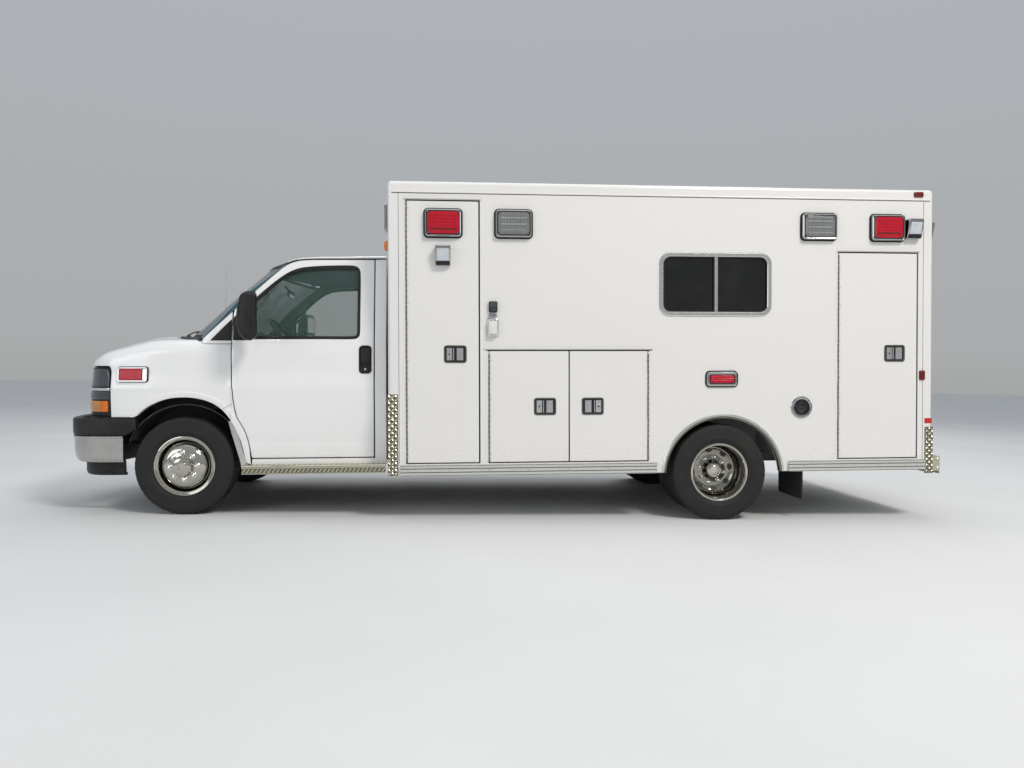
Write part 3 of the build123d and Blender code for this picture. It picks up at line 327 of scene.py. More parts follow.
def vinyl():
    m = Nodes("seat_vinyl")
    v = m.new("ShaderNodeTexVoronoi", feature="F1")
    v.inputs["Scale"].default_value = 420.0
    m.link(m.pos(), v.inputs["Vector"])
    n = m.noise(8.0, 5, 0.6)
    m.set(color=m.mix(m.rng(n, 0.3, 0.7, 0, 1), (0.085, 0.088, 0.095), (0.13, 0.13, 0.135)),
          rough=m.rng(n, 0.3, 0.7, 0.5, 0.68), spec=0.4)
    m.bump(v.outputs["Distance"], 0.35, 0.0008)
    return m.mat


VINYL = vinyl()


# wheel chrome: darker and warmer than bright chrome, a painted reflection of the ground
def tread_chrome(name):
    return metal(name, (0.53, 0.515, 0.455), 0.05, scratch=0.20, grime=0.12, bump=0.04)


WHEEL = tread_chrome("wheel_chrome")
# darker chrome for the recessed rear wheel disc: painted reflection of the dark ground
WHEEL_DISC = metal("wheel_disc", (0.30, 0.290, 0.250), 0.07, scratch=0.20, grime=0.15, bump=0.04)
# grey-brown bumper chrome: painted reflection of the ground
BUMPER = metal("bumper_chrome", (0.50, 0.485, 0.465), 0.17, scratch=0.35, grime=0.12)


def set_mat(node, mat):
    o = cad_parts[node]
    if not o.material_slots:
        o.data.materials.append(mat)
    for s in o.material_slots:
        s.material = mat


# ---------------------------------------------------------------- mesh helpers
def obj_from(name, verts, faces, mat, body, smooth=True, angle=35.0, mats=None, face_mats=None):
    me = bpy.data.meshes.new(name)
    me.from_pydata([tuple(v) for v in verts], [], faces)
    o = bpy.data.objects.new(name, me)
    bpy.context.scene.collection.objects.link(o)
    for m in (mats or [mat]):
        me.materials.append(m)
    if face_mats is not None:
        me.polygons.foreach_set("material_index", face_mats)
    me.validate()
    bm = bmesh.new()
    bm.from_mesh(me)
    bmesh.ops.recalc_face_normals(bm, faces=bm.faces)
    lim = math.radians(angle)
    for e in bm.edges:
        if len(e.link_faces) == 2:
            e.smooth = e.calc_face_angle(0) < lim
    for f in bm.faces:
        f.smooth = smooth
    bm.to_mesh(me)
    bm.free()
    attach(o, body)
    return o


class Mesh:
    """Collects vertices and faces in body millimetres, or in row millimetres when row is set."""

    def __init__(self, row=False):
        self.v, self.f, self.m, self.row, self.cur = [], [], [], row, 0

    def add(self, verts, faces, mat=None):
        n = len(self.v)
        self.v += [tuple(p) for p in verts]
        self.f += [tuple(i + n for i in f) for f in faces]
        self.m += [self.cur if mat is None else mat] * len(faces)

    def box(self, x0, x1, y0, y1, z0, z1, r=0.0, mat=None):
        """A box, with small chamfers if r is set."""
        if r <= 0:
            v = [(x, y, z) for x in (x0, x1) for y in (y0, y1) for z in (z0, z1)]
            f = [(0, 1, 3, 2), (4, 6, 7, 5), (0, 4, 5, 1), (2, 3, 7, 6), (0, 2, 6, 4), (1, 5, 7, 3)]
            self.add(v, f, mat)
            return
        bm = bmesh.new()
        bmesh.ops.create_cube(bm, size=1.0)
        for q in bm.verts:
            q.co = Vector((x0 + (q.co.x + 0.5) * (x1 - x0), y0 + (q.co.y + 0.5) * (y1 - y0), z0 + (q.co.z + 0.5) * (z1 - z0)))
        bmesh.ops.bevel(bm, geom=list(bm.edges), offset=r, segments=2, profile=0.5, affect="EDGES")
        self.take(bm, mat)

    def take(self, bm, mat=None):
        bm.verts.index_update()
        self.add([v.co[:] for v in bm.verts], [[v.index for v in f.verts] for f in bm.faces], mat)
        bm.free()

    def prism(self, loop, plane, a, b, mat=None, chamfer=0.0):
        """A closed loop of 2-D points pushed from a to b. plane: 'y' gives (x, z), 'x' gives (y, z), 'z' gives (x, y)."""
        def P(p, d):
            if plane == "y":
                return (p[0], d, p[1])
            if plane == "x":
                return (d, p[0], p[1])
            return (p[0], p[1], d)
        n = len(loop)
        rings = [(loop, a)]
        if chamfer > 0:
            inner = offset_loop(loop, chamfer)
            d = chamfer if b > a else -chamfer
            rings = [(loop, a), (loop, b - d), (offset_loop(loop, chamfer * 0.3), b - 0.3 * d), (inner, b)]
        else:
            rings = [(loop, a), (loop, b)]
        v = [P(p, d) for l, d in rings for p in l]
        f = []
        for k in range(len(rings) - 1):
            for i in range(n):
                j = (i + 1) % n
                f.append((k * n + i, k * n + j, (k + 1) * n + j, (k + 1) * n + i))
        f.append(tuple(range(n)))
        f.append(tuple(range((len(rings) - 1) * n, len(rings) * n)))
        self.add(v, f, mat)

    def tube(self, p0, p1, r, n=16, mat=None, r1=None, cap=True):
        p0, p1 = Vector(p0), Vector(p1)
        d = (p1 - p0).normalized()
        u = d.orthogonal().normalized()
        w = d.cross(u)
        r1 = r if r1 is None else r1
        v = []
        for p, rr in ((p0, r), (p1, r1)):
            for i in range(n):
                a = 2 * math.pi * i / n
                v.append(p + (u * math.cos(a) + w * math.sin(a)) * rr)
        f = [(i, (i + 1) % n, n + (i + 1) % n, n + i) for i in range(n)]
        if cap:
            f += [tuple(range(n)), tuple(range(n, 2 * n))]
        self.add(v, f, mat)

    def path(self, pts, r, n=10, mat=None, closed=False):
        """A round tube along points."""
        pts = [Vector(p) for p in pts]
        m = len(pts)
        v, f = [], []
        prev = None
        for i, p in enumerate(pts):
            a = pts[i - 1] if (i > 0 or closed) else p
            b = pts[(i + 1) % m] if (i < m - 1 or closed) else p
            d = (b - a).normalized()
            if prev is None:
                u = d.orthogonal().normalized()
            else:
                u = (prev - d * prev.dot(d)).normalized()
            prev = u
            w = d.cross(u)
            for k in range(n):
                t = 2 * math.pi * k / n
                v.append(p + (u * math.cos(t) + w * math.sin(t)) * r)
        last = m if closed else m - 1
        for i in range(last):
            j = (i + 1) % m
            for k in range(n):
                l = (k + 1) % n
                f.append((i * n + k, i * n + l, j * n + l, j * n + k))
        if not closed:
            f += [tuple(range(n)), tuple(range((m - 1) * n, m * n))]
        self.add(v, f, mat)

    def lathe(self, centre, axis, profile, n=48, mat=None, close=False, caps=True):
        """profile: (radius, distance along the axis) turned about axis through centre."""
        c, d = Vector(centre), Vector(axis).normalized()
        u = d.orthogonal().normalized()
        w = d.cross(u)
        v, f = [], []
        for r, h in profile:
            for i in range(n):
                a = 2 * math.pi * i / n
                v.append(c + d * h + (u * math.cos(a) + w * math.sin(a)) * max(r, 1e-4))
        m = len(profile)
        for k in range(m - 1 if not close else m):
            l = (k + 1) % m
            for i in range(n):
                j = (i + 1) % n
                f.append((k * n + i, k * n + j, l * n + j, l * n + i))
        if not close and caps:
            if profile[0][0] > 0.5:
                f.append(tuple(range(n)))
            if profile[-1][0] > 0.5:
                f.append(tuple(range((m - 1) * n, m * n)))
        self.add(v, f, mat)

    def mirror(self):
        """The same pieces mirrored across y = 0."""
        o = Mesh(self.row)
        o.v = [(x, -y, z) for x, y, z in self.v]
        o.f = [tuple(reversed(f)) for f in self.f]
        o.m = list(self.m)
        return o

    def done(self, name, body, slot, mats, smooth=True, angle=35.0):
        pts = [Vector(p) / 1000 for p in self.v] if self.row else [T(*p) for p in self.v]
        mats = mats if isinstance(mats, list) else [mats]
        return obj_from(name, pts, self.f, None, body, smooth, angle, mats=mats, face_mats=self.m)


def rrect(cx, cz, w, h, r, n=6):
    """Rounded rectangle loop, counter-clockwise."""
    pts = []
    r = min(r, w / 2 - 0.01, h / 2 - 0.01)
    for sx, sz, a0 in ((1, 1, 0), (-1, 1, 90), (-1, -1, 180), (1, -1, 270)):
        for k in range(n + 1):
            a = math.radians(a0 + 90 * k / n)
            pts.append((cx + sx * (w / 2 - r) + r * math.cos(a), cz + sz * (h / 2 - r) + r * math.sin(a)))
    return pts


def area2(loop):
    return sum(a[0] * b[1] - b[0] * a[1] for a, b in zip(loop, loop[1:] + loop[:1])) / 2


def dense(loop, step, closed=True):
    out = []
    n = len(loop)
    for i in range(n if closed else n - 1):
        a, b = loop[i], loop[(i + 1) % n]
        l = math.dist(a, b)
        k = max(1, int(math.ceil(l / step)))
        for j in range(k):
            out.append((a[0] + (b[0] - a[0]) * j / k, a[1] + (b[1] - a[1]) * j / k))
    if not closed:
        out.append(loop[-1])
    return out


def round_corners(loop, r, n=4):
    """Each corner of a closed loop turned into an arc of about radius r (one radius or one per corner)."""
    out = []
    m = len(loop)
    for i in range(m):
        p, a, b = Vector(loop[i]), Vector(loop[i - 1]), Vector(loop[(i + 1) % m])
        rr = r[i] if isinstance(r, (list, tuple)) else r
        d0, d1 = (a - p), (b - p)
        l0, l1 = d0.length, d1.length
        if rr <= 0 or l0 < 1e-6 or l1 < 1e-6:
            out.append(tuple(p))
            continue
        d0.normalize(); d1.normalize()
        ang = d0.angle(d1)
        if ang > math.radians(176):
            out.append(tuple(p))
            continue
        t = min(rr / math.tan(ang / 2), l0 * 0.45, l1 * 0.45)
        s, e = p + d0 * t, p + d1 * t
        for k in range(n + 1):
            q = k / n
            out.append(tuple(s * (1 - q) ** 2 + p * 2 * q * (1 - q) + e * q * q))
    return out


def offset_loop(loop, d):
    """Moves a closed loop inwards by d (outwards when negative)."""
    s = 1 if area2(loop) > 0 else -1
    n = len(loop)
    out = []
    for i in range(n):
        a, p, b = loop[i - 1], loop[i], loop[(i + 1) % n]
        e0 = Vector((p[0] - a[0], p[1] - a[1]))
        e1 = Vector((b[0] - p[0], b[1] - p[1]))
        if e0.length < 1e-9 or e1.length < 1e-9:
            e0 = e1 if e0.length < 1e-9 else e0
            e1 = e0 if e1.length < 1e-9 else e1
        e0.normalize(); e1.normalize()
        n0, n1 = Vector((-e0.y, e0.x)) * s, Vector((-e1.y, e1.x)) * s
        m = n0 + n1
        if m.length < 1e-6:
            m = n0
        m.normalize()
        k = 1 / max(0.45, m.dot(n0))
        out.append((p[0] + m.x * d * k, p[1] + m.y * d * k))
    return out


def inside(p, loop):
    c = False
    x, y = p
    j = len(loop) - 1
    for i in range(len(loop)):
        xi, yi = loop[i]
        xj, yj = loop[j]
        if (yi > y) != (yj > y) and x < (xj - xi) * (y - yi) / (yj - yi) + xi:
            c = not c
        j = i
    return c


def spline(pts, closed=False, step=14.0, sharp=()):
    """A smooth curve through 2-D points. Corners stay sharp at the indices in sharp."""
    n = len(pts)
    out = []
    for i in range(n if closed else n - 1):
        k = (i + 1) % n
        p1, p2 = Vector(pts[i]), Vector(pts[k])
        p0 = Vector(pts[i - 1]) if (closed or i > 0) and i not in sharp else p1 * 2 - p2
        p3 = Vector(pts[(i + 2) % n]) if (closed or i < n - 2) and k not in sharp else p2 * 2 - p1
        a, b, c = [max(1e-3, d.length ** 0.5) for d in (p1 - p0, p2 - p1, p3 - p2)]
        m1 = p2 - p1 + b * ((p1 - p0) / a - (p2 - p0) / (a + b))
        m2 = p2 - p1 + b * ((p3 - p2) / c - (p3 - p1) / (b + c))
        q = max(1, int((p2 - p1).length / step))
        for j in range(q):
            t = j / q
            h = (2 * t ** 3 - 3 * t ** 2 + 1) * p1 + (t ** 3 - 2 * t ** 2 + t) * m1 + (3 * t ** 2 - 2 * t ** 3) * p2 + (t ** 3 - t ** 2) * m2
            out.append((h.x, h.y))
    if not closed:
        out.append(tuple(pts[-1]))
    return out


# ---------------------------------------------------------------- sheet panels
def panel(out, outline, holes, surf, grid=26.0, th=14.0, r=4.0, mat=0, inner_mat=None, closed=True, extra=()):
    """A sheet panel on a curved surface. outline and holes are loops in surface coordinates;
    surf(a, b, depth) gives a point, depth going inwards. Edges are rolled in by radius r."""
    loops = [outline] + list(holes)
    step = grid * 0.55
    verts2, depth, rings = [], [], []
    for k, loop in enumerate(loops):
        l = dense(loop, step)
        if (area2(l) > 0) != (k == 0):
            l = l[::-1]
        # outer boundary runs counter-clockwise, holes clockwise: material is on the left
        base = l
        def shift(d):
            n = len(base)
            res = []
            for i in range(n):
                a, p, b = base[i - 1], base[i], base[(i + 1) % n]
                e0 = Vector((p[0] - a[0], p[1] - a[1])).normalized()
                e1 = Vector((b[0] - p[0], b[1] - p[1])).normalized()
                m = Vector((-e0.y, e0.x)) + Vector((-e1.y, e1.x))
                if m.length < 1e-6:
                    m = Vector((-e0.y, e0.x))
                m.normalize()
                kk = 1 / max(0.5, m.dot(Vector((-e0.y, e0.x))))
                res.append((p[0] + m.x * d * kk, p[1] + m.y * d * kk))
            return res
        if r > 0:
            rows = [(shift(r), 0.0), (shift(r * 0.3), r * 0.3), (base, r), (base, th)]
        else:
            rows = [(base, 0.0), (base, th)]
        rings.append(rows)
    inner = [rows[0][0] for rows in rings]
    # interior points
    xs = [p[0] for p in inner[0]]
    ys = [p[1] for p in inner[0]]
    pts, edges = [], []
    for loop in inner:
        s = len(pts)
        pts += loop
        edges += [(s + i, s + (i + 1) % len(loop)) for i in range(len(loop))]
    B = np.array(pts)
    # lines that the mesh must follow
    for line in extra:
        prev = None
        for q in dense(line, grid * 0.6, closed=False):
            free = inside(q, inner[0]) and not any(inside(q, h) for h in inner[1:])
            if free and np.min((B[:, 0] - q[0]) ** 2 + (B[:, 1] - q[1]) ** 2) > 4.0:
                pts.append(tuple(q))
                if prev is not None:
                    edges.append((prev, len(pts) - 1))
                prev = len(pts) - 1
            else:
                prev = None
    B = np.array(pts)
    gx = np.arange(min(xs) + grid * 0.5, max(xs), grid)
    gy = np.arange(min(ys) + grid * 0.5, max(ys), grid)
    for i, x in enumerate(gx):
        for j, y in enumerate(gy):
            q = (x, y + (grid * 0.5 if i % 2 else 0))
            if not inside(q, inner[0]) or any(inside(q, h) for h in inner[1:]):
                continue
            if np.min((B[:, 0] - q[0]) ** 2 + (B[:, 1] - q[1]) ** 2) < (grid * 0.45) ** 2:
                continue
            pts.append(q)
    v2, _, f2, _, _, _ = delaunay_2d_cdt([Vector(p) for p in pts], edges, [], 0, 1e-5)[:6]
    tri = []
    for f in f2:
        cx = sum(v2[i][0] for i in f) / len(f)
        cy = sum(v2[i][1] for i in f) / len(f)
        if inside((cx, cy), inner[0]) and not any(inside((cx, cy), h) for h in inner[1:]):
            tri.append(tuple(f))
    # the triangulation keeps input order for its first points
    V, F, M = [], [], []
    V += [surf(p[0], p[1], 0.0) for p in v2]
    F += tri
    M += [mat] * len(tri)
    n_out = len(V)
    if closed:
        V += [surf(p[0], p[1], th) for p in v2]
        F += [tuple(n_out + i for i in reversed(f)) for f in tri]
        M += [mat if inner_mat is None else inner_mat] * len(tri)
    start = 0
    for rows in rings:
        n = len(rows[0][0])
        prev = list(range(start, start + n))
        for loop, d in rows[1:]:
            ids = []
            for p in loop:
                ids.append(len(V))
                V.append(surf(p[0], p[1], d))
            for i in range(n):
                j = (i + 1) % n
                F.append((prev[i], ids[i], ids[j], prev[j]))
                M.append(mat)
            prev = ids
        if closed:
            back = [n_out + start + i for i in range(n)]
            for i in range(n):
                j = (i + 1) % n
                F.append((prev[i], back[i], back[j], prev[j]))
                M.append(mat if inner_mat is None else inner_mat)
        start += n
    base = len(out.v)
    out.v += [tuple(p) for p in V]
    out.f += [tuple(base + i for i in f) for f in F]
    out.m += M


def strip(out, pts_a, pts_b, mat=0, closed=False):
    """Quads between two lists of 3-D points."""
    n = len(pts_a)
    s = len(out.v)
    out.v += [tuple(p) for p in pts_a] + [tuple(p) for p in pts_b]
    m = n if closed else n - 1
    for i in range(m):
        j = (i + 1) % n
        out.f.append((s + i, s + j, s + n + j, s + n + i))
        out.m.append(mat)


def fnorm(surf, a, b, e=1.0):
    p = Vector(surf(a, b, 0))
    u = Vector(surf(a + e, b, 0)) - p
    v = Vector(surf(a, b + e, 0)) - p
    return u.cross(v).normalized()


def seal_loop(out, loop, surf, w=9.0, proud=2.0, deep=10.0, mat=0, step=14.0):
    """A rubber strip that follows a closed loop on a surface, w wide, standing proud."""
    l = dense(loop, step)
    if area2(l) < 0:
        l = l[::-1]
    a, b = offset_loop(l, -w / 2), offset_loop(l, w / 2)
    mid1, mid2 = offset_loop(l, -w / 4), offset_loop(l, w / 4)
    rows = [(a, deep), (a, -proud * 0.4), (mid1, -proud), (mid2, -proud), (b, -proud * 0.4), (b, deep)]
    pts = [[surf(p[0], p[1], d) for p in lo] for lo, d in rows]
    for i in range(len(pts) - 1):
        strip(out, pts[i], pts[i + 1], mat, True)
    strip(out, pts[-1], pts[0], mat, True)


# ================================================================ box body
BX0, BX1, BY, BZ0, BZF, BZ1 = -3328.0, 875.0, 1206.5, 351.0, 2440.0, 2522.0
for n in ("left_wall", "right_wall", "front_wall", "rear_wall", "box_roof", "left_front_compartment_door", "left_middle_door_front",
          "left_middle_door_rear", "left_rear_compartment_door", "right_front_compartment_door", "side_entry_door",
          "right_rear_compartment_door", "rear_door_left", "rear_door_right"):
    set_mat(n, BOXW)
for n in ("left_window", "entry_door_glass", "rear_glass_left", "rear_glass_right"):
    set_mat(n, GLASS_DARK)
for n in ("left_compartments", "right_compartments"):
    set_mat(n, SHEET)
set_mat("box_floor", GREY_PAINT)
set_mat("rub_rails", ALU)
set_mat("rear_step", TREAD)
set_mat("running_boards", TREAD)
set_mat("bench", LAMINATE)
set_mat("chassis_frame", BLACK_FRAME)
set_mat("engine_block", IRON)
set_mat("rear_axle", IRON)
set_mat("front_suspension", IRON)
set_mat("left_knuckle", IRON)
set_mat("right_knuckle", IRON)
set_mat("fuel_tank", BLACK_FRAME)
set_mat("exhaust", STEEL)
set_mat("mud_flaps", FLAP)
set_mat("wheel_liners", BLACK_ROUGH)
set_mat("cab_floor", BLACK_ROUGH)

SIDE_DOORS = [
    ("left_front_compartment_door", 1, 743.0, 199.0, 441.0, 2380.0, "front", False),
    ("left_middle_door_front", 1, 135.0, -470.0, 441.0, 1277.0, "front", True),
    ("left_middle_door_rear", 1, -470.0, -1077.0, 441.0, 1277.0, "rear", True),
    ("left_rear_compartment_door", 1, -2558.0, -3201.0, 441.0, 2030.0, "front", False),
    ("right_front_compartment_door", -1, 743.0, 199.0, 441.0, 2380.0, "front", False),
    ("side_entry_door", -1, 130.0, -640.0, 500.0, 2380.0, "front", False),
    ("right_rear_compartment_door", -1, -2558.0, -3201.0, 441.0, 1600.0, "front", False),
]


def sided(m, s):
    return m if s > 0 else m.mirror()


def diamond(out, P, w, h, pitch=26.0, size=17.0, height=1.5, wide=5.5, mat=0):
    """Raised lozenges over a w by h plate. P(a, b, up) gives a point."""
    na, nb = int(w // pitch), int(h // pitch)
    if na < 1 or nb < 1:
        return
    pa, pb = w / na, h / nb
    for i in range(na):
        for j in range(nb):
            ca, cb = (i + 0.5) * pa, (j + 0.5) * pb
            t = math.radians(45 if (i + j) % 2 else -45)
            d, e = (math.cos(t), math.sin(t)), (-math.sin(t), math.cos(t))
            L, W = size * 0.5, wide * 0.5
            ring = [(-L, 0), (-L * 0.45, -W), (L * 0.45, -W), (L, 0), (L * 0.45, W), (-L * 0.45, W)]
            top = [(-L * 0.5, 0), (L * 0.5, 0)]
            v = [P(ca + x * d[0] + y * e[0], cb + x * d[1] + y * e[1], 0.0) for x, y in ring]
            v += [P(ca + x * d[0] + y * e[0], cb + x * d[1] + y * e[1], height) for x, y in top]
            out.add(v, [(0, 1, 6), (1, 2, 7, 6), (2, 3, 7), (3, 4, 7), (4, 5, 6, 7), (5, 0, 6)], mat)


# --- lights -----------------------------------------------------------------
def big_light(out, P, w, h, d, lensmat, leds=False):
    """Rectangular warning light: gasket, chrome bezel with screws, ribbed lens. P(a, b, out) from the light's middle.
    materials: 0 chrome, 1 gasket, 2 lens, 3 dark"""
    def loop(ww, hh, r):
        return rrect(0, 0, ww, hh, r, 6)
    def ring(rows, mat, cap=None):
        pts = [[P(a, b, z) for a, b in l] for l, z in rows]
        for i in range(len(pts) - 1):
            strip(out, pts[i], pts[i + 1], mat, True)
        if cap is not None:
            out.add(pts[-1], [tuple(range(len(pts[-1])))], cap)
    # black gasket against the wall
    small = h < 130
    q_ = 1.0 if small else 0.72
    ring([(loop(w + 15, h + 15, 36), 0.3), (loop(w + 15, h + 15, 36), 5), (loop(w + 2, h + 2, 29), 8), (loop(w - 6, h - 6, 25), 8)], 1)
    # bezel: rises from the wall, rolls over and falls to the lens
    ring([(loop(w - 1, h - 1, 26), 5), (loop(w - 5, h - 5, 25), d * 0.50)], 1)
    ring([(loop(w - 5, h - 5, 25), d * 0.50), (loop(w - 14 * q_, h - 14 * q_, 22), d * 0.82),
          (loop(w - 26 * q_, h - 26 * q_, 18), d * 0.90), (loop(w - 40 * q_, h - 40 * q_, 14), d * 0.86),
          (loop(w - 44 * q_, h - 44 * q_, 12), d * 0.62)], 0)
    # dark channel, then the lens with a slightly crowned face
    cut = 54 if small else 43
    lw, lh = w - cut, h - cut
    ring([(loop(w - 42 * q_, h - 42 * q_, 13), d * 0.84), (loop(w - 42 * q_, h - 42 * q_, 13), d * 0.70), (loop(lw, lh, 10), d * 0.70)], 1)
    ring([(loop(lw, lh, 10), d * 0.60), (loop(lw, lh, 10), d * 0.86), (loop(lw - 6, lh - 6, 8), d * 0.93)], 2, 2)

    def slab(a0, a1, b0, b1, z0, z1, mat, e=1.6):
        lo = [(a0, b0), (a1, b0), (a1, b1), (a0, b1)]
        hi = [(a0 + e, b0 + e), (a1 - e, b0 + e), (a1 - e, b1 - e), (a0 + e, b1 - e)]
        A, B = [P(x, y, z0) for x, y in lo], [P(x, y, z1) for x, y in hi]
        strip(out, A, B, mat, True)
        out.add(B, [(0, 1, 2, 3)], mat)
    n = 3 if small else 6
    for k in range(n):
        b0 = -lh / 2 + 9 + (lh - 18) * k / n
        b1 = -lh / 2 + 9 + (lh - 18) * (k + 1) / n
        slab(-lw / 2 + 8, lw / 2 - 8, b0 + 1.2, b1 - 1.2, d * 0.93, d * 0.985, 2, 2.4)
    if leds:
        # rows of optics behind the lens
        for zb_, n_ in ((0.24, 8), (-0.04, 8), (-0.30, 1)):
            for i in range(n_):
                wa = (lw - 40) / n_
                a0 = -lw / 2 + 20 + wa * i
                slab(a0 + 3, a0 + wa - 3, lh * zb_ - (5.5 if n_ > 1 else 2.5), lh * zb_ + (5.5 if n_ > 1 else 2.5), d * 0.98, d * 1.0, 3, 1.2)
    elif not small:
        slab(-lw / 2 + 20, lw / 2 - 20, -lh * 0.34, -lh * 0.24, d * 0.98, d * 1.0, 3, 1.5)
    # screws in the lens corners, in dark pockets
    for sa in (-1, 1):
        for sb in (-1, 1):
            ca, cb = sa * (lw / 2 - (5 if small else 6)), sb * (lh / 2 - (5 if small else 6))
            q = 0.55 if small else 1.0
            ts = [i * math.pi / 6 for i in range(12)]
            for r0, z0_, r1, z1_, mt in ((11 * q, d * 0.90, 10 * q, d * 0.97, 1), (5.5 * q, d * 0.97, 4.5 * q, d * 1.0, 0)):
                a = [P(ca + r0 * math.cos(t), cb + r0 * math.sin(t), z0_) for t in ts]
                b = [P(ca + r1 * math.cos(t), cb + r1 * math.sin(t), z1_) for t in ts]
                strip(out, a, b, mt, True)
                out.add(b, [tuple(range(12))], mt)


def flood(out, P, w, h, d):
    """Chrome scene light: a wedge housing whose clear face looks down and out."""
    # side profile (b, out): deep at the top, face slanting back to the foot
    prof = [(h / 2, 0), (h / 2, d * 0.9), (h / 2 - 8, d), (h / 2 - 16, d), (-h / 2 + 26, d * 0.62), (-h / 2 + 6, d * 0.5), (-h / 2, d * 0.42), (-h / 2, 0)]
    def row(a, ins):
        return [P(a, b * (1 - ins / h), o * (1 - ins * 0.006)) for b, o in prof]
    xs = [(-w / 2, 9), (-w / 2 + 2.5, 3), (-w / 2 + 8, 0), (w / 2 - 8, 0), (w / 2 - 2.5, 3), (w / 2, 9)]
    rows = [row(a, i) for a, i in xs]
    for i in range(len(rows) - 1):
        strip(out, rows[i], rows[i + 1], 0)
    out.add(rows[0], [tuple(range(len(prof)))], 0)
    out.add(rows[-1], [tuple(range(len(prof)))], 0)
    # lens on the slanted face; its pale blue-white is a painted reflection of the sky
    b0, o0, b1, o1 = h / 2 - 26, d * 0.965, -h / 2 + 34, d * 0.655
    nrm = Vector((-(o0 - o1), b0 - b1)).normalized()
    def L(a, t, up):
        b, o = b0 + (b1 - b0) * t, o0 + (o1 - o0) * t
        return P(a, b + nrm.x * up, o + nrm.y * up)
    lw = w - 26
    e = [(-lw / 2, 0), (lw / 2, 0), (lw / 2, 1), (-lw / 2, 1)]
    low = [L(a, t, -1) for a, t in e]
    up = [L(a * 0.96, 0.03 + t * 0.94, 3.5) for a, t in e]
    strip(out, low, up, 1, True)
    # black block under the lens: painted shade of the open mouth
    mb = [(-w / 2 + 5, -h / 2 + 31, d * 0.66), (w / 2 - 5, -h / 2 + 31, d * 0.66), (w / 2 - 5, -h / 2 + 3, d * 0.52), (-w / 2 + 5, -h / 2 + 3, d * 0.52)]
    lo_, hi_ = [P(a, b, o - 2) for a, b, o in mb], [P(a * 0.97, b, o + 2.2) for a, b, o in mb]
    strip(out, lo_, hi_, 2, True)
    out.add(hi_, [(0, 1, 2, 3)], 2)
    ribs = 7
    for k in range(ribs):
        a0, a1 = -lw * 0.48 + lw * 0.96 * k / ribs, -lw * 0.48 + lw * 0.96 * (k + 1) / ribs
        m = (a0 + a1) / 2
        A = [L(a0, 0.03, 3.5), L(m, 0.03, 6), L(a1, 0.03, 3.5)]
        B = [L(a0, 0.97, 3.5), L(m, 0.97, 6), L(a1, 0.97, 3.5)]
        strip(out, A, B, 1)


def side_P(x, z, s=1, y=BY):
    return lambda a, b, o: (x + a, s * (y + o), z + b)


for s in (1, -1):
    tag = "left" if s > 0 else "right"
    red, clear, redsmall = Mesh(), Mesh(), Mesh()
    # on the walls
    m = Mesh()
    big_light(m, side_P(-53.9 if s > 0 else -806.5, 2213, s), 275, 208, 42, 2, True)
    big_light(m, side_P(-2400.5, 2221.5, s), 277, 203, 42, 2, True)
    m.done("light_clear_" + tag, "body", "lamp", [CHROME_MID, RUBBER_AND_SHADE, CLEAR, OPTIC])
    m = Mesh()
    big_light(m, side_P(-2948.5, 2219.5, s), 269, 203, 42, 2)
    m.done("light_red_rear_" + tag, "body", "lamp", [CHROME_MID, RUBBER_AND_SHADE, RED, RED_DARK])
    m = Mesh()
    big_light(m, side_P(-1640.5, 1058.5, s), 241, 113, 25, 2)
    m.done("light_arch_" + tag, "body", "lamp", [CHROME_MID, RUBBER_AND_SHADE, RED, RED_DARK])
    m = Mesh()
    flood(m, side_P(-3149, 2209.5, s), 116, 149, 75)
    m.done("scene_light_rear_" + tag, "body", "lamp", [CHROME_MID, PALE, BLACK])
    door = "left_front_compartment_door" if s > 0 else "right_front_compartment_door"
    m = Mesh()
    big_light(m, side_P(467, 2212.5, s), 275, 207, 42, 2)
    m.done("light_red_front_" + tag, door, "lamp", [CHROME_MID, RUBBER_AND_SHADE, RED, RED_DARK])
    m = Mesh()
    flood(m, side_P(469, 1970, s), 112, 148, 75)
    m.done("scene_light_front_" + tag, door, "lamp", [CHROME_MID, PALE, BLACK])
    # small markers on the rear post and fascia
    m = Mesh()
    for cx, cz, w, h, d in ((-3204, 2481, 78, 42, 12), (-3239.5, 1082.5, 47, 75, 12)):
        P = side_P(cx, cz, s, BY)
        base, mid, top = rrect(0, 0, w, h, 10), rrect(0, 0, w - 3, h - 3, 9), rrect(0, 0, w - 16, h - 16, 5)
        rows = [(base, 0.2, 0), (base, 3.5, 0), (mid, 4.5, 1), (rrect(0, 0, w - 6, h - 6, 8), d * 0.8, 1), (top, d, 1)]
        pts = [[P(a, b, o) for a, b in l] for l, o, _ in rows]
        for i in range(len(pts) - 1):
            strip(m, pts[i], pts[i + 1], rows[i + 1][2], True)
        m.add(pts[-1], [tuple(range(len(pts[-1])))], 1)
    m.done("markers_" + tag, "body", "lamp", [BLACK, RED_DARK])

# front wall lights: warning lights under the roof edge and round amber markers
m, am = Mesh(), Mesh()
for s in (1, -1):
    for y0, y1 in ((690.0, 980.0), (200.0, 490.0)):
        yc = s * (y0 + y1) / 2
        big_light(m, (lambda yc: lambda a, b, o: (BX1 + o, yc + a, 2298 + b))(yc), 290, 216, 40, 2)
    P = (lambda s: lambda a, b, o: (BX1 + o, s * 1090 + a, 2060 + b))(s)
    rows = [(46, 0.3, 0), (46, 6, 0), (42, 9, 1), (38, 20, 1), (24, 30, 1), (6, 33, 1)]
    pts = [[P(r * math.cos(t), r * math.sin(t), o) for t in [i * math.pi / 14 for i in range(28)]] for r, o, _ in rows]
    for i in range(len(pts) - 1):
        strip(am, pts[i], pts[i + 1], rows[i + 1][2], True)
    am.add(pts[-1], [tuple(range(28))], 1)
    am.add(pts[-1], [], 1)
lights_front = m.done("front_wall_lights", "body", "lamp", [CHROME_MID, RUBBER_AND_SHADE, RED, RED_DARK])
am.done("front_wall_markers", "body", "lamp", [BLACK, AMBER])
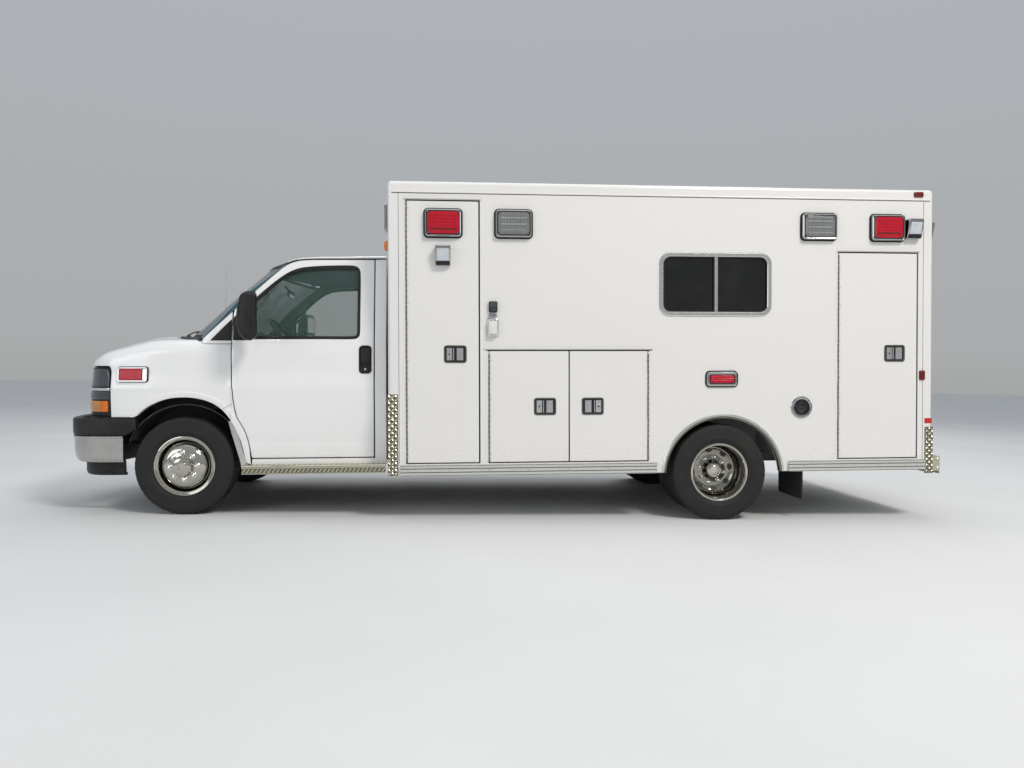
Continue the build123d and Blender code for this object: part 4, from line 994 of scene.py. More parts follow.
# rear wall: warning, scene and tail lamps
m, tl, fl = Mesh(), Mesh(), Mesh()
for s in (1, -1):
    def R(yc, zc, s=s):
        return lambda a, b, o: (BX0 - o, s * yc + a, zc + b)
    big_light(m, R(785, 2218), 290, 216, 42, 2)
    flood(fl, R(1060, 2209.5), 150, 149, 60)
    big_light(tl, R(810, 975), 200, 146, 30, 2)
m.done("rear_warning_lights", "body", "lamp", [CHROME_MID, RUBBER_AND_SHADE, RED, RED_DARK])
fl.done("rear_scene_lights", "body", "lamp", [CHROME_MID, PALE, BLACK])
tl.done("tail_lamps", "body", "lamp", [CHROME_MID, RUBBER_AND_SHADE, RED, RED_DARK])
m2 = Mesh()
for s in (1, -1):
    big_light(m2, (lambda s: lambda a, b, o: (BX0 - o, s * 1030 + a, 975 + b))(s), 200, 146, 30, 2)
lamps_amber = m2.done("turn_lamps", "body", "lamp", [CHROME_MID, RUBBER_AND_SHADE, AMBER, OPTIC])
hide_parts("box_lights")

# --- drip rails, hinge strips, latches --------------------------------------
def drip(out, x0, x1, z, s, bend=0.0):
    """Extruded rain channel above a door: flat flange and a lip that stands out."""
    prof = [(0.3, 3), (2.5, 3), (2.5, 8), (14, 10), (14, 20), (11.5, 20), (11.5, 13), (0.3, 12)]
    a = [(x0, s * (BY + o), z + u - 4) for o, u in prof]
    b = [(x1, s * (BY + o), z + u - 4) for o, u in prof]
    strip(out, a, b, 0, True)
    out.add(a, [tuple(range(len(a)))], 0)
    out.add(b, [tuple(range(len(b)))], 0)
    # dark strip on the wall just under the rail: painted shadow
    y0, y1 = sorted((s * (BY + 0.2), s * (BY + 1.0)))
    out.box(x0 + 12, x1 - 12, y0, y1, z - 8, z - 0.5, mat=1)


def paddle(out, P, w=167.0, h=130.0):
    """Flush paddle latch: bright frame, dark dish, paddle and lock. P(a, b, out).
    materials: 0 chrome, 1 dark dish, 2 black"""
    def R(ww, hh, r, da=0, db=0):
        return rrect(da, db, ww, hh, r, 5)
    def ring(rows, mat, cap=None):
        pts = [[P(a, b, z) for a, b in l] for l, z in rows]
        for i in range(len(pts) - 1):
            strip(out, pts[i], pts[i + 1], mat, True)
        if cap is not None:
            out.add(pts[-1], [tuple(range(len(pts[-1])))], cap)
    ring([(R(w, h, 20), 0.3), (R(w, h, 20), 3.2), (R(w - 5, h - 5, 18), 5.6), (R(w - 20, h - 20, 12), 5.6), (R(w - 25, h - 25, 9), 1.4)], 5, 2)

    def block(c0, c1, b0, b1, z0, z1, mat, e=2.0):
        a0, a1 = w / 2 - c1, w / 2 - c0
        lo = [(a0, b0), (a1, b0), (a1, b1), (a0, b1)]
        hi = [(a0 + e, b0 + e), (a1 - e, b0 + e), (a1 - e, b1 - e), (a0 + e, b1 - e)]
        A, B = [P(x, y, z0) for x, y in lo], [P(x, y, z1) for x, y in hi]
        strip(out, A, B, mat, True)
        out.add(B, [(0, 1, 2, 3)], mat)
    k = w / 167.0
    hb = h / 2 - 18
    # lock side, bright bar, finger slot, ribbed paddle
    block(18 * k, 62 * k, -hb, hb, 1.4, 5.0, 4)
    block(66 * k, 76 * k, -hb, hb, 1.4, 7.0, 0)
    block(92 * k, 144 * k, -hb, hb, 1.4, 4.6, 4)
    for i in range(5):
        block((95 + 10 * i) * k, (100 + 10 * i) * k, -hb + 4, hb - 4, 4.4, 6.2, 0, 1.2)
    ca = w / 2 - 40 * k
    for r0, z0_, r1, z1_, mt in ((12, 4.8, 11, 6.6, 0), (7, 6.5, 6.5, 6.9, 2)):
        c = [(ca + r0 * math.cos(i * math.pi / 9), r0 * math.sin(i * math.pi / 9)) for i in range(18)]
        c2 = [(ca + r1 * math.cos(i * math.pi / 9), r1 * math.sin(i * math.pi / 9)) for i in range(18)]
        ring([(c, z0_), (c2, z1_)], mt, mt)


LATCH = {
    "left_front_compartment_door": (380.0, 1248.5, 1), "left_middle_door_front": (-287.5, 857.5, 1), "left_middle_door_rear": (-648.0, 857.5, -1),
    "left_rear_compartment_door": (-3015.0, 1253.0, 1), "right_front_compartment_door": (380.0, 1248.5, 1),
    "side_entry_door": (-540.0, 1250.0, 1), "right_rear_compartment_door": (-3015.0, 1020.0, 1),
}
rails = Mesh()
for name, s, xf, xr, z0, z1, hinge, meet in SIDE_DOORS:
    if not meet:
        drip(rails, xr - 14, xf + 10, z1 + 5, s)
drip(rails, -1110, 165, 1282, 1)
# dark strips round each opening and beside the corner posts: painted shade of the shut gaps and grooves
for name, s, xf, xr, z0, z1, hinge, meet in SIDE_DOORS:
    y0, y1 = sorted((s * (BY + 0.15), s * (BY + 0.6)))
    if hinge == "front" and not meet:
        rails.box(xr - 3.2, xr, y0, y1, z0, z1, mat=1)
    rails.box(xr, xf, y0, y1, z0 - 3.0, z0, mat=1)
for s in (1, -1):
    y0, y1 = sorted((s * (BY + 0.15), s * (BY + 0.7)))
    for x in (794.0, -3246.0):
        rails.box(x - 1.4, x + 1.4, y0, y1, 436, 2434, mat=1)
rails.done("drip_rails_and_shade_lines", "body", "trim_aluminium", [BOXW, RUBBER_AND_SHADE], angle=25)

for name, s, xf, xr, z0, z1, hinge, meet in SIDE_DOORS:
    m = Mesh()
    lx, lz, d = LATCH[name]
    paddle(m, (lambda lx, lz, s, d: lambda a, b, o: (lx + a * d, s * (BY + o), lz + b))(lx, lz, s, d))
    # piano hinge: rolled knuckles over the plain barrel, with screw heads down the leaf
    hx = xf - 5 if hinge == "front" else xr + 5
    di = -1 if hinge == "front" else 1
    for z in np.arange(z0 + 60, z1 - 30, 140):
        c = [(hx + di * 14 + 4 * math.cos(i * math.pi / 4), s * (BY + 2.0), z + 4 * math.sin(i * math.pi / 4)) for i in range(8)]
        c2 = [(hx + di * 14 + 3 * math.cos(i * math.pi / 4), s * (BY + 3.6), z + 3 * math.sin(i * math.pi / 4)) for i in range(8)]
        strip(m, c, c2, 0, True)
        m.add(c2, [tuple(range(8))], 0)
    for z in np.arange(z0 + 12, z1 - 44, 40.0):
        m.lathe((hx, s * (BY + 4.0), z), (0, 0, 1), [(4.7, 0), (4.7, 35.0)], 10, 6)
    # dark strip behind the knuckles: painted shadow of the hinge
    y0, y1 = sorted((s * (BY + 2.05), s * (BY + 2.5)))
    m.box(hx - 6.0, hx + 6.0, y0, y1, z0 + 10, z1 - 10, mat=3)
    # dark rubber edge just inside the leaf's gap, set forward so that it also paints the shade in the gap
    y0, y1 = sorted((s * (BY - 44), s * (BY - 2.0)))
    gf = 10.0 if hinge == "front" else (5.0 if meet else 8.0)
    gr = 10.0 if hinge == "rear" else (5.0 if meet else 8.0)
    a0, a1, b0, b1 = xr + gr, xf - gf, z0 + 6, z1 - 6
    w = 3.2
    for q in ((a0 - w, a0, b0 - w, b1 + w), (a1, a1 + w, b0 - w, b1 + w), (a0, a1, b0 - w, b0), (a0, a1, b1, b1 + w)):
        m.box(q[0], q[1], y0, y1, q[2], q[3], mat=3)
    # depths of a flange on the inner face, which is not drawn
    yi0, yi1 = sorted((s * (BY - 62), s * (BY - 50)))
    m.done("hardware_" + name, name, "lamp", [CHROME, SMOKE, BLACK, RUBBER_AND_SHADE, CHROME_SOFT, CHROME_DARK, DARK_STEEL_AND_SHADE])

# rear doors: chrome pull bars, latch, dark strips in the door gaps as painted shade, window frame
for s in (1, -1):
    name = "rear_door_left" if s > 0 else "rear_door_right"
    m = Mesh()
    ya = s * 75.0
    m.path([(BX0 - 2, ya, 1010), (BX0 - 38, ya, 1022), (BX0 - 46, ya, 1045), (BX0 - 46, ya, 1300), (BX0 - 38, ya, 1323), (BX0 - 2, ya, 1335)], 10, 12, 0)
    for z in (1008, 1337):
        m.lathe((BX0 - 0.5, ya, z), (-1, 0, 0), [(24, 0), (24, 3), (20, 6), (11, 8)], 20, 0)
    paddle(m, (lambda s: lambda a, b, o: (BX0 - o, s * 160 + a, 1170 + b))(s), 150, 130)
    # dark strips in the gap round the door: painted shade
    w = 3.2
    a0, a1 = sorted((s * 5, s * 610))
    for q in ((a0 - w, a0, 706 - w, 2284 + w), (a1, a1 + w, 706 - w, 2284 + w), (a0, a1, 706 - w, 706), (a0, a1, 2284, 2284 + w)):
        m.box(BX0 + 14, BX0 + 44, q[0], q[1], q[2], q[3], mat=3)
    # window frame
    P = (lambda s: lambda a, b, o: (BX0 - o, s * 325 + a, 1790 + b))(s)
    for w0, h0, d0 in ((350, 580, 0),):
        rows = [(rrect(0, 0, w0 + 46, h0 + 46, 40), 0.3), (rrect(0, 0, w0 + 46, h0 + 46, 40), 4), (rrect(0, 0, w0 + 38, h0 + 38, 38), 7),
                (rrect(0, 0, w0 + 4, h0 + 4, 24), 7), (rrect(0, 0, w0 - 6, h0 - 6, 20), 3), (rrect(0, 0, w0 - 6, h0 - 6, 20), -15)]
        pts = [[P(a, b, o) for a, b in l] for l, o in rows]
        for i in range(len(pts) - 1):
            strip(m, pts[i], pts[i + 1], 4, True)
    m.done("hardware_" + name, name, "lamp", [CHROME, SMOKE, BLACK, RUBBER_AND_SHADE, ALU, CHROME_DARK])

# side window of the box and the entry door's window: bright frame, rubber, slider bars
def window_frame(out, P, w, h, r, slider):
    def ring(rows, mat):
        pts = [[P(a, b, o) for a, b in rrect(0, 0, ww, hh, rr, 8)] for ww, hh, rr, o in rows]
        for i in range(len(pts) - 1):
            strip(out, pts[i], pts[i + 1], mat, True)
    ring([(w + 8, h + 8, r + 8, 0.3), (w + 8, h + 8, r + 8, 3.5), (w, h, r, 7.5), (w - 12, h - 12, r - 3, 8.5), (w - 52, h - 52, r - 20, 8.5),
          (w - 60, h - 60, r - 24, 5), (w - 62, h - 62, r - 25, -12)], 0)
    ring([(w - 62, h - 62, r - 25, 2.0), (w - 72, h - 72, r - 30, 1.0), (w - 78, h - 78, r - 32, -6), (w - 78, h - 78, r - 32, -14)], 1)
    if slider:
        for q0, q1, q2, q3, o0, o1, mt in ((-16, 8, -h / 2 + 32, h / 2 - 32, -13, 2.5, 0), (8, 16, -h / 2 + 36, h / 2 - 36, -13, 0, 1)):
            v = [P(a, b, o) for a in (q0, q1) for o in (o0, o1) for b in (q2, q3)]
            out.add(v, [(0, 1, 3, 2), (4, 6, 7, 5), (0, 4, 5, 1), (2, 3, 7, 6), (0, 2, 6, 4), (1, 5, 7, 3)], mt)


m = Mesh()
window_frame(m, side_P(-1593, 1776.5), 868, 479, 80, True)
m.done("side_window_frame", "body", "trim_aluminium", [ALU, RUBBER_AND_SHADE])
m = Mesh()
window_frame(m, side_P(-255, 1776.5, -1), 390 + 40, 479 + 40, 60, False)
m.done("entry_window_frame", "side_entry_door", "trim_aluminium", [ALU, RUBBER_AND_SHADE])

# wheel arch trims of the box: aluminium outside, the inner face and its return into the arch in dark steel as painted
# shade
for s in (1, -1):
    m = Mesh()
    cx, cz = -1655.0, 313.0
    def arc(r, o, n=48):
        a0 = math.asin((BZ0 + 0 - cz) / r)
        return [(cx + r * math.cos(a0 + (math.pi - 2 * a0) * i / n), s * (BY + o), cz + r * math.sin(a0 + (math.pi - 2 * a0) * i / n)) for i in range(n + 1)]
    rows = [(479, 0.3), (479, 5), (475, 8.5), (468, 9.5), (464, 9.0), (455, 5.5), (449.5, 4.5), (446.5, 2), (446.5, -30)]
    pts = [arc(r, o) for r, o in rows]
    for i in range(len(pts) - 1):
        strip(m, pts[i], pts[i + 1], 0 if i < 4 else 1)
    ends = [[p[0] for p in pts], [p[-1] for p in pts]]
    for e in ends:
        m.add(e, [tuple(range(len(e)))], 0)
    m.done("arch_trim_" + ("left" if s > 0 else "right"), "body", "trim_aluminium", [ALU, DARK_STEEL_AND_SHADE])

# fascia line of the body shell: a shallow extrusion bead under the roof
m = Mesh()
for s in (1, -1):
    for x in (813.0, -3262.0):
        pass
    # fascia bead under the roof, and a dark strip under it as painted shadow
    prof = [(0.3, -6), (5, -5), (7, 0), (5, 5), (0.3, 6)]
    for z in (2440.0,):
        a = [(BX0 + 34, s * (BY + o), z + u) for o, u in prof]
        b = [(BX1 - 34, s * (BY + o), z + u) for o, u in prof]
        strip(m, a, b, 0)
        y0, y1 = sorted((s * (BY + 0.2), s * (BY + 1.2)))
        m.box(BX0 + 34, BX1 - 34, y0, y1, z - 11, z - 5.5, mat=1)
m.done("fascia_bead", "body", "box_paint", [BOXW, DARK_STEEL_AND_SHADE])

# fuel filler: cast bezel with a black cap in a dish
m = Mesh()
P0 = (-2271.0, BY, 840.0)
m.lathe(P0, (0, 1, 0), [(84, 0.3), (84, 5), (80, 9), (68, 10), (63, 8), (60, 1.4)], 48, 0, caps=False)
m.lathe(P0, (0, 1, 0), [(61, 1.6), (0.2, 0.9)], 48, 1, caps=False)
m.lathe(P0, (0, 1, 0), [(43, 0.9), (43, 5), (40, 8), (30, 9), (0.2, 9)], 36, 2, caps=False)
m.box(P0[0] - 30, P0[0] + 30, BY + 8, BY + 15, P0[2] - 7, P0[2] + 7, 3, mat=2)
m.path([(P0[0] - 44, BY + 4, P0[2] - 10), (P0[0] - 50, BY + 6, P0[2] - 34), (P0[0] - 30, BY + 6, P0[2] - 48)], 3.0, 8, 1)
for k in range(4):
    t = math.pi / 4 + k * math.pi / 2
    m.lathe((P0[0] + 73 * math.cos(t), BY + 9.4, P0[2] + 73 * math.sin(t)), (0, 1, 0), [(4.5, 0), (4, 2.2)], 10, 2)
m.done("fuel_filler", "body", "trim_aluminium", [CHROME_MID, BLACK, BLACK_GLOSS])

# small meter box and shore power inlet by the middle doors
m = Mesh()
m.box(68, 131, BY + 0.3, BY + 26, 1560, 1638, 6, mat=0)
m.box(75, 124, BY + 24, BY + 28, 1592, 1630, 2, mat=2)
m.box(82, 117, BY + 24, BY + 27.5, 1568, 1584, 2, mat=2)
m.box(70, 134, BY + 0.3, BY + 14, 1518, 1556, 3, mat=3)
for k in range(3):
    m.box(74, 130, BY + 13.5, BY + 15.5, 1524 + 10 * k, 1529 + 10 * k, 1, mat=2)
m.box(60, 144, BY + 0.3, BY + 10, 1376, 1514, 6, mat=3)
m.box(67, 137, BY + 9, BY + 34, 1383, 1507, 9, mat=1)
m.box(70, 134, BY + 32, BY + 36, 1387, 1503, 7, mat=1)
for xx, zz in ((82, 1396), (122, 1396), (90, 1494), (114, 1494)):
    m.box(xx - 6, xx + 6, BY + 35, BY + 37.5, zz - 2.5, zz + 2.5, 1, mat=2)
m.box(88, 116, BY + 34, BY + 41, 1389, 1393, 1.5, mat=3)
m.done("shore_power", "body", "black_plastic", [BLACK, WHITE_LENS, SMOKE, CHROME_SOFT])

# red safety stripe ahead of the rear corner, in two pieces
m = Mesh()
for s in (1, -1):
    for k, (a, b) in enumerate(((-3263, -3298), (-3298, -3322))):
        y0, y1 = sorted((s * (BY + 0.4), s * (BY + 1.2)))
        m.box(min(a, b), max(a, b), y0, y1, 709, 749, mat=0)
m.done("safety_stripe", "body", "lamp", [STRIPE, WHITE_LENS])

# tread plate relief: corner guards, step, running boards
m = Mesh()
for s in (1, -1):
    y0, y1 = sorted((s * (BY + 3.05), s * (BY + 3.45)))
    # dark plates behind the corner guards' diamonds: painted shade between the raised diamonds, with grime
    m.box(802.0, 877.0, y0, y1, 352.5, 951.5, mat=1)
    m.box(-3330.0, -3264.0, y0, y1, 320.5, 680.5, mat=1)
    diamond(m, (lambda s: lambda a, b, o: (803 + a, s * (BY + 3.4 + o), 355 + b))(s), 73, 594, 24, 29, 2.4, 9)
    diamond(m, (lambda s: lambda a, b, o: (BX1 + 3 + o, s * (BY - 95) + s * a, 355 + b))(s), 92, 594, 34, 25, 2.2, 8)
    diamond(m, (lambda s: lambda a, b, o: (-3329 + a, s * (BY + 3.4 + o), 323 + b))(s), 64, 355, 21, 26, 2.4, 8)
    diamond(m, (lambda s: lambda a, b, o: (BX0 - 3 - o, s * (BY - 55) + s * a, 323 + b))(s), 56, 355, 28, 22, 2.2, 8)
    diamond(m, (lambda s: lambda a, b, o: (903 + a, s * (905 + b), 427.5 + o))(s), 1046, 195, 38, 28, 2.2, 9)
    diamond(m, (lambda s: lambda a, b, o: (-3428 - o, s * (505 + a), 313 + b))(s), 640, 128, 36, 27, 2.2, 9)
    diamond(m, (lambda s: lambda a, b, o: (-3426 + a, s * (1150 + o), 333 + b))(s), 88, 108, 32, 25, 2.2, 8)
diamond(m, lambda a, b, o: (-3426 + a, -1146 + b, 445 + o), 86, 2292, 40, 29, 2.2, 9)
m.done("tread_relief", "body", "trim_aluminium", [TREAD, TREAD_SHADE_AND_GRIME], angle=20)

# running boards: plain rolled nosing, a face darkened by painted shade and grime behind bright slanting bars, open
# underneath
m = Mesh()
for s in (1, -1):
    prof = [(900, 427), (1092, 427), (1100, 425.5), (1105, 421), (1107, 414), (1107, 409), (1103, 407), (1102, 404), (1102, 371), (1104, 368), (1104, 364),
            (1099, 362), (1088, 362), (1088, 366), (1096, 368), (1096, 404), (1090, 412), (900, 423)]
    x0, x1 = 903.0, 1956.0
    for k in range(len(prof)):
        (ya, za), (yb, zb_) = prof[k], prof[(k + 1) % len(prof)]
        face = k in (7,)
        strip(m, [(x, s * ya, za) for x in (x0, x1)], [(x, s * yb, zb_) for x in (x0, x1)], 1 if face else 0)
    for x in (x0, x1):
        m.add([(x, s * y, z) for y, z in prof], [tuple(range(len(prof)))], 0)
    # slanting bars
    n_ = 34
    for i in range(n_):
        xc = x0 + (i + 0.5) * (x1 - x0) / n_
        v = []
        for a, b, o in ((3, -15, 0), (18, -15, 0), (-3, 15, 0), (-18, 15, 0), (6, -13, 3.0), (14, -13, 3.0), (-6, 13, 3.0), (-14, 13, 3.0)):
            v.append((xc + a, s * (1102 + o), 387.5 + b))
        m.add(v, [(0, 1, 5, 4), (1, 2, 6, 5), (2, 3, 7, 6), (3, 0, 4, 7), (4, 5, 6, 7)], 0)
    # brackets to the frame
    for x in (1010.0, 1400.0, 1790.0):
        m.box(x - 20, x + 20, min(s * 560, s * 1080), max(s * 560, s * 1080), 398, 421, 3, 2)
o = m.done("running_boards_visual", "body", "trim_aluminium", [TREAD, TREAD_SHADE_AND_GRIME, BLACK_FRAME], angle=24)
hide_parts("running_boards")

# dark strips in the rub rail grooves and along the rails' edges as painted shade, and bolt heads along the rails
m = Mesh()
for s in (1, -1):
    # dark strips in the two grooves and along the rails' top and bottom edges: painted shade
    for xa, xb in ((-1137.0, 786.0), (-3258.0, -2166.0)):
        for za, zb_, o in ((373.2, 379.8, 16.1), (400.2, 406.8, 16.1)):
            y0, y1 = sorted((s * (BY + o), s * (BY + o + 0.5)))
            m.box(xa, xb, y0, y1, za, zb_, mat=1)
        y0, y1 = sorted((s * (BY + 22.05), s * (BY + 22.5)))
        m.box(xa, xb, y0, y1, 423.5, 427.5, mat=1)
        m.box(xa, xb, y0, y1, 351.5, 355.5, mat=1)
    for xa, xb in ((-1137.0, 786.0), (-3258.0, -2166.0)):
        for x in np.arange(xa + 70, xb - 40, 300):
            m.lathe((x, s * (BY + 22 - 9 + 0.5), 390), (0, s, 0), [(0.5, 8.8), (5, 8.8), (6.5, 9.6), (5, 11.2), (0.5, 11.8)], 12, 0)
m.done("rail_bolts_and_groove_shade", "body", "trim_aluminium", [CHROME_SOFT, DARK_STEEL_AND_SHADE])


# ================================================================ wheels and tyres
AXLE_F, AXLE_R, ZC = 2413.0, -1626.0, 366.0
TRACK_F, DUAL_IN, DUAL_OUT = 870.0, 828.0, 1090.0


def tyre(out, ax, ym, s, seg=216):
    """Road tyre: ribs, shoulder lugs, rounded sidewall with plain raised bands."""
    half = []                                  # (y, radius, kind) from the middle outwards; kind 1 = lug area
    def crown(y):
        return 366.0 - 4.5 * (y / 92.0) ** 2
    marks = [0, 13, 13.5, 22, 22.5, 46, 46.5, 55, 55.5, 60, 75, 88, 95]
    for y in marks:
        groove = 13.4 < y < 22.2 or 46.4 < y < 55.2
        half.append((y, crown(y) - (9 if groove else 0), 1 if y > 56 else (2 if y < 47 and not groove else 0)))
    half += [(101, 356, 1), (105, 347, 1), (107.5, 338, 0), (109.5, 330, 0), (111, 329, 0), (111.6, 322, 0), (110.4, 320, 0),
             (112.0, 300, 0), (112.4, 288, 0), (111.6, 272, 0), (112.2, 268, 0), (111.8, 256, 0), (108.6, 252, 0),
             (104, 240, 0), (99, 232, 0), (97, 231, 0), (93, 226, 0), (86, 219, 0), (79, 214.6, 0)]
    prof = [(-y, r, k) for y, r, k in reversed(half)] + half[1:]
    n = len(prof)
    v = []
    for i in range(seg):
        a = 2 * math.pi * i / seg
        low = i % 4 == 0
        for y, r, k in prof:
            rr = r
            sk = i
            if k == 1:
                off = 2 if y > 0 else 0
                rr = r - (2.4 if (i + off) % 4 == 0 else 0)
            elif k == 2 and abs(y) > 12:
                off = 1 if y > 0 else 3
                rr = r - (3.0 if (i + off) % 4 == 0 else 0)
            v.append((ax + rr * math.sin(a), ym + s * y, ZC + rr * math.cos(a)))
    f = []
    for i in range(seg):
        j = (i + 1) % seg
        for k in range(n - 1):
            f.append((i * n + k, i * n + k + 1, j * n + k + 1, j * n + k))
    out.add(v, f, 0)


def lugs(out, ax, y0, s, r, n, size, height, mat=0, turn=0.0):
    for k in range(n):
        t = turn + 2 * math.pi * k / n
        c = (ax + r * math.sin(t), y0, ZC + r * math.cos(t))
        out.lathe(c, (0, s, 0), [(size * 1.35, -2), (size * 1.35, 1.5), (size * 1.15, 4), (size, 4.5), (size, height * 0.62), (size * 0.86, height * 0.85),
                                 (size * 0.5, height), (0.2, height)], 12, mat)


FRONT_COVER = [(226, 84), (226, 92), (223, 96.5), (218, 98), (213, 96.5), (210, 91.5), (204, 89.5), (201, 92.5), (197, 93), (193, 88), (187, 74),
               (180, 56), (175, 51), (169, 53), (167.5, 78), (165.5, 90), (160, 99), (150, 109), (138, 116), (126, 121), (118, 123), (84, 124),
               (79, 127), (74, 138), (70, 154), (66, 163), (58, 167.5), (34, 169), (31, 171), (25, 171), (23, 163), (6, 163)]
REAR_COVER = [(226, 84), (226, 92), (222, 97), (214, 98), (206, 94), (202, 86), (200, 60), (197, 10), (192, -40), (186, -62), (176, -78),
              (170, -79), (164, -84), (152, -92), (132, -97), (118, -96), (82, -96), (74, -92), (68, -80), (64, -45), (60, -30), (52, -21), (36, -18),
              (33, -16), (26, -16), (24, -24), (6, -24)]

for s, tag in ((1, "left"), (-1, "right")):
    m = Mesh(row=True)
    tyre(m, AXLE_F, s * TRACK_F, s)
    o = m.done("tyre_front_" + tag, "front_wheel_" + tag, "tyre", TYRE, angle=24)
    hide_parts("front_tyre_" + tag)
    m = Mesh(row=True)
    c = (AXLE_F, s * TRACK_F, ZC)
    m.lathe(c, (0, s, 0), FRONT_COVER + [(0.2, 163)], 96, 0, caps=False)
    lugs(m, AXLE_F, s * (TRACK_F + 124), s, 100, 8, 14.5, 30, 3, math.radians(4))
    # darker chrome in the trough between rim and dome: painted dark reflection
    m.lathe(c, (0, s, 0), [(190, 84), (186, 76), (180, 62), (175, 57), (170, 58), (168.6, 76)], 96, 4, caps=False)
    # rim behind the cover
    m.lathe(c, (0, s, 0), [(214, 84), (205, 80), (196, 70), (190, 30), (190, -66), (205, -80), (214, -84), (222, -84), (222, -88), (210, -88), (196, -74),
                           (184, -60), (184, -10), (110, 10), (75, -8), (75, -34), (31, -34)], 64, 1, caps=False)
    # black faces for the slots in the ring between rim and dome: painted shade of the openings
    for k in range(8):
        t = math.radians(26.5) + k * math.pi / 4
        p = [(181.5, 57.5, d) for d in (-9, -6, 6, 9)]
        loop = []
        for dr, da in ((3.5, -10), (4.5, 0), (3.5, 10), (-3.5, 9), (-4.5, 0), (-3.5, -9)):
            r = 181 + dr
            a = t + math.radians(da * 0.55)
            y = 58.5 + dr * 2.6 + 0.8
            loop.append((AXLE_F + r * math.sin(a), s * (TRACK_F + y), ZC + r * math.cos(a)))
        m.add(loop, [tuple(range(6))], 2)
    o = m.done("wheel_front_" + tag, "front_wheel_" + tag, "wheel_chrome", [WHEEL, IRON, BLACK_FRAME, CHROME, CHROME_DARK], angle=30)
    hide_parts("front_rim_" + tag)

    m = Mesh(row=True)
    tyre(m, AXLE_R, s * DUAL_OUT, s)
    tyre(m, AXLE_R, s * DUAL_IN, -s)
    o = m.done("tyres_rear_" + tag, "rear_wheels_" + tag, "tyre", TYRE, angle=24)
    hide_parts("rear_tyres_" + tag)
    m = Mesh(row=True)
    c = (AXLE_R, s * DUAL_OUT, ZC)
    # bright ring, darker disc deep inside as painted reflection of the ground, bright hub
    m.lathe(c, (0, s, 0), REAR_COVER[:9], 96, 0, caps=False)
    m.lathe(c, (0, s, 0), REAR_COVER[8:21], 96, 4, caps=False)
    m.lathe(c, (0, s, 0), REAR_COVER[20:] + [(0.2, -24)], 96, 0, caps=False)
    lugs(m, AXLE_R, s * (DUAL_OUT - 96), s, 100, 8, 13.5, 25, 3, math.radians(-12))
    # hand holes: rolled lips round black faces that stand for the openings (painted shade)
    for k in range(8):
        t = math.radians(8) + k * math.pi / 4
        def hole(ra, rb, up, n=20):
            l = []
            for i in range(n):
                q = 2 * math.pi * i / n
                dr, da = rb * math.cos(q), ra * math.sin(q)
                r = 149 + dr
                a = t + da / 149.0
                y = np.interp(r, [118, 132, 152, 164, 176], [-96, -97, -92, -84, -78]) + up
                l.append((AXLE_R + r * math.sin(a), s * (DUAL_OUT + y), ZC + r * math.cos(a)))
            return l
        A, B, C, D = hole(29, 18, 0.2), hole(27, 16.5, 3.2), hole(24, 14.5, 2.6), hole(23, 13.5, 0.5)
        strip(m, A, B, 4, True)
        strip(m, B, C, 4, True)
        strip(m, C, D, 4, True)
        m.add(D, [tuple(range(20))], 2)
    for q in (DUAL_OUT, DUAL_IN):
        cc = (AXLE_R, s * q, ZC)
        m.lathe(cc, (0, s, 0), [(214, 82), (204, 78), (198, 60), (198, -60), (204, -78), (214, -84), (222, -86), (222, -90), (208, -88), (192, -70),
                                (188, -20)], 64, 1, caps=False)
    m.lathe((AXLE_R, s * DUAL_IN, ZC), (0, s, 0), [(190, -20), (180, 50), (150, 104), (90, 108), (44, 108)], 48, 1, caps=False)
    m.lathe((AXLE_R, s * DUAL_OUT, ZC), (0, s, 0), [(188, -60), (170, -104), (150, -118), (90, -122), (44, -122)], 48, 1, caps=False)
    o = m.done("wheels_rear_" + tag, "rear_wheels_" + tag, "wheel_chrome", [WHEEL, IRON, BLACK_FRAME, CHROME, WHEEL_DISC], angle=30)
    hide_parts("rear_rims_" + tag)

# splash guard plates behind the front wheels: a flange facing outwards and a return inwards
m = Mesh()
for s in (1, -1):
    front = spline([(2078, 750), (2066, 700), (2043, 620), (2014, 522), (1988, 430), (1980, 372)], step=24)
    rear = spline([(2060, 752), (2032, 705), (2000, 622), (1972, 524), (1948, 438), (1944, 372)], step=24)
    k = min(len(front), len(rear))
    A = [front[int(round(i * (len(front) - 1) / (k - 1)))] for i in range(k)]
    B = [rear[int(round(i * (len(rear) - 1) / (k - 1)))] for i in range(k)]
    ys = [lambda i: 984.0 + 8.0 * i / k][0]
    for q, mat in ((0.0, 0), (-3.0, 0)):
        strip(m, [(a[0], s * (ys(i) + q), a[1]) for i, a in enumerate(A)], [(b[0], s * (ys(i) + q - 2), b[1]) for i, b in enumerate(B)], mat)
    strip(m, [(a[0], s * ys(i), a[1]) for i, a in enumerate(A)], [(a[0], s * (ys(i) - 3), a[1]) for i, a in enumerate(A)], 0)
    strip(m, [(a[0], s * ys(i), a[1]) for i, a in enumerate(A)], [(a[0] - 2, s * 880.0, a[1]) for i, a in enumerate(A)], 0)
    strip(m, [(a[0] - 3, s * (ys(i) - 3), a[1]) for i, a in enumerate(A)], [(a[0] - 5, s * 880.0, a[1]) for i, a in enumerate(A)], 0)
m.done("splash_plates", "body", "trim_aluminium", ALU)


# ================================================================ cab surfaces
def lerp(a, b, t):
    return a + (b - a) * t


def sstep(t):
    t = max(0.0, min(1.0, t))
    return t * t * (3 - 2 * t)


SIDE_Z = [425, 470, 578, 590, 604, 622, 800, 988, 1000, 1088, 1104, 1370]
SIDE_Y = [1010, 1009, 1000.5, 996.5, 997.0, 998.5, 1005, 1013, 1012.5, 1001, 998.5, 985]
PRESS = (1104.0, 1088.0, 1000.0, 988.0, 604.0, 590.0, 578.0)


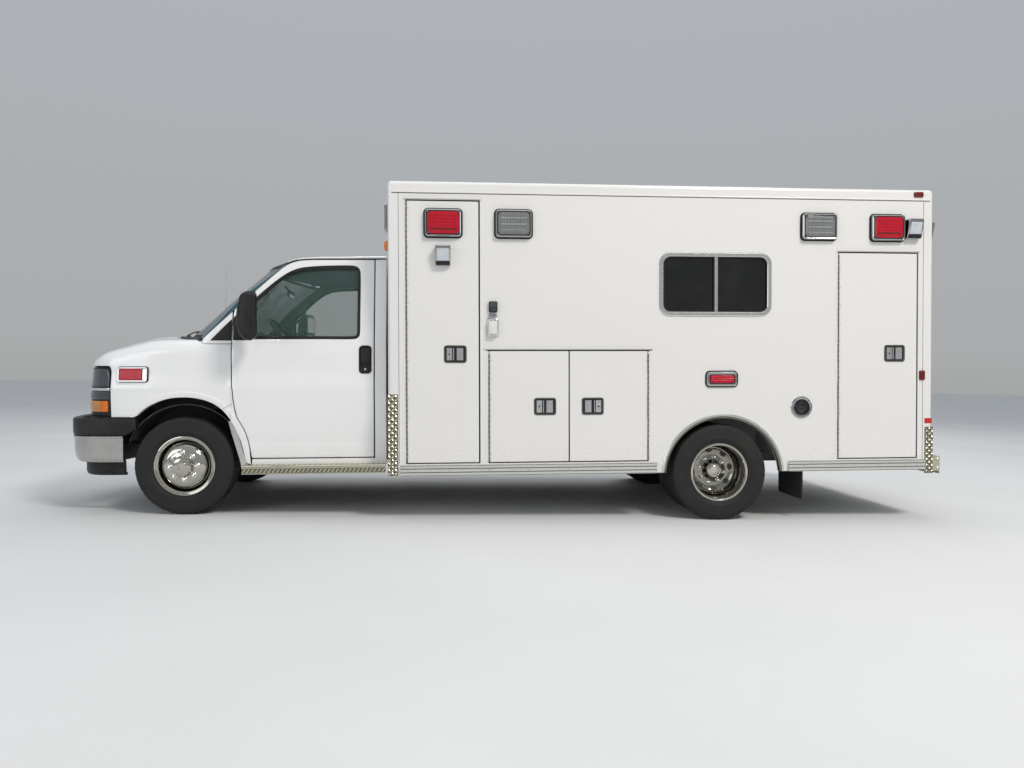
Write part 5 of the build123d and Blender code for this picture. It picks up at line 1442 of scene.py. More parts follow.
def side_y(z):
    """Lower side of cab and doors: slow curve with two pressed lines."""
    s = 0.0
    for d in (-3, -1.5, 0, 1.5, 3):
        s += float(np.interp(z + d, SIDE_Z, SIDE_Y))
    return s / 5


UP_Z = [1370.0, 1705.0, 2100.0]
UP_XP = [2279.0, 1974.0, 1468.0]
UP_HF = [955.0, 898.0, 826.0]
UP_HB = [985.0, 923.0, 851.0]
UP_XM = [2587.0, 2219.0, 1785.0]


def upper(z):
    return [float(np.interp(z, UP_Z, t)) for t in (UP_XP, UP_HF, UP_HB, UP_XM)]


def cab_side(x, z, depth=0.0):
    """Left side of the cab, body and glasshouse: a point at x, z, depth inwards."""
    xp, hf, hb, _ = upper(max(z, 1370.0))
    tilt = (hb - hf) * max(0.0, min(1.15, (x - 899.0) / (xp - 899.0)))
    if z >= 1370:
        y = hb - tilt
    else:
        y = side_y(z) - tilt * sstep((z - 1250) / 120.0)
    return (x, y - depth, z)


# front corner, nose and hood
_c = [(2056.0, 1004.0), (2500.0, 1006.0), (2918.0, 985.0)]


def arc3(a, m, b, n):
    ax, ay = a
    bx, by = m
    cx, cy = b
    d = 2 * (ax * (by - cy) + bx * (cy - ay) + cx * (ay - by))
    ux = ((ax * ax + ay * ay) * (by - cy) + (bx * bx + by * by) * (cy - ay) + (cx * cx + cy * cy) * (ay - by)) / d
    uy = ((ax * ax + ay * ay) * (cx - bx) + (bx * bx + by * by) * (ax - cx) + (cx * cx + cy * cy) * (bx - ax)) / d
    r = math.hypot(ax - ux, ay - uy)
    t0, t1 = math.atan2(ay - uy, ax - ux), math.atan2(cy - uy, cx - ux)
    tm = math.atan2(by - uy, bx - ux)
    while t1 - t0 > math.pi:
        t1 -= 2 * math.pi
    while t1 - t0 < -math.pi:
        t1 += 2 * math.pi
    return [(ux + r * math.cos(lerp(t0, t1, i / n)), uy + r * math.sin(lerp(t0, t1, i / n))) for i in range(n + 1)]


_raw = [(2056.0, 1004.0), (2200.0, 1005.0), (2350.0, 1006.0), (2500.0, 1006.0), (2640.0, 1002.0), (2780.0, 995.0)] + \
    arc3((2918, 985), (3110, 880), (3200, 690), 16) + arc3((3200, 690), (3270, 0), (3200, -690), 40)[1:21]


def smooth_curve(pts, step=6.0, rounds=60):
    p = []
    for i in range(len(pts) - 1):
        a, b = pts[i], pts[i + 1]
        n = max(1, int(math.hypot(b[0] - a[0], b[1] - a[1]) / step))
        p += [(lerp(a[0], b[0], k / n), lerp(a[1], b[1], k / n)) for k in range(n)]
    p.append(pts[-1])
    a = np.array(p)
    for _ in range(rounds):
        b = a.copy()
        b[1:-1] = (a[:-2] + a[1:-1] * 2 + a[2:]) / 4
        a = b
    return a


NOSE = smooth_curve(_raw)
NOSE_U = np.concatenate([[0], np.cumsum(np.hypot(np.diff(NOSE[:, 0]), np.diff(NOSE[:, 1])))])


def nose_pt(u, n=0.0):
    """Plan point at distance u along the nose outline, n inwards."""
    u = max(-60.0, min(float(NOSE_U[-1]), u))
    if u < 0:
        return (2056.0 + u, 1004.0 - n, 0.0, -1.0)
    x, y = float(np.interp(u, NOSE_U, NOSE[:, 0])), float(np.interp(u, NOSE_U, NOSE[:, 1]))
    a, b = max(0.0, u - 8), min(float(NOSE_U[-1]), u + 8)
    dx = float(np.interp(b, NOSE_U, NOSE[:, 0]) - np.interp(a, NOSE_U, NOSE[:, 0]))
    dy = float(np.interp(b, NOSE_U, NOSE[:, 1]) - np.interp(a, NOSE_U, NOSE[:, 1]))
    l = math.hypot(dx, dy)
    nx, ny = dy / l, -dx / l
    return (x + nx * n, y + ny * n, nx, ny)


_k = np.argsort(NOSE[:, 1])
FRONT_Y, FRONT_X = NOSE[_k, 1], NOSE[_k, 0]


def front_x(y):
    y = abs(y)
    y = min(y, 1000.0)
    sel = NOSE[:, 0] > 2880
    return float(np.interp(y, NOSE[sel][::-1, 1], NOSE[sel][::-1, 0]))


def u_at_x(x):
    sel = NOSE[:, 1] > 700
    return float(np.interp(x, NOSE[sel][:, 0], NOSE_U[sel]))


def u_at_y(y):
    return float(np.interp(-y, -NOSE[:, 1][NOSE[:, 0] > 2880], NOSE_U[NOSE[:, 0] > 2880]))


HOOD_N = [-400, 0, 7, 20, 38, 60, 86, 116, 160, 213, 310, 406, 465, 540, 630, 800, 1200]
HOOD_Z = [1161, 1161, 1187, 1212, 1233, 1251, 1270, 1287, 1303, 1317, 1346, 1371, 1380, 1384, 1385, 1384, 1363]


def hood_top(x, y):
    nf = front_x(y) - 36.0 - x
    s = sum(float(np.interp(nf + d, HOOD_N, HOOD_Z)) for d in (-14, -7, 0, 7, 14)) / 5 if nf > 30 else float(np.interp(nf, HOOD_N, HOOD_Z))
    t = min(abs(y), 1000.0) / 650.0
    c = 21.0 * (1 - t * t)
    # the crown fades out towards the front edge
    return s + c * sstep(nf / 160.0)


def wall_top(x):
    return float(np.interp(x, [2056, 2500, 2700, 2918, 3000], [1252, 1250, 1228, 1176, 1161]))


def wall_in(x, z):
    side = 1012.0 - side_y(z)
    f = sstep((x - 2880) / 260.0)
    return lerp(side, 30.0 - 22.0 * sstep((1161 - z) / 260.0), f)


U_CORNER = u_at_x(2918.0) + 17.0
ARCH_IN = spline([(1925, 395), (1934, 428), (1946, 466), (1964, 540), (1984, 604), (2009, 668), (2034, 720), (2060, 764), (2090, 806), (2126, 845),
                  (2178, 882), (2238, 908), (2297, 923), (2356, 931), (2414, 932), (2473, 928), (2532, 916), (2590, 896), (2649, 867), (2696, 834),
                  (2738, 796), (2752, 782)], step=9.0)
ARCH_A = np.array(ARCH_IN)


def arch_line(d):
    """The arch lip moved outwards by d."""
    out = []
    for i in range(0, len(ARCH_IN), 2):
        a, b = Vector(ARCH_IN[max(0, i - 2)]), Vector(ARCH_IN[min(len(ARCH_IN) - 1, i + 2)])
        t = (b - a).normalized()
        p = Vector(ARCH_IN[i]) + Vector((-t.y, t.x)) * d
        out.append((p.x, p.y))
    return out


def flare(x, z):
    """Height of the raised band round the wheel arch."""
    d = arch_dist(x, z)
    return 13.0 * (1 - sstep((d - 37.0) / 8.0)) - 2.0 * sstep((14.0 - d) / 14.0)


def arch_dist(x, z):
    return float(np.sqrt(np.min((ARCH_A[:, 0] - x) ** 2 + (ARCH_A[:, 1] - z) ** 2)))


def fender_surf(u, t, depth=0.0):
    """Fender: t is the height on the side wall, and above it the way over the crest."""
    x0, y0, nx, ny = nose_pt(u)
    wt = wall_top(x0)
    R = lerp(105.0, 10.0, sstep((x0 - 2900) / 270.0))
    if t <= wt:
        n = wall_in(x0, t)
        # raised band round the wheel arch
        if x0 < 2850:
            n -= flare(x0, t)
        x, y = x0 + nx * (n + depth), y0 + ny * (n + depth)
        return (x, y, t)
    n0 = wall_in(x0, wt)
    D = max(12.0, hood_top(x0 + nx * (n0 + R), y0 + ny * (n0 + R)) - wt)
    L = math.pi / 2 * math.sqrt((R * R + D * D) / 2)
    tau = t - wt
    if tau < L:
        th = tau / L * math.pi / 2
        n = R * (1 - math.cos(th))
        z = wt + D * math.sin(th)
        d_in, d_dn = math.cos(th), math.sin(th)
    else:
        n = R + tau - L
        z = hood_top(x0 + nx * (n0 + n), y0 + ny * (n0 + n))
        d_in, d_dn = 0.0, 1.0
    x, y = x0 + nx * (n0 + n + depth * d_in), y0 + ny * (n0 + n + depth * d_in)
    return (x, y, z - depth * d_dn)


def shut_y(x):
    return 803.0 - (x - 2440.0) * 0.2083


def shut_t(u):
    """Where the fender meets the hood line at this u."""
    x0, y0, nx, ny = nose_pt(u)
    wt = wall_top(x0)
    t = wt
    while t < wt + 900:
        p = fender_surf(u, t)
        if p[1] <= shut_y(p[0]) + 4:
            return t
        t += 3.0
    return t


cab = Mesh()      # painted shell
seal = Mesh()
trim = Mesh()

# ---- fender
FENDER_REAR = spline([(1909, 431), (1911, 463), (1916, 497), (1921, 540), (1930, 583), (1942, 626), (1957, 669), (1975, 708), (1994, 741), (2011, 770),
                      (2024, 806), (2035, 866), (2042, 913), (2046, 966), (2051, 1023), (2054, 1100), (2056, 1180), (2058, 1260)])
DOOR_FRONT = spline([(1896, 475), (1904, 485), (1908, 505), (1914, 543), (1923, 584), (1935, 627), (1950, 670), (1968, 708), (1986, 740), (2003, 770),
                     (2016, 806), (2027, 866), (2034, 913), (2038, 966), (2043, 1023), (2046, 1100), (2048, 1180), (2050, 1280), (2051, 1380),
                     (2051, 1440), (2049, 1516), (2046, 1571), (2041, 1592)])
# edge between the white frame and the dark strip beside the windscreen
BAND = spline([(2271, 1369), (2160, 1478), (2041, 1592), (1926, 1704), (1825, 1801), (1753, 1867), (1690, 1921), (1640, 1954), (1579, 1974), (1503, 1982),
               (1316, 1984), (997, 1986)])


def fender_outline():
    out = []
    rear = FENDER_REAR
    # bottom of the band behind the wheel, then along the arch lip to the front
    lip = [p for p in ARCH_IN if p[1] >= 430 and not (p[0] > 2700 and p[1] < 790)]
    pts = [(x - 2056.0, z) for x, z in lip]
    pts += [(u_at_x(2760.0), 786), (u_at_x(2840.0), 786), (U_CORNER - 4, 786), (U_CORNER - 4, 1000), (U_CORNER - 4, 1128)]
    # over the headlamp, with a rounded inner corner
    pts += [(U_CORNER + 2, 1150), (U_CORNER + 12, 1163), (U_CORNER + 30, 1168)]
    u_end = u_at_y(shut_y(3206.0) + 6)
    u = U_CORNER + 60
    while u < u_end - 10:
        pts.append((u, 1167))
        u += 22
    pts.append((u_end, 1167))
    us = list(np.linspace(u_end - 6, u_at_x(2445.0), 46))
    for u in us:
        pts.append((u, shut_t(u)))
    # beside the windscreen base
    pts += [(u_at_x(2400.0), wall_top(2400) + 190), (u_at_x(2300.0), wall_top(2300) + 150), (u_at_x(2287.0), wall_top(2287) + 128)]
    pts += [(u_at_x(2200.0), wall_top(2200) + 122), (4.0, wall_top(2062) + 122)]
    pts += [(x - 2056.0, z) for x, z in reversed(rear)]
    return pts


def on_nose(x, z, depth=0.0):
    if x < 2056:
        p = cab_side(x, z, depth)
        return (x, p[1] + flare(x, z), z)
    return fender_surf(u_at_x(x), z, depth)


def fs(u, t, d=0.0):
    if u < 0:
        x = 2056.0 + u
        p = cab_side(x, min(t, 1369), d)
        return (x, p[1] + flare(x, t), t)
    return fender_surf(u, t, d)


fender = Mesh()
ex = [[(x - 2056.0, z) for x, z in arch_line(d)] for d in (14.0, 26.0, 37.0, 41.0, 45.0, 50.0)]
ex += [[(-20.0, z), (700.0 if z > 900 else 0.0, z)] for z in PRESS[:4]]
panel(fender, fender_outline(), [], fs, grid=17, th=16, r=3, mat=0, extra=ex)
# seam across the arch band: a thin dark tube as the seam's painted shade
for o0 in (-0.4,):
    fender.path([(lambda p: (p[0], p[1] - 0.2, p[2]))(fs(x - 2056.0, z, 0)) for x, z in ((2114, 841), (2100, 850), (2087, 857), (2066, 870), (2047, 881))], 1.3, 6, 1)
# turned-in return of the arch
lipc = [p for p in ARCH_IN if p[1] >= 430 and not (p[0] > 2700 and p[1] < 790)]
A = [fs(x - 2056.0, z, 4) for x, z in lipc]
strip(fender, A, [(p[0], p[1] - 44, p[2]) for p in A], 0)
FE = fender
f2 = FE.mirror()
fender.add(f2.v, f2.f)
fender.done("fenders_visual", "body", "cab_paint", [CABW, RUBBER_AND_SHADE], angle=28)
o = bpy.data.objects["fenders_visual"]
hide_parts("front_fenders")

# ---- hood
def hood_mesh():
    m = Mesh()
    NV, NU = 72, 46
    rows = []
    u_l = u_at_y(shut_y(3206.0) - 4)
    half = []
    for i in range(NV + 1):
        v = i / NV            # 0 at the left shut line, 1 at the middle
        u = lerp(u_l, float(NOSE_U[-1]), v)
        x0, y0, nx, ny = nose_pt(u)
        fx, fy = x0 + nx * 36, y0 + ny * 36
        # rear edge arc
        ry = 797.0 * (1 - v)
        k = ry / 800.0
        rx = 2446.0 + 252.0 * (1 - k * k)
        col = [(fx, fy, 1161 - 20.0), (fx, fy, 1161 - 8.0), (fx, fy, 1161.0)]
        for j in range(1, NU + 1):
            t = (j / NU) ** 2.1
            x, y = lerp(fx, rx, t), lerp(fy, ry, t)
            if v == 0:
                y = shut_y(x) - 7
            bulge = 9.0 * (1 - sstep((abs(y) - (470 - (x - 2446) * 0.16)) / 60.0)) * sstep((front_x(y) - 60 - x) / 240.0)
            z = hood_top(x, y) + bulge
            col.append((x, y, z))
        half.append(col)
    cols = half + [[(x, -y, z) for x, y, z in c] for c in reversed(half[:-1])]
    n = len(cols[0])
    V = [p for c in cols for p in c]
    F = []
    for i in range(len(cols) - 1):
        for j in range(n - 1):
            F.append((i * n + j, (i + 1) * n + j, (i + 1) * n + j + 1, i * n + j + 1))
    base = len(V)
    # inner face and rolled edge
    V2 = [(x - (10 if z < 1200 else 0), y * 0.992, z - 16) for x, y, z in V]
    V += V2
    F += [tuple(base + k for k in reversed(f)) for f in F[:]]
    ring = [j for j in range(n)] + [i * n + n - 1 for i in range(1, len(cols))] + [(len(cols) - 1) * n + j for j in range(n - 2, -1, -1)] + \
        [i * n for i in range(len(cols) - 2, 0, -1)]
    for k in range(len(ring)):
        a, b = ring[k], ring[(k + 1) % len(ring)]
        F.append((a, b, base + b, base + a))
    m.add(V, F)
    return m


h = hood_mesh().done("hood_visual", "hood", "cab_paint", CABW, angle=40)
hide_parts("hood")

# ---- doors
_leaf = [(1006, 474)] + DOOR_FRONT + [p for p in BAND if p[0] < 2036] + [(997, 1977)]
DOOR_LEAF = [(997, 483)] + [(999, 477)] + _leaf
SEAL_OUT = spline([(1940, 1367), (1700, 1367), (1400, 1367.5), (1150, 1368), (1122, 1373), (1105, 1390), (1099.5, 1420), (1099, 1540), (1099, 1700),
                   (1100, 1850), (1103, 1890), (1114, 1918), (1140, 1935), (1190, 1940.5), (1315, 1939.5), (1424, 1935), (1533, 1925), (1588, 1912),
                   (1641, 1889), (1694, 1855), (1747, 1814), (1799, 1769), (1861, 1712), (1928, 1648), (1942, 1630), (1946, 1610), (1946, 1375)],
                  closed=True, sharp=(0, 26))
DOOR_WIN = offset_loop(SEAL_OUT, 8.0)


def door_surf(a, b, d=0.0):
    p = cab_side(a, b, 0.0)
    y = p[1] - d
    return (a, y, b)


def both(name, build, mats, slot, body_l, body_r, rep_l=None, rep_r=None, angle=35.0):
    m = Mesh()
    build(m)
    for s, tag, body, rep in ((1, "left", body_l, rep_l), (-1, "right", body_r, rep_r)):
        q = m if s > 0 else m.mirror()
        o = q.done(name + "_" + tag, body, slot, mats, angle=angle)
        if rep:
            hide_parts(*([rep] if isinstance(rep, str) else rep))


def build_door(m):
    hole = offset_loop(DOOR_WIN, -3.0)
    ex = [[(1000.0, z), (2050.0, z)] for z in PRESS]
    panel(m, DOOR_LEAF, [hole], door_surf, grid=24, th=13, r=3, mat=0, extra=ex)
    inner = offset_loop(DOOR_LEAF, 14.0)
    panel(m, inner, [offset_loop(hole, -4.0)], lambda a, b, d: door_surf(a, b, 12.5 + d), grid=60, th=29, r=2, mat=0, inner_mat=1)
    # inner card with arm rest and pocket
    card = round_corners([(1060, 520), (1900, 520), (1915, 620), (1960, 780), (1985, 920), (1995, 1330), (1060, 1330)], 30, 4)
    panel(m, card, [], lambda a, b, d: (a, cab_side(a, b)[1] - 48 - d, b), grid=60, th=26, r=9, mat=1)
    y = 985 - 74
    m.box(1130, 1640, y - 62, y + 4, 1010, 1062, 14, 1)
    m.box(1150, 1700, y - 48, y + 4, 560, 700, 14, 1)
    m.box(1500, 1560, y - 10, y + 4, 1110, 1160, 8, 2)
    # outside handle: recess cup, paddle and lock
    z0, z1, x0, x1 = 1106, 1320, 1012, 1107
    cup = rrect((x0 + x1) / 2, (z0 + z1) / 2, x1 - x0, z1 - z0, 30, 6)
    P = lambda a, b, o: (a, cab_side(a, b)[1] + o, b)
    rings = [(cup, -2.0), (cup, 5.0), (offset_loop(cup, 3), 8.0), (offset_loop(cup, 9), 8.5), (offset_loop(cup, 14), 3.0), (offset_loop(cup, 16), 1.6)]
    for (l0, o0), (l1, o1) in zip(rings, rings[1:]):
        strip(m, [P(a, b, o0) for a, b in l0], [P(a, b, o1) for a, b in l1], 2, True)
    last = [P(a, b, 1.6) for a, b in rings[-1][0]]
    m.add(last, [tuple(range(len(last)))], 2)
    pad = rrect((x0 + x1) / 2 - 2, 1238, x1 - x0 - 26, 118, 20, 6)
    rings = [(pad, -5.0), (pad, 12.0), (offset_loop(pad, 3), 16.0), (offset_loop(pad, 10), 18.0)]
    for (l0, o0), (l1, o1) in zip(rings, rings[1:]):
        strip(m, [P(a, b, o0) for a, b in l0], [P(a, b, o1) for a, b in l1], 2, True)
    last = [P(a, b, 18.0) for a, b in rings[-1][0]]
    m.add(last, [tuple(range(len(last)))], 2)
    yl = cab_side(1058, 1136)[1]
    m.lathe((1060, yl - 4, 1140), (0, 1, 0), [(10, 0), (10, 9), (8.5, 11.0), (4, 11.5), (3, 10), (0.2, 10)], 24, 3)
    # window seal inside the frame
    seal_loop(m, offset_loop(SEAL_OUT, 11.5), lambda a, b, d: (a, cab_side(a, b)[1] - d, b), w=23, proud=2.2, deep=24, mat=2)
    # rear edge catch
    m.box(1003, 1012, 948, 966, 1040, 1120, 2, 4)
    # black corner panel behind the mirror
    tri = round_corners([(1936, 1359), (2047, 1359), (2046, 1535), (1996, 1583), (1936, 1640)], 4, 2)
    m2 = Mesh()
    panel(m2, tri, [], lambda a, b, d: (a, cab_side(a, b)[1] + 2.5 - d, b), grid=40, th=8, r=1.5, mat=2)
    m.add(m2.v, m2.f, 2)


both("cab_door_visual", build_door, [CABW, TRIM_IN, BLACK, CHROME_SOFT, DARK_STEEL_AND_SHADE], "cab_paint", "cab_door_left", "cab_door_right")


# mirror: housing with a rounded front, glass face, arm and foot
def build_mirror(m):
    cy = 1182.0
    edge = spline([(1872, 1350), (1912, 1366), (1937, 1398), (1951, 1450), (1955, 1510), (1949, 1580), (1936, 1640), (1922, 1680), (1900, 1697), (1866, 1702)])
    EX, EZ = [p[0] for p in edge], [p[1] for p in edge]
    rows, cols = 34, 44
    V, F = [], []
    for i in range(rows + 1):
        t = i / rows
        z = lerp(1350.5, 1701.5, 0.5 - 0.5 * math.cos(math.pi * t))
        xf = float(np.interp(z, EZ, EX))
        xr = 1793.0 + 34.0 * sstep((1384 - z) / 32.0) ** 2 + 6.0 * sstep((z - 1680) / 20.0)
        e = max(sstep((1400 - z) / 56.0), sstep((z - 1664) / 44.0))
        wy = 107.0 * (1 - 0.30 * e)
        xc, wx = (xf + xr) / 2, (xf - xr) / 2
        for k in range(cols):
            a = 2 * math.pi * k / cols
            ca, sa = math.cos(a), math.sin(a)
            q = 2.5 if ca > 0 else 9.0
            px = math.copysign(abs(ca) ** (2 / q), ca) * wx
            py = math.copysign(abs(sa) ** (2 / max(3.0, q * 0.6)), sa) * wy
            # the rear face turns in towards the driver
            px += (cy + 107.0 - (cy + py)) * 0.27 * max(0.0, min(1.0, (xf - xc - px) / max(1.0, xf - xr)))
            V.append((xc + px, cy + py, z))
    for i in range(rows):
        for k in range(cols):
            l = (k + 1) % cols
            F.append((i * cols + k, i * cols + l, (i + 1) * cols + l, (i + 1) * cols + k))
    F.append(tuple(range(cols)))
    F.append(tuple(range(rows * cols, (rows + 1) * cols)))
    m.add(V, F, 0)
    # bezel and two glasses on the rear face
    for zc, hh in ((1594, 168), (1448, 100)):
        l = rrect(cy, zc, 182, hh, 20, 6)
        P = lambda y, z, o: (1793.0 - o + (cy + 107.0 - y) * 0.27, y, z)
        rings = [(l, -4.0), (l, 0.6), (offset_loop(l, 3), 1.6), (offset_loop(l, 7), 1.6), (offset_loop(l, 9), -1.0)]
        for (l0, o0), (l1, o1) in zip(rings, rings[1:]):
            strip(m, [P(a, b, o0) for a, b in l0], [P(a, b, o1) for a, b in l1], 0, True)
        last = [P(a, b, 0.2) for a, b in rings[-1][0]]
        m.add(last, [tuple(range(len(last)))], 1)
    # two arms and the foot
    for z in (1452, 1500):
        m.path([(1985, 940, z - 16), (1972, 985, z - 12), (1940, 1050, z - 4), (1905, 1100, z)], 15, 12, 0)
    m.box(1948, 2040, 948, 984, 1376, 1522, 9, 0)


m = Mesh()
build_mirror(m)
for s, tag in ((1, "left"), (-1, "right")):
    q = m if s > 0 else m.mirror()
    o = q.done("mirror_" + tag, "cab_door_" + tag, "black_plastic", [BLACK, CHROME], angle=30)
    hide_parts("cab_door_" + tag)


# door glass
def build_glass(m):
    g = offset_loop(DOOR_WIN, -1.0)
    panel(m, g, [], lambda a, b, d: (a, cab_side(a, b)[1] - 20 - d, b), grid=50, th=5, r=0, mat=0)


both("door_glass_visual", build_glass, [GLASS_SIDE], "tinted_glass", "cab_door_left", "cab_door_right", "door_glass_left", "door_glass_right")

# ---- shell: posts, sills, roof, back
def gh_side(a, b, d=0.0):
    """Side of the glasshouse with a rounded front corner into the windscreen seal."""
    xp, hf, hb, _ = upper(max(b, 1370.0))
    p = cab_side(a, b, 0.0)
    y = p[1]
    k = a - (xp - 26.0)
    if k > 0:
        y -= 12.0 * (k / 26.0) ** 2
    return (a, y - d, b)


xpz = lambda z: upper(z)[0]
shell = Mesh()
# rear post and sill in one piece
panel(shell, [(903, 425), (1903, 425), (1899, 466), (988, 466), (988, 1987), (903, 1989)], [], gh_side, grid=40, th=34, r=3, mat=0, inner_mat=1,
      extra=[[(905, z), (986, z)] for z in PRESS])
# white foot of the pillar ahead of the door, its black panel, and the dark edge beside the windscreen
foot = [(2059, 1337), (2289, 1337), (2271, 1369)] + [p for p in BAND if p[0] > 2062 and p[1] > 1370] + [(2059, 1573)]
panel(shell, foot, [], gh_side, grid=30, th=24, r=2, mat=0, inner_mat=1)
low = [(x + 0.6, z + 0.8) for x, z in BAND if 1366 < z < 1926 and x > 1600]
top_ = [(xpz(z) - 2.0, z) for z in np.linspace(1934, 1372, 40)]
panel(shell, low + top_, [], gh_side, grid=20, th=30, r=1.5, mat=4, inner_mat=1)
# jamb behind the door edge
ja = dense(offset_loop(DOOR_LEAF, -5.0), 40)
n = len(ja)
jb = offset_loop(ja, 46)
strip(shell, [(a, cab_side(a, b)[1] - 15, b) for a, b in ja], [(a, cab_side(a, b)[1] - 84, b) for a, b in ja], 3, True)
strip(shell, [(a, cab_side(a, b)[1] - 52, b) for a, b in ja], [(a, cab_side(a, b)[1] - 54, b) for a, b in jb], 2, True)
strip(shell, [(a, cab_side(a, b)[1] - 54, b) for a, b in jb], [(a, cab_side(a, b)[1] - 92, b) for a, b in jb], 1, True)
tri = round_corners([(2059, 1357), (2215, 1357), (2130, 1449), (2059, 1522)], 3, 2)
panel(shell, tri, [], lambda a, b, d: (a, cab_side(a, b)[1] + 2.5 - d, b), grid=40, th=8, r=1.5, mat=3)
# black length of seal at the top of the door gap
shell.box(986, 996, 846, 862, 1880, 1985, 2, 3)
sh2 = shell.mirror()
# mirrored half keeps its material numbers
base = len(shell.v)
shell.v += sh2.v
shell.f += [tuple(i + base for i in f) for f in sh2.f]
shell.m += sh2.m


def roof_z(x, y):
    zc = 0.0
    zc = sum(float(np.interp(x + d, [800, 1400, 1560, 1700, 1820, 1930, 2000], [2064, 2058, 2048, 2027, 2002, 1974, 1948])) for d in (-40, -20, 0, 20, 40)) / 5
    up_ = 14.0 * max(0.0, min(1.0, (1720.0 - x) / 160.0))
    return zc + up_ - 104.0 * (y / 1100.0) ** 2


def roof_front(y):
    return 1655.0 + 262.0 * (1 - (abs(y) / 862.0) ** 2)


def roof_side(x):
    z = 1985.0
    xp, hf, hb, _ = upper(z)
    return hb - (hb - hf) * (x - 899.0) / (xp - 899.0) + 2.0


def roof_mesh(m):
    NX, NY = 60, 64
    V, F = [], []
    for i in range(NX + 1):
        t = i / NX
        for j in range(NY + 1):
            q = math.sin((j / NY - 0.5) * math.pi)      # closer rows at the sides
            # the side edge runs to the pillar top, the front edge is a curve
            ys = 874.0 * q
            xf = roof_front(ys)
            xx = 903.0 + (xf - 903.0) * (1 - (1 - t) ** 1.5)
            lim = roof_side(min(xx, 1660.0)) - max(0.0, xx - 1640.0) * 0.02
            y = lim * q
            s = lim - abs(y)
            R, D = 36.0, lerp(9.0, 6.0, sstep((xx - 1400) / 260.0))
            drop = D * (1 - math.sqrt(max(0.0, 1 - ((R - s) / R) ** 2))) if s < R else 0.0
            fr = xf - xx
            if fr < 40:
                drop += 9.0 * (1 - math.sqrt(max(0.0, 1 - ((40 - fr) / 40) ** 2)))
            bk = xx - 903
            if bk < 14:
                drop += 6.0 * (1 - math.sqrt(max(0.0, 1 - ((14 - bk) / 14) ** 2)))
            V.append((xx, y, roof_z(xx, y) - drop))
    n = NY + 1
    for i in range(NX):
        for j in range(NY):
            F.append((i * n + j, (i + 1) * n + j, (i + 1) * n + j + 1, i * n + j + 1))
    base = len(V)
    V += [(x - (6 if x > 1500 else 0), y * 0.94, z - 12) for x, y, z in V]
    F += [tuple(base + k for k in reversed(f)) for f in F[:]]
    nf = len(F) // 2
    ring = [i * n for i in range(NX + 1)] + [NX * n + j for j in range(1, n)] + [i * n + n - 1 for i in range(NX - 1, -1, -1)] + [j for j in range(n - 2, 0, -1)]
    for k in range(len(ring)):
        a, b = ring[k], ring[(k + 1) % len(ring)]
        F.append((a, b, base + b, base + a))
    s = len(m.v)
    m.v += V
    m.f += [tuple(i + s for i in f) for f in F]
    m.m += [0] * nf + [1] * nf + [0] * len(ring)


roof_mesh(shell)
# gutter under the roof edge: a black tube along the gutter line as its painted shade, with a white lip above it
for s in (1, -1):
    pts = []
    for x in np.linspace(905, 1655, 34):
        z = float(np.interp(x, [899, 1300, 1430, 1503, 1579, 1640, 1660], [1993, 1991, 1990, 1988, 1981, 1962, 1950]))
        pts.append((x, s * (cab_side(x, z)[1] + 1.0), z))
    shell.path(pts, 4.2, 8, 3)
    shell.path([(x, y - s * 2.0, z + 7.5) for x, y, z in pts if x < 1600], 4.2, 8, 0)
# back wall, pass-through collar
bw = [(-1006, 430), (1006, 430), (998, 590), (1009, 985), (983, 1370), (921, 1705), (872, 1975), (600, 2030), (0, 2060), (-600, 2030), (-872, 1975),
      (-921, 1705), (-983, 1370), (-1009, 985), (-998, 590)]
panel(shell, bw, [rrect(0, 1310, 660, 1180, 20, 4)], lambda a, b, d: (903 + d, a, b), grid=90, th=16, r=3, mat=0, inner_mat=1)
for y0, y1, z0, z1 in ((-385, -330, 665, 1955), (330, 385, 665, 1955), (-330, 330, 665, 720), (-330, 330, 1900, 1955)):
    shell.box(877, 903, y0, y1, z0, z1, 3, 2)
o = shell.done("cab_shell_visual", "body", "cab_paint", [CABW, TRIM_IN, RUBBER_AND_SHADE, BLACK, SCREEN_EDGE], angle=34)
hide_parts("cab_shell")


# ---- windscreen, its seal, cowl and wipers
def ws_pt(z, q, off=0.0):
    """Windscreen surface: q runs from -1 at the right seal to 1 at the left."""
    xp, hf, _, xm = upper(z)
    w = hf - 12.0
    x0 = xp + 4
    y = w * q
    c, sg = w, xm - x0
    r = (c * c + sg * sg) / (2 * sg)
    x = x0 + sg - r + math.sqrt(max(0.0, r * r - y * y))
    nx, ny = (x - (x0 + sg - r)) / r, y / r
    return (x + (nx * 0.72) * off, y + ny * 0.72 * off, z + 0.62 * off)


def ws_grid(m, z0f, z1f, off, th, mat, q0=-1.0, q1=1.0, nz=26, nq=60):
    V, F = [], []
    for i in range(nz + 1):
        for j in range(nq + 1):
            q = lerp(q0, q1, j / nq)
            z = lerp(z0f(q), z1f(q), i / nz)
            V.append(ws_pt(z, q, off))
    n = nq + 1
    for i in range(nz):
        for j in range(nq):
            F.append((i * n + j, i * n + j + 1, (i + 1) * n + j + 1, (i + 1) * n + j))
    base = len(V)
    for i in range(nz + 1):
        for j in range(nq + 1):
            q = lerp(q0, q1, j / nq)
            z = lerp(z0f(q), z1f(q), i / nz)
            V.append(ws_pt(z, q, off - th))
    F += [tuple(base + k for k in reversed(f)) for f in F[:]]
    ring = [j for j in range(n)] + [i * n + n - 1 for i in range(1, nz + 1)] + [nz * n + j for j in range(n - 2, -1, -1)] + [i * n for i in range(nz - 1, 0, -1)]
    for k in range(len(ring)):
        a, b = ring[k], ring[(k + 1) % len(ring)]
        F.append((a, b, base + b, base + a))
    m.add(V, F, mat)


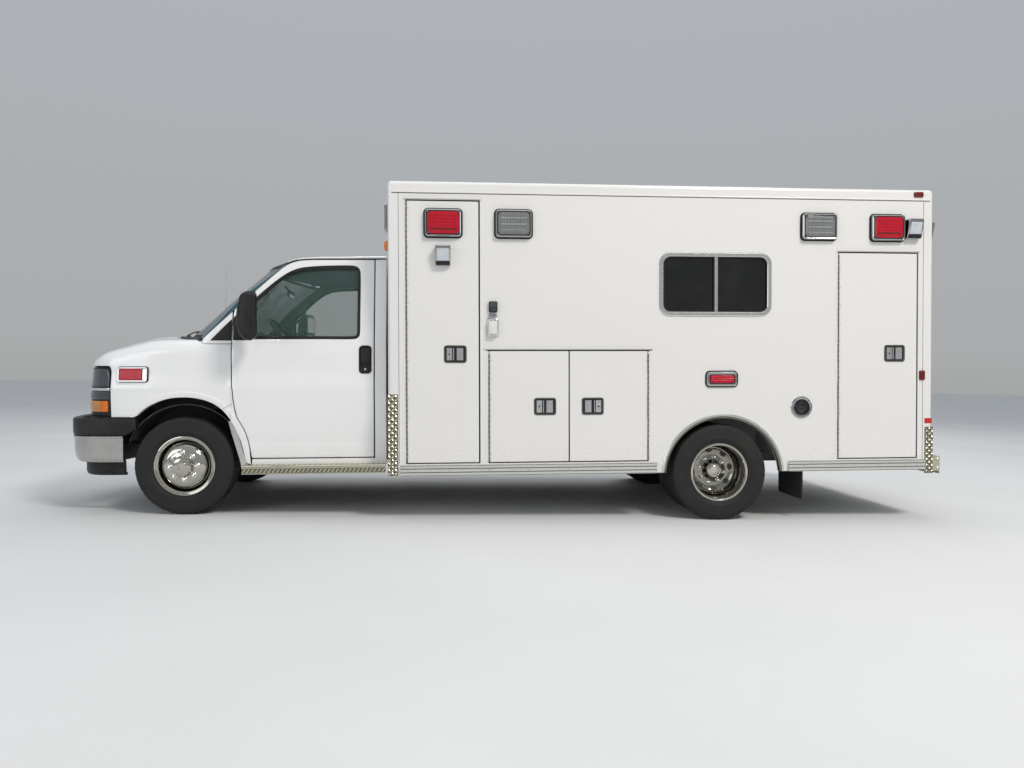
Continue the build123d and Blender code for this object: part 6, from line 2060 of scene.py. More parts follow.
zb = lambda q: 1372.0 + 32.0 * (1 - q * q) ** 0.5 if abs(q) < 1 else 1372.0
zt = lambda q: 1936.0 + 38.0 * (1 - q * q)
glass_m = Mesh()
ws_grid(glass_m, lambda q: zb(q) + 10, lambda q: zt(q) - 10, 0.0, 6.0, 0, -0.99, 0.99)
o = glass_m.done("windscreen_visual", "body", "tinted_glass", GLASS_SCREEN, angle=30)
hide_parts("windscreen")
sm = Mesh()
ring = [ws_pt(lerp(zb(-1), zt(-1), i / 30), -1.0) for i in range(31)] + [ws_pt(zt(q), q) for q in np.linspace(-1, 1, 60)[1:]] + \
    [ws_pt(lerp(zt(1), zb(1), i / 30), 1.0) for i in range(1, 31)] + [ws_pt(zb(q), q) for q in np.linspace(1, -1, 60)[1:-1]]


def flat_band(m, z0f, z1f, q0f, q1f, off, mat, n=60):
    pass


# seal: a wide flat rubber round the glass
ws_grid(sm, lambda q: zb(q) - 2, lambda q: zb(q) + 16, 3.0, 12.0, 0, -1.0, 1.0, nz=3)
ws_grid(sm, lambda q: zt(q) - 16, lambda q: zt(q) + 4, 3.0, 12.0, 0, -1.0, 1.0, nz=3)
for qa, qb in ((-1.008, -0.985), (0.985, 1.008)):
    ws_grid(sm, lambda q: zb(0.98) - 2, lambda q: zt(0.98) + 4, 3.0, 12.0, 1, qa, qb, nz=40, nq=4)
sm.done("windscreen_seal", "body", "black_rubber", [RUBBER_AND_SHADE, SCREEN_EDGE], angle=30)

cowl = Mesh()
N = 96
front, rear = [], []
for i in range(N + 1):
    y = lerp(-930, 930, i / N)
    k = abs(y) / 800.0
    xh = 2440.0 + 252.0 * (1 - k * k) if k < 1 else 2440.0 - (abs(y) - 800) * 0.95
    q = max(-1.0, min(1.0, y / 943.0))
    g = ws_pt(zb(q), q)
    zh = hood_top(xh, min(abs(y), 900)) - 7 - 20 * sstep((abs(y) - 780) / 150)
    front.append((xh - 4, y, zh))
    rear.append((g[0] - 6, y, g[2] + 3))
K = 7
prof = [(0.0, -16), (0.0, 0), (0.10, 9), (0.3, 12), (0.55, 8), (0.8, 2), (1.0, 2), (1.0, -10)]
rows = []
for t, dz in prof:
    rows.append([(lerp(a[0], b[0], t), lerp(a[1], b[1], t), lerp(a[2], b[2], t) + dz) for a, b in zip(front, rear)])
for a, b in zip(rows, rows[1:]):
    strip(cowl, a, b, 0)
# slots of the air intake
for k in range(-14, 15):
    y = k * 44.0
    i = (y + 930) / 1860 * N
    a, b = front[int(i)], rear[int(i)]
    if abs(y) < 90:
        continue
    p0 = (lerp(a[0], b[0], 0.22), y, lerp(a[2], b[2], 0.22) + 12)
    p1 = (lerp(a[0], b[0], 0.76), y, lerp(a[2], b[2], 0.76) + 4)
    cowl.path([p0, p1], 5.0, 6, 0)
# wipers
for y0, y1, sgn in ((560, 60, 1), (-120, -640, 1)):
    q0 = y0 / 943.0
    b = ws_pt(1396, q0)
    piv = (b[0] + 30, y0, 1410)
    cowl.lathe((piv[0], piv[1], piv[2] - 18), (0.35, 0, 1), [(17, 0), (17, 16), (13, 24), (6, 28), (0.2, 28)], 20, 0)
    pts = [(piv[0], piv[1], piv[2] + 8)]
    for k in range(1, 10):
        t = k / 9
        yy = lerp(y0, y1 + 120, t)
        p = ws_pt(1422 + 34 * t, yy / 943.0, 26 - 12 * t)
        pts.append(p)
    cowl.path(pts, 5.5, 8, 0)
    bl = []
    for k in range(0, 19):
        t = k / 18
        yy = lerp(y0 - 40, y1 - 60, t)
        bl.append(ws_pt(1424 + 40 * t, yy / 943.0, 9.0))
    cowl.path(bl, 4.0, 6, 0)
    cowl.path([(p[0], p[1], p[2] + 5) for p in bl[3:16]], 3.0, 6, 0)
cowl.done("cowl_and_wipers", "body", "black_plastic", BLACK_ROUGH, angle=30)

# ---- fender lamp and aerial
def side_light(out, P, w, h, d):
    """Warning light of the fender: thin chrome rim, ribbed red lens, bright block at the rear end."""
    def ring(rows, mat, cap=None):
        pts = [[P(a, b, z) for a, b in l] for l, z in rows]
        for i in range(len(pts) - 1):
            strip(out, pts[i], pts[i + 1], mat, True)
        if cap is not None:
            out.add(pts[-1], [tuple(range(len(pts[-1])))], cap)
    L = lambda k, r: rrect(0, 0, w - 2 * k, h - 2 * k, r, 6)
    ring([(L(-5, 20), 0.3), (L(-5, 20), 6), (L(-1, 17), 8), (L(3, 15), 8)], 1)
    ring([(L(0, 15), 5), (L(1, 15), d * 0.8), (L(4, 13), d), (L(8, 11), d), (L(10, 9), d * 0.7)], 0)
    ring([(L(8, 10), d * 0.4), (L(10, 9), d * 0.62)], 1, 1)
    x0, x1 = -w / 2 + 38, w / 2 - 11
    lens_ = rrect((x0 + x1) / 2, 0, x1 - x0, h - 22, 7, 5)
    ring([(lens_, d * 0.4), (lens_, d * 0.86), (offset_loop(lens_, 3), d * 0.96)], 2, 2)
    for k in range(9):
        b = -h / 2 + 18 + (h - 36) * k / 8
        out.path([P(x0 + 6, b, d * 0.95), P(x1 - 6, b, d * 0.95)], 2.2, 8, 2)
    end = rrect(-w / 2 + 23, 0, 22, h - 24, 5, 5)
    ring([(end, d * 0.4), (end, d * 0.8), (offset_loop(end, 3), d * 0.9)], 0, 0)


lamp = Mesh()
for s in (1, -1):
    q = Mesh()
    side_light(q, lambda a, b, o: (lambda p: (p[0], p[1] + o, p[2]))(fender_surf(u_at_x(2764 + a), 1104 + b, 0.0)), 216, 108, 25)
    q = q if s > 0 else q.mirror()
    n0 = len(lamp.v)
    lamp.v += q.v
    lamp.f += [tuple(i + n0 for i in f) for f in q.f]
    lamp.m += q.m
lamp.done("fender_lamps", "body", "lamp", [CHROME, RUBBER_AND_SHADE, RED])

aer = Mesh()
ax_, ay_ = 2600.0, -880.0
az_ = hood_top(ax_, -ay_) - 14
aer.lathe((ax_, ay_, az_ - 4), (0, -0.15, 1), [(19, 0), (19, 5), (15, 10), (9, 17), (7, 24), (0.2, 24)], 24, 0)
aer.path([(ax_, ay_ - 2, az_ + 18), (ax_ - 4, ay_ - 4, 1600), (ax_ - 10, ay_ - 8, 1900), (ax_ - 16, ay_ - 11, 2150)], 2.2, 8, 1)
aer.lathe((ax_ - 16, ay_ - 11, 2150), (0, 0, 1), [(2.2, -4), (4, 0), (4, 5), (0.2, 8)], 12, 1)
aer.done("aerial", "body", "black_plastic", [BLACK, CHROME_SOFT])

# ---- headlamps: laid into the corner, each lens on its own level
U0 = U_CORNER + 6
U1 = u_at_y(566)


def nose_wall(u, t, depth=0.0):
    return fender_surf(u, min(t, 1160.0), depth)


def lens_block(m, loop, d_back, d_front, mat, r=3.0, grid=18.0, lip=None):
    """A lens over loop (u, z), front face d_front under the skin, back at d_back."""
    panel(m, loop, [], lambda a, b, d: nose_wall(a, b, d_front + d), grid=grid, th=max(4.0, d_back - d_front), r=r, mat=mat)


def frame_band(m, loop, w, d0, d1, mat):
    """Raised rim that follows a loop: w wide, d0 outer face depth, d1 back depth."""
    l = dense(loop, 14)
    if area2(l) < 0:
        l = l[::-1]
    a, b = l, offset_loop(l, w)
    m1, m2 = offset_loop(l, w * 0.25), offset_loop(l, w * 0.75)
    rows = [(a, d1), (a, d0 + 1.5), (m1, d0), (m2, d0), (b, d0 + 1.5), (b, d1)]
    pts = [[nose_wall(p[0], p[1], d) for p in lo] for lo, d in rows]
    for i in range(len(pts) - 1):
        strip(m, pts[i], pts[i + 1], mat, True)


hl = Mesh()
# black carrier behind everything
carrier = [(U0, 790), (U1, 790), (U1, 1158), (U0 + 30, 1158), (U0 + 8, 1148), (U0, 1126)]
panel(hl, carrier, [], lambda a, b, d: nose_wall(a, b, 13 + d), grid=24, th=18, r=3, mat=0)
up = [(U0 + 5, 1009), (U0 + 120, 1009), (U1 - 16, 1009), (U1 - 16, 1150)]
up += [(lerp(U1 - 16, U0 + 44, t), 1150) for t in (0.25, 0.5, 0.75, 1.0)]
up += [(U0 + 28, 1144), (U0 + 15, 1131), (U0 + 8, 1110), (U0 + 5, 1080)]
up = up[::-1] if area2(up) < 0 else up
frame_band(hl, up, 4.0, 4.0, 16.0, 0)
lens_block(hl, offset_loop(up, 4.5), 14, 5.0, 2)
# chrome strip
cs = [(U0 + 2, 983), (U1 - 6, 983), (U1 - 6, 1005), (U0 + 2, 1005)]
lens_block(hl, cs, 16, 0.5, 1, r=6)
# lower dark lens with ribs
dl = [(U0 + 4, 918), (U1 - 12, 918), (U1 - 12, 979), (U0 + 4, 979)]
lens_block(hl, dl, 16, 6.0, 2)
for zz in (926, 938, 950, 962):
    rr_ = [(U0 + 8, zz), (U1 - 16, zz), (U1 - 16, zz + 5), (U0 + 8, zz + 5)]
    lens_block(hl, rr_, 8, 3.6, 2, r=1.6, grid=60)
# amber corner and clear turn lens
am_ = round_corners([(U0 + 24, 824), (U0 + 86, 824), (U0 + 86, 906), (U0 + 24, 906)], 10, 4)
lens_block(hl, am_, 16, 4.0, 3)
am2 = round_corners([(U0 + 88, 824), (U1 - 14, 824), (U1 - 14, 906), (U0 + 88, 906)], 10, 4)
lens_block(hl, am2, 16, 4.5, 4)
for zz in np.arange(832, 900, 9.0):
    rr_ = [(U0 + 28, zz), (U0 + 82, zz), (U0 + 82, zz + 5), (U0 + 28, zz + 5)]
    lens_block(hl, rr_, 6, 2.4, 3, r=1.4, grid=60)
h2 = hl.mirror()
b0 = len(hl.v)
hl.v += h2.v
hl.f += [tuple(i + b0 for i in f) for f in h2.f]
hl.m += h2.m
AMBER_PALE = lens("lens_amber_pale", (0.66, 0.25, 0.045), (0.42, 0.15, 0.03), coat=0.6)
o = hl.done("headlamps_visual", "body", "headlamp", [BLACK, CHROME, SMOKE, AMBER, AMBER_PALE], angle=35)
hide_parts("headlamps")

# ---- grille between the lamps
gr = Mesh()
UM = float(NOSE_U[-1])


def gp(y, z, d=0.0):
    """Front of the nose by y and height."""
    x = front_x(y) - 8.0 - 22.0 * sstep((z - 900) / 261.0)
    return (x - d, y, z)


def front_panel(m, loop, d_front, th, mat, r=3.0, grid=40.0, holes=()):
    panel(m, loop, list(holes), lambda a, b, d: gp(a, b, d_front + d), grid=grid, th=th, r=r, mat=mat)


outer = rrect(0, 973, 1112, 364, 26, 5)
front_panel(gr, outer, 24, 12, 0, grid=50)
inner_h = rrect(0, 973, 1040, 292, 20, 5)
front_panel(gr, outer, 0.0, 22, 1, r=7, grid=40, holes=[inner_h])
# three cross bars
for zc, hh in ((1072, 30), (973, 36), (874, 30)):
    front_panel(gr, rrect(0, zc, 1036, hh, 8, 4), 2.0, 20, 1, r=7, grid=40)
# egg-crate behind
for k in range(-12, 13):
    y = k * 41.5
    front_panel(gr, [(y - 3, 830), (y + 3, 830), (y + 3, 1116), (y - 3, 1116)], 11, 14, 0, r=1.2, grid=80)
for zc in (845, 900, 930, 1000, 1030, 1098):
    front_panel(gr, [(-518, zc - 3), (518, zc - 3), (518, zc + 3), (-518, zc + 3)], 10, 14, 0, r=1.2, grid=80)
o = gr.done("grille_visual", "body", "grille", [BLACK, CHROME], angle=35)
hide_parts("grille")
# panel under the lamps and grille down to the bumper
lp = Mesh()
und = [(U0, 748), (UM, 748), (UM, 788), (U0, 788)]
panel(lp, und, [], lambda a, b, d: nose_wall(a, b, 12 + d), grid=40, th=16, r=3, mat=0)
l2 = lp.mirror()
b0 = len(lp.v)
lp.v += l2.v
lp.f += [tuple(i + b0 for i in f) for f in l2.f]
lp.m += l2.m
lp.done("nose_filler", "body", "black_plastic", BLACK)

# ---- bumper: black cap, bright face, dark dam
_b = [(2745.0, 1002.0), (2800.0, 1002.0), (2950.0, 1000.0)] + arc3((2950, 1000), (3180, 935), (3290, 780), 16)[1:] + \
    arc3((3290, 780), (3409.04, 0), (3290, -780), 40)[1:21]
BUMP = smooth_curve(_b, 8.0, 40)
BUMP_U = np.concatenate([[0], np.cumsum(np.hypot(np.diff(BUMP[:, 0]), np.diff(BUMP[:, 1])))])


def bump_pt(u, n=0.0):
    x, y = float(np.interp(u, BUMP_U, BUMP[:, 0])), float(np.interp(u, BUMP_U, BUMP[:, 1]))
    a, b = max(0.0, u - 8), min(float(BUMP_U[-1]), u + 8)
    dx = float(np.interp(b, BUMP_U, BUMP[:, 0]) - np.interp(a, BUMP_U, BUMP[:, 0]))
    dy = float(np.interp(b, BUMP_U, BUMP[:, 1]) - np.interp(a, BUMP_U, BUMP[:, 1]))
    l = math.hypot(dx, dy)
    return x + dy / l * n, y - dx / l * n


def sweep(m, prof, ua, ub, mat, n=110, shape=None):
    """prof: (inwards, z) loop swept along the bumper; both ends closed."""
    k = len(prof)
    V = []
    for i in range(n + 1):
        u = lerp(ua, ub, i / n)
        for d, z in prof:
            if shape:
                d, z = shape(u, d, z)
            x, y = bump_pt(u, d)
            V.append((x, y, z))
    F = []
    for i in range(n):
        for j in range(k):
            l = (j + 1) % k
            F.append((i * k + j, (i + 1) * k + j, (i + 1) * k + l, i * k + l))
    F.append(tuple(range(k)))
    F.append(tuple(range(n * k, (n + 1) * k)))
    m.add(V, F, mat)


BE = float(BUMP_U[-1])
bp_ = Mesh()
cap = [(58, 768), (54, 776), (22, 780), (8, 778), (2.5, 772), (0.5, 762), (0, 700), (1, 664), (3, 655), (8, 650), (58, 650)]


def cap_shape(u, d, z):
    x = bump_pt(u)[0]
    # the cap thins out towards the wheel
    if x < 2830 and z < 700:
        z += (2830 - x) * 0.55
    return d, z


sweep(bp_, cap, 0.0, BE, 0, shape=cap_shape)
UB = float(np.interp(2840.0, BUMP[:, 0][BUMP[:, 1] > 900], BUMP_U[BUMP[:, 1] > 900]))
face = [(60, 648), (12, 648), (4, 645), (1.5, 640), (3, 634), (9, 628), (10, 600), (9, 540), (9, 488), (13, 466), (22, 452), (34, 450), (62, 452), (62, 470), (40, 476),
        (26, 500), (24, 600), (30, 630), (60, 636)]


def face_shape(u, d, z):
    x, y = bump_pt(u)
    f = sstep((u - UB) / 900.0)
    if z < 560:
        k = (560 - z) / 110.0
        d += 34.0 * k * k * f
    return d, z


sweep(bp_, face, UB, BE, 1, shape=face_shape)
dam = [(106, 452), (92, 452), (89, 440), (89, 372), (97, 352), (109, 345), (131, 347), (131, 362), (109, 372), (105, 440)]
sweep(bp_, dam, UB + 14, BE, 0)
b2 = bp_.mirror()
b0 = len(bp_.v)
bp_.v += b2.v
bp_.f += [tuple(i + b0 for i in f) for f in b2.f]
bp_.m += b2.m
# filler between cap and nose, and brackets
for s in (1, -1):
    bp_.box(2990, 3180, min(s * 560, s * 880), max(s * 560, s * 880), 690, 744, 6, 0)
    bp_.box(3080, 3300, min(s * 355, s * 430), max(s * 355, s * 430), 460, 540, 4, 0)
bp_.box(3150, 3230, -600, 600, 700, 752, 6, 0)
o = bp_.done("bumper_visual", "body", "bumper_chrome", [BLACK, BUMPER], angle=32)
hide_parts("front_bumper")

# ---- sill line over the running boards
sl = Mesh()
for s in (1, -1):
    y = s * 1009
    sl.box(903, 1945, min(s * 930, s * 1008), max(s * 930, s * 1008), 421, 429, 2, 0)
sl.done("sill_line", "body", "cab_paint", CABW)
# ================================================================ cab inside
HEAD = plastic("headliner", (0.155, 0.160, 0.165), 0.85, 500.0, 0.5, 0.12)
DARK_TRIM = plastic("pillar_trim", (0.085, 0.090, 0.095), 0.7, 350.0, 0.35, 0.08)
WHEEL_SKIN = plastic("steering_wheel_skin", (0.016, 0.016, 0.017), 0.45, 500.0, 0.35, 0.03)

# dashboard: one soft profile across the cab, with a hood over the dials
prof = spline([(2148, 905), (2152, 1100), (2150, 1345), (2128, 1420), (2086, 1444), (2040, 1450), (2000, 1443), (1966, 1418), (1948, 1372), (1940, 1300),
               (1944, 1236), (1972, 1180), (1994, 1120), (2002, 1040), (2004, 905)], step=24)
m = Mesh()
NY_ = 90
V, F = [], []
for i in range(NY_ + 1):
    y = lerp(-788.0, 788.0, i / NY_)
    hump = sstep((250.0 - abs(y - 430.0)) / 90.0)
    end = sstep((788.0 - abs(y)) / 40.0)
    for x, z in prof:
        up_ = sstep((z - 1380.0) / 60.0)
        V.append((x - 14.0 * hump * up_ * (1 if x < 2060 else 0) + 6 * (1 - end), y, z + hump * up_ * 7.0 - (1 - end) * 10.0 * up_))
n = len(prof)
for i in range(NY_):
    for j in range(n - 1):
        F.append((i * n + j, (i + 1) * n + j, (i + 1) * n + j + 1, i * n + j + 1))
F += [tuple(range(n)), tuple(range(NY_ * n, (NY_ + 1) * n))]
m.add(V, F, 0)
# dial cluster, vents, radio stack and glove box lid
D_ = lambda y, z, o: (1944.0 - 8.0 * math.sin((z - 1236) / 190.0 * math.pi) - o, y, z)


def dash_plate(yc, zc, w, h, r, out, mat, dish=0.0):
    l = rrect(yc, zc, w, h, r, 5)
    rows = [(l, -6.0), (l, out), (offset_loop(l, 3), out + 1.5), (offset_loop(l, 8), out + 1.5), (offset_loop(l, 11), out - dish)]
    for (l0, o0), (l1, o1) in zip(rows, rows[1:]):
        strip(m, [D_(a, b, o0) for a, b in l0], [D_(a, b, o1) for a, b in l1], mat, True)
    m.add([D_(a, b, out - dish) for a, b in rows[-1][0]], [tuple(range(len(l)))], mat)


dash_plate(430, 1345, 360, 110, 26, 6, 1, 5)
for k, r_ in ((-105, 40), (0, 46), (105, 40)):
    c = D_(430 + k, 1345, 2)
    m.lathe(c, (-1, 0, 0), [(r_, -2), (r_, 4), (r_ - 4, 6), (r_ - 6, 1), (0.2, 1)], 32, 1)
    m.lathe(c, (-1, 0, 0), [(6, 0), (6, 5), (4, 7), (0.2, 7)], 14, 2)
dash_plate(60, 1290, 240, 180, 18, 6, 1, 4)
for zc in (1345, 1300):
    dash_plate(60, zc, 196, 34, 6, 8, 1, 2)
for yy in (-20, 60, 140):
    m.lathe(D_(yy, 1245, 4), (-1, 0, 0), [(19, 0), (19, 12), (16, 16), (5, 17), (0.2, 17)], 24, 2)
for yc in (-250, -650, 215, 690):
    dash_plate(yc, 1352, 120, 66, 12, 6, 1, 4)
    for kk in range(4):
        z = 1333 + kk * 13
        m.box(1926, 1938, yc - 48, yc + 48, z - 1.5, z + 1.5, 1, 1)
dash_plate(-450, 1250, 360, 120, 16, 4, 0, -1)
# column shroud and stalks
C_, A_ = Vector((1760.0, 430.0, 1400.0)), Vector((-math.cos(math.radians(38)), 0, math.sin(math.radians(38))))
m.lathe(C_, A_, [(46, -300), (52, -200), (50, -120), (42, -84), (36, -70), (0.2, -70)], 32, 0)
for sy in (1, -1):
    p0 = C_ + A_ * -95
    m.path([p0, p0 + Vector((6, sy * 90, 10)), p0 + Vector((8, sy * 150, 22))], 6.5, 10, 1)
o = m.done("dashboard_visual", "body", "black_plastic", [DASH, BLACK, CHROME_SOFT], angle=34)
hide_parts("dashboard")

# steering wheel: padded ring, three spokes, hub with a horn pad
m = Mesh()
U_ = Vector((0, 1, 0))
W_ = A_.cross(U_).normalized()
ring_ = []
for i in range(72):
    t = 2 * math.pi * i / 72
    ring_.append(C_ + (U_ * math.cos(t) + W_ * math.sin(t)) * 188.0)
m.path(ring_, 14.0, 14, 0, closed=True)
for t, wd in ((math.radians(8), 26), (math.radians(172), 26), (math.radians(62), 20), (math.radians(118), 20)):
    for sgn in (1,):
        d = U_ * math.cos(t) - W_ * math.sin(t) * (1 if W_.z > 0 else -1)
        e = A_.cross(d).normalized()
        rows = []
        for k in range(9):
            q = k / 8
            r_ = lerp(52, 184, q)
            w2 = lerp(wd * 1.25, wd * 0.8, sstep(q)) * 0.5
            dep = lerp(-20, -4, sstep(q))
            loop = []
            for a in range(12):
                u = 2 * math.pi * a / 12
                loop.append(C_ + d * r_ + e * (w2 * math.cos(u)) + A_ * (dep + 6.5 * math.sin(u)))
            rows.append(loop)
        for a, b in zip(rows, rows[1:]):
            strip(m, a, b, 0, True)
hub = rrect(0, 6, 150, 128, 40, 7)
H_ = lambda a, b, o: C_ + U_ * a + W_ * (b * (-1 if W_.z > 0 else 1)) + A_ * o
rows = [(hub, -34), (hub, -12), (offset_loop(hub, 3), -4), (offset_loop(hub, 12), 1), (offset_loop(hub, 30), 4), (offset_loop(hub, 48), 5)]
for (l0, o0), (l1, o1) in zip(rows, rows[1:]):
    strip(m, [H_(a, b, o0) for a, b in l0], [H_(a, b, o1) for a, b in l1], 0, True)
m.add([H_(a, b, 5) for a, b in rows[-1][0]], [tuple(range(len(hub)))], 0)
m.add([H_(a, b, -34) for a, b in hub], [tuple(range(len(hub)))], 0)
m.lathe(C_ + A_ * -34, -A_, [(40, 0), (38, 14), (30, 26), (0.2, 26)], 28, 0)
o = m.done("steering_wheel_visual", "body", "black_plastic", WHEEL_SKIN, angle=40)
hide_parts("steering_wheel")

# headliner, pillar trims, visors, mirror and grab handles
m = Mesh()
NX_, NY2 = 40, 48
V, F = [], []
for i in range(NX_ + 1):
    for j in range(NY2 + 1):
        q = math.sin((j / NY2 - 0.5) * math.pi)
        y = 815.0 * q
        xf = roof_front(y) - 70.0
        x = lerp(935.0, xf, i / NX_)
        e = sstep((abs(q) - 0.86) / 0.14)
        fr = sstep((i / NX_ - 0.9) / 0.1)
        V.append((x, y, roof_z(x, y) - 34.0 - 44.0 * e * e - 14.0 * fr * fr))
n = NY2 + 1
for i in range(NX_):
    for j in range(NY2):
        F.append((i * n + j, (i + 1) * n + j, (i + 1) * n + j + 1, i * n + j + 1))
m.add(V, F, 0)
m.add([(x, y, z + 6) for x, y, z in V], [tuple(reversed(f)) for f in F], 0)
for s in (1, -1):
    # trim along the windscreen pillar, widening to the dashboard
    rows = []
    for i in range(25):
        t = i / 24
        z = lerp(1400.0, 1960.0, t)
        xo = xpz(z) - 30.0
        xi = xo - lerp(84.0, 62.0, t)
        y0 = cab_side(xo, z)[1] - 34.0
        y1 = cab_side(xi, z)[1] - 62.0
        yb = y0 - 40.0
        rows.append([(xo, s * y0, z), (xo + 10, s * (y0 - 22), z), (xo, s * yb, z), ((xo + xi) / 2, s * (yb - 6), z), (xi, s * (y1 - 14), z), (xi - 6, s * (y1 - 2), z),
                     (xi, s * (y1 + 12), z)])
    for a, b in zip(rows, rows[1:]):
        strip(m, a, b, 1, True)
    # grab handle on the pillar
    hp = []
    for k in range(13):
        t = k / 12
        z = lerp(1560.0, 1730.0, t)
        x = xpz(z) - 122.0 - 52.0 * max(0.0, math.sin(math.pi * t)) ** 0.5
        y = cab_side(x, z)[1] - 78.0 - 16.0 * max(0.0, math.sin(math.pi * t)) ** 0.5
        hp.append((x + (26 if k in (0, 12) else 0), s * (y + (18 if k in (0, 12) else 0)), z))
    m.path(hp, 11.0, 10, 1)
    # rear post trim and belt
    m.box(912, 985, min(s * 800, s * 845), max(s * 800, s * 845), 600, 1950, 14, 1)
    m.box(986, 990, min(s * 778, s * 826), max(s * 778, s * 826), 700, 1780, 1.5, 2)
    m.box(984, 1000, min(s * 774, s * 830), max(s * 774, s * 830), 1765, 1815, 5, 2)
    # sun visor
    vis = rrect(s * 420, 0, 420, 150, 28, 6)
    VP = lambda a, b, o: (1668.0 - 20 + b * 0.86 - o * 0.3, a, roof_z(1600, a) - 66.0 - b * 0.32 + o)
    rows = [(offset_loop(vis, 6), -8), (vis, -3), (vis, 3), (offset_loop(vis, 6), 8)]
    for (l0, o0), (l1, o1) in zip(rows, rows[1:]):
        strip(m, [VP(a, b, o0) for a, b in l0], [VP(a, b, o1) for a, b in l1], 0, True)
    for l0, o0 in (rows[0], rows[-1]):
        m.add([VP(a, b, o0) for a, b in l0], [tuple(range(len(l0)))], 0)
# rear-view mirror on its stalk
m.path([(1846, 0, 1872), (1830, 0, 1846), (1812, 0, 1824)], 8, 10, 2)
mir = rrect(0, 1792, 236, 62, 26, 6)
rows = [(offset_loop(mir, 12), 1812), (mir, 1802), (mir, 1790), (offset_loop(mir, 3), 1787), (offset_loop(mir, 5), 1789)]
for (l0, o0), (l1, o1) in zip(rows, rows[1:]):
    strip(m, [(o0, a, b) for a, b in l0], [(o1, a, b) for a, b in l1], 2, True)
m.add([(1812, a, b) for a, b in rows[0][0]], [tuple(range(len(mir)))], 2)
m.add([(1789, a, b) for a, b in rows[-1][0]], [tuple(range(len(mir)))], 3)
m.done("cab_trim", "body", "black_plastic", [HEAD, DARK_TRIM, BLACK, CHROME], angle=38)


# ---- padded seats: rounded foam blocks blown up as cloth, then the sewn channels pressed in
def foam(name, x, y, z, lean=0.0, taper=0.0, bevel=34.0, voxel=0.008, cap=24.0, pressure=4.0, grooves=(), crown=None):
    bm = bmesh.new()
    bmesh.ops.create_cube(bm, size=1.0)
    for q in bm.verts:
        q.co = Vector((lerp(x[0], x[1], q.co.x + 0.5), lerp(y[0], y[1], q.co.y + 0.5), lerp(z[0], z[1], q.co.z + 0.5)))
    bmesh.ops.bevel(bm, geom=list(bm.edges), offset=bevel, segments=5, profile=0.5, affect="EDGES")
    bmesh.ops.triangulate(bm, faces=bm.faces)
    for q in bm.verts:
        t = (q.co.z - z[0]) / (z[1] - z[0])
        ym = (y[0] + y[1]) / 2
        q.co.y = ym + (q.co.y - ym) * (1 - taper * t)
        if lean:
            back = (q.co.x - x[0]) / (x[1] - x[0])
            q.co.x += lean * t * back
        if crown:
            q.co = Vector(crown(*q.co))
    me = bpy.data.meshes.new(name)
    bm.to_mesh(me)
    bm.free()
    me.transform(Matrix.Scale(0.001, 4))
    o = bpy.data.objects.new(name, me)
    bpy.context.scene.collection.objects.link(o)
    rm = o.modifiers.new("r", "REMESH")
    rm.mode, rm.voxel_size = "VOXEL", voxel
    dg = bpy.context.evaluated_depsgraph_get()
    flat = bpy.data.meshes.new_from_object(o.evaluated_get(dg))
    o.modifiers.clear()
    o.data = flat
    start = [v.co.copy() for v in flat.vertices]
    c = o.modifiers.new("Cloth", "CLOTH")
    c.settings.quality = 5
    c.settings.mass = 0.35
    c.settings.tension_stiffness = c.settings.compression_stiffness = 25
    c.settings.bending_stiffness = 1.5
    c.settings.use_pressure = True
    c.settings.uniform_pressure_force = pressure
    c.settings.effector_weights.gravity = 0.0
    c.collision_settings.use_self_collision = False
    sc = bpy.context.scene
    c.point_cache.frame_start, c.point_cache.frame_end = 1, 20
    for fr in range(1, 21):
        sc.frame_set(fr)
    dg = bpy.context.evaluated_depsgraph_get()
    puffed = bpy.data.meshes.new_from_object(o.evaluated_get(dg))
    o.modifiers.clear()
    pts_ = [v.co.copy() for v in puffed.vertices]
    sc.frame_set(1)
    for v, a, b in zip(flat.vertices, start, pts_):
        d = b - a
        l = d.length
        lim = cap / 1000
        if l > lim:
            d *= lim / l
        v.co = a + d
    # one subdivision, then seams and channels
    ss = o.modifiers.new("s", "SUBSURF")
    ss.levels = ss.render_levels = 1
    dg = bpy.context.evaluated_depsgraph_get()
    fine = bpy.data.meshes.new_from_object(o.evaluated_get(dg))
    o.modifiers.clear()
    o.data = fine
    fine.update()
    nm = [v.normal.copy() for v in fine.vertices]
    co = [v.co.copy() for v in fine.vertices]
    for v, q, nn in zip(fine.vertices, co, nm):
        dep = 0.0
        p = q * 1000
        for g in grooves:
            dist, on = g(p.x, p.y, p.z, nn)
            if on:
                dep = max(dep, 5.5 * math.exp(-(dist / 5.0) ** 2))
        v.co = q - nn * dep / 1000
    # into the vehicle frame
    for v in fine.vertices:
        v.co = T(*(v.co * 1000))
    for p in fine.polygons:
        p.use_smooth = True
    fine.update()
    return o


def place(o, name, body, mat):
    o.data.materials.clear()
    o.data.materials.append(mat)
    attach(o, body)


def twin(o, name):
    me = o.data.copy()
    me.transform(Matrix.Scale(-1, 4, Vector((0, 1, 0))))
    me.flip_normals()
    t = bpy.data.objects.new(name, me)
    bpy.context.scene.collection.objects.link(t)
    return t


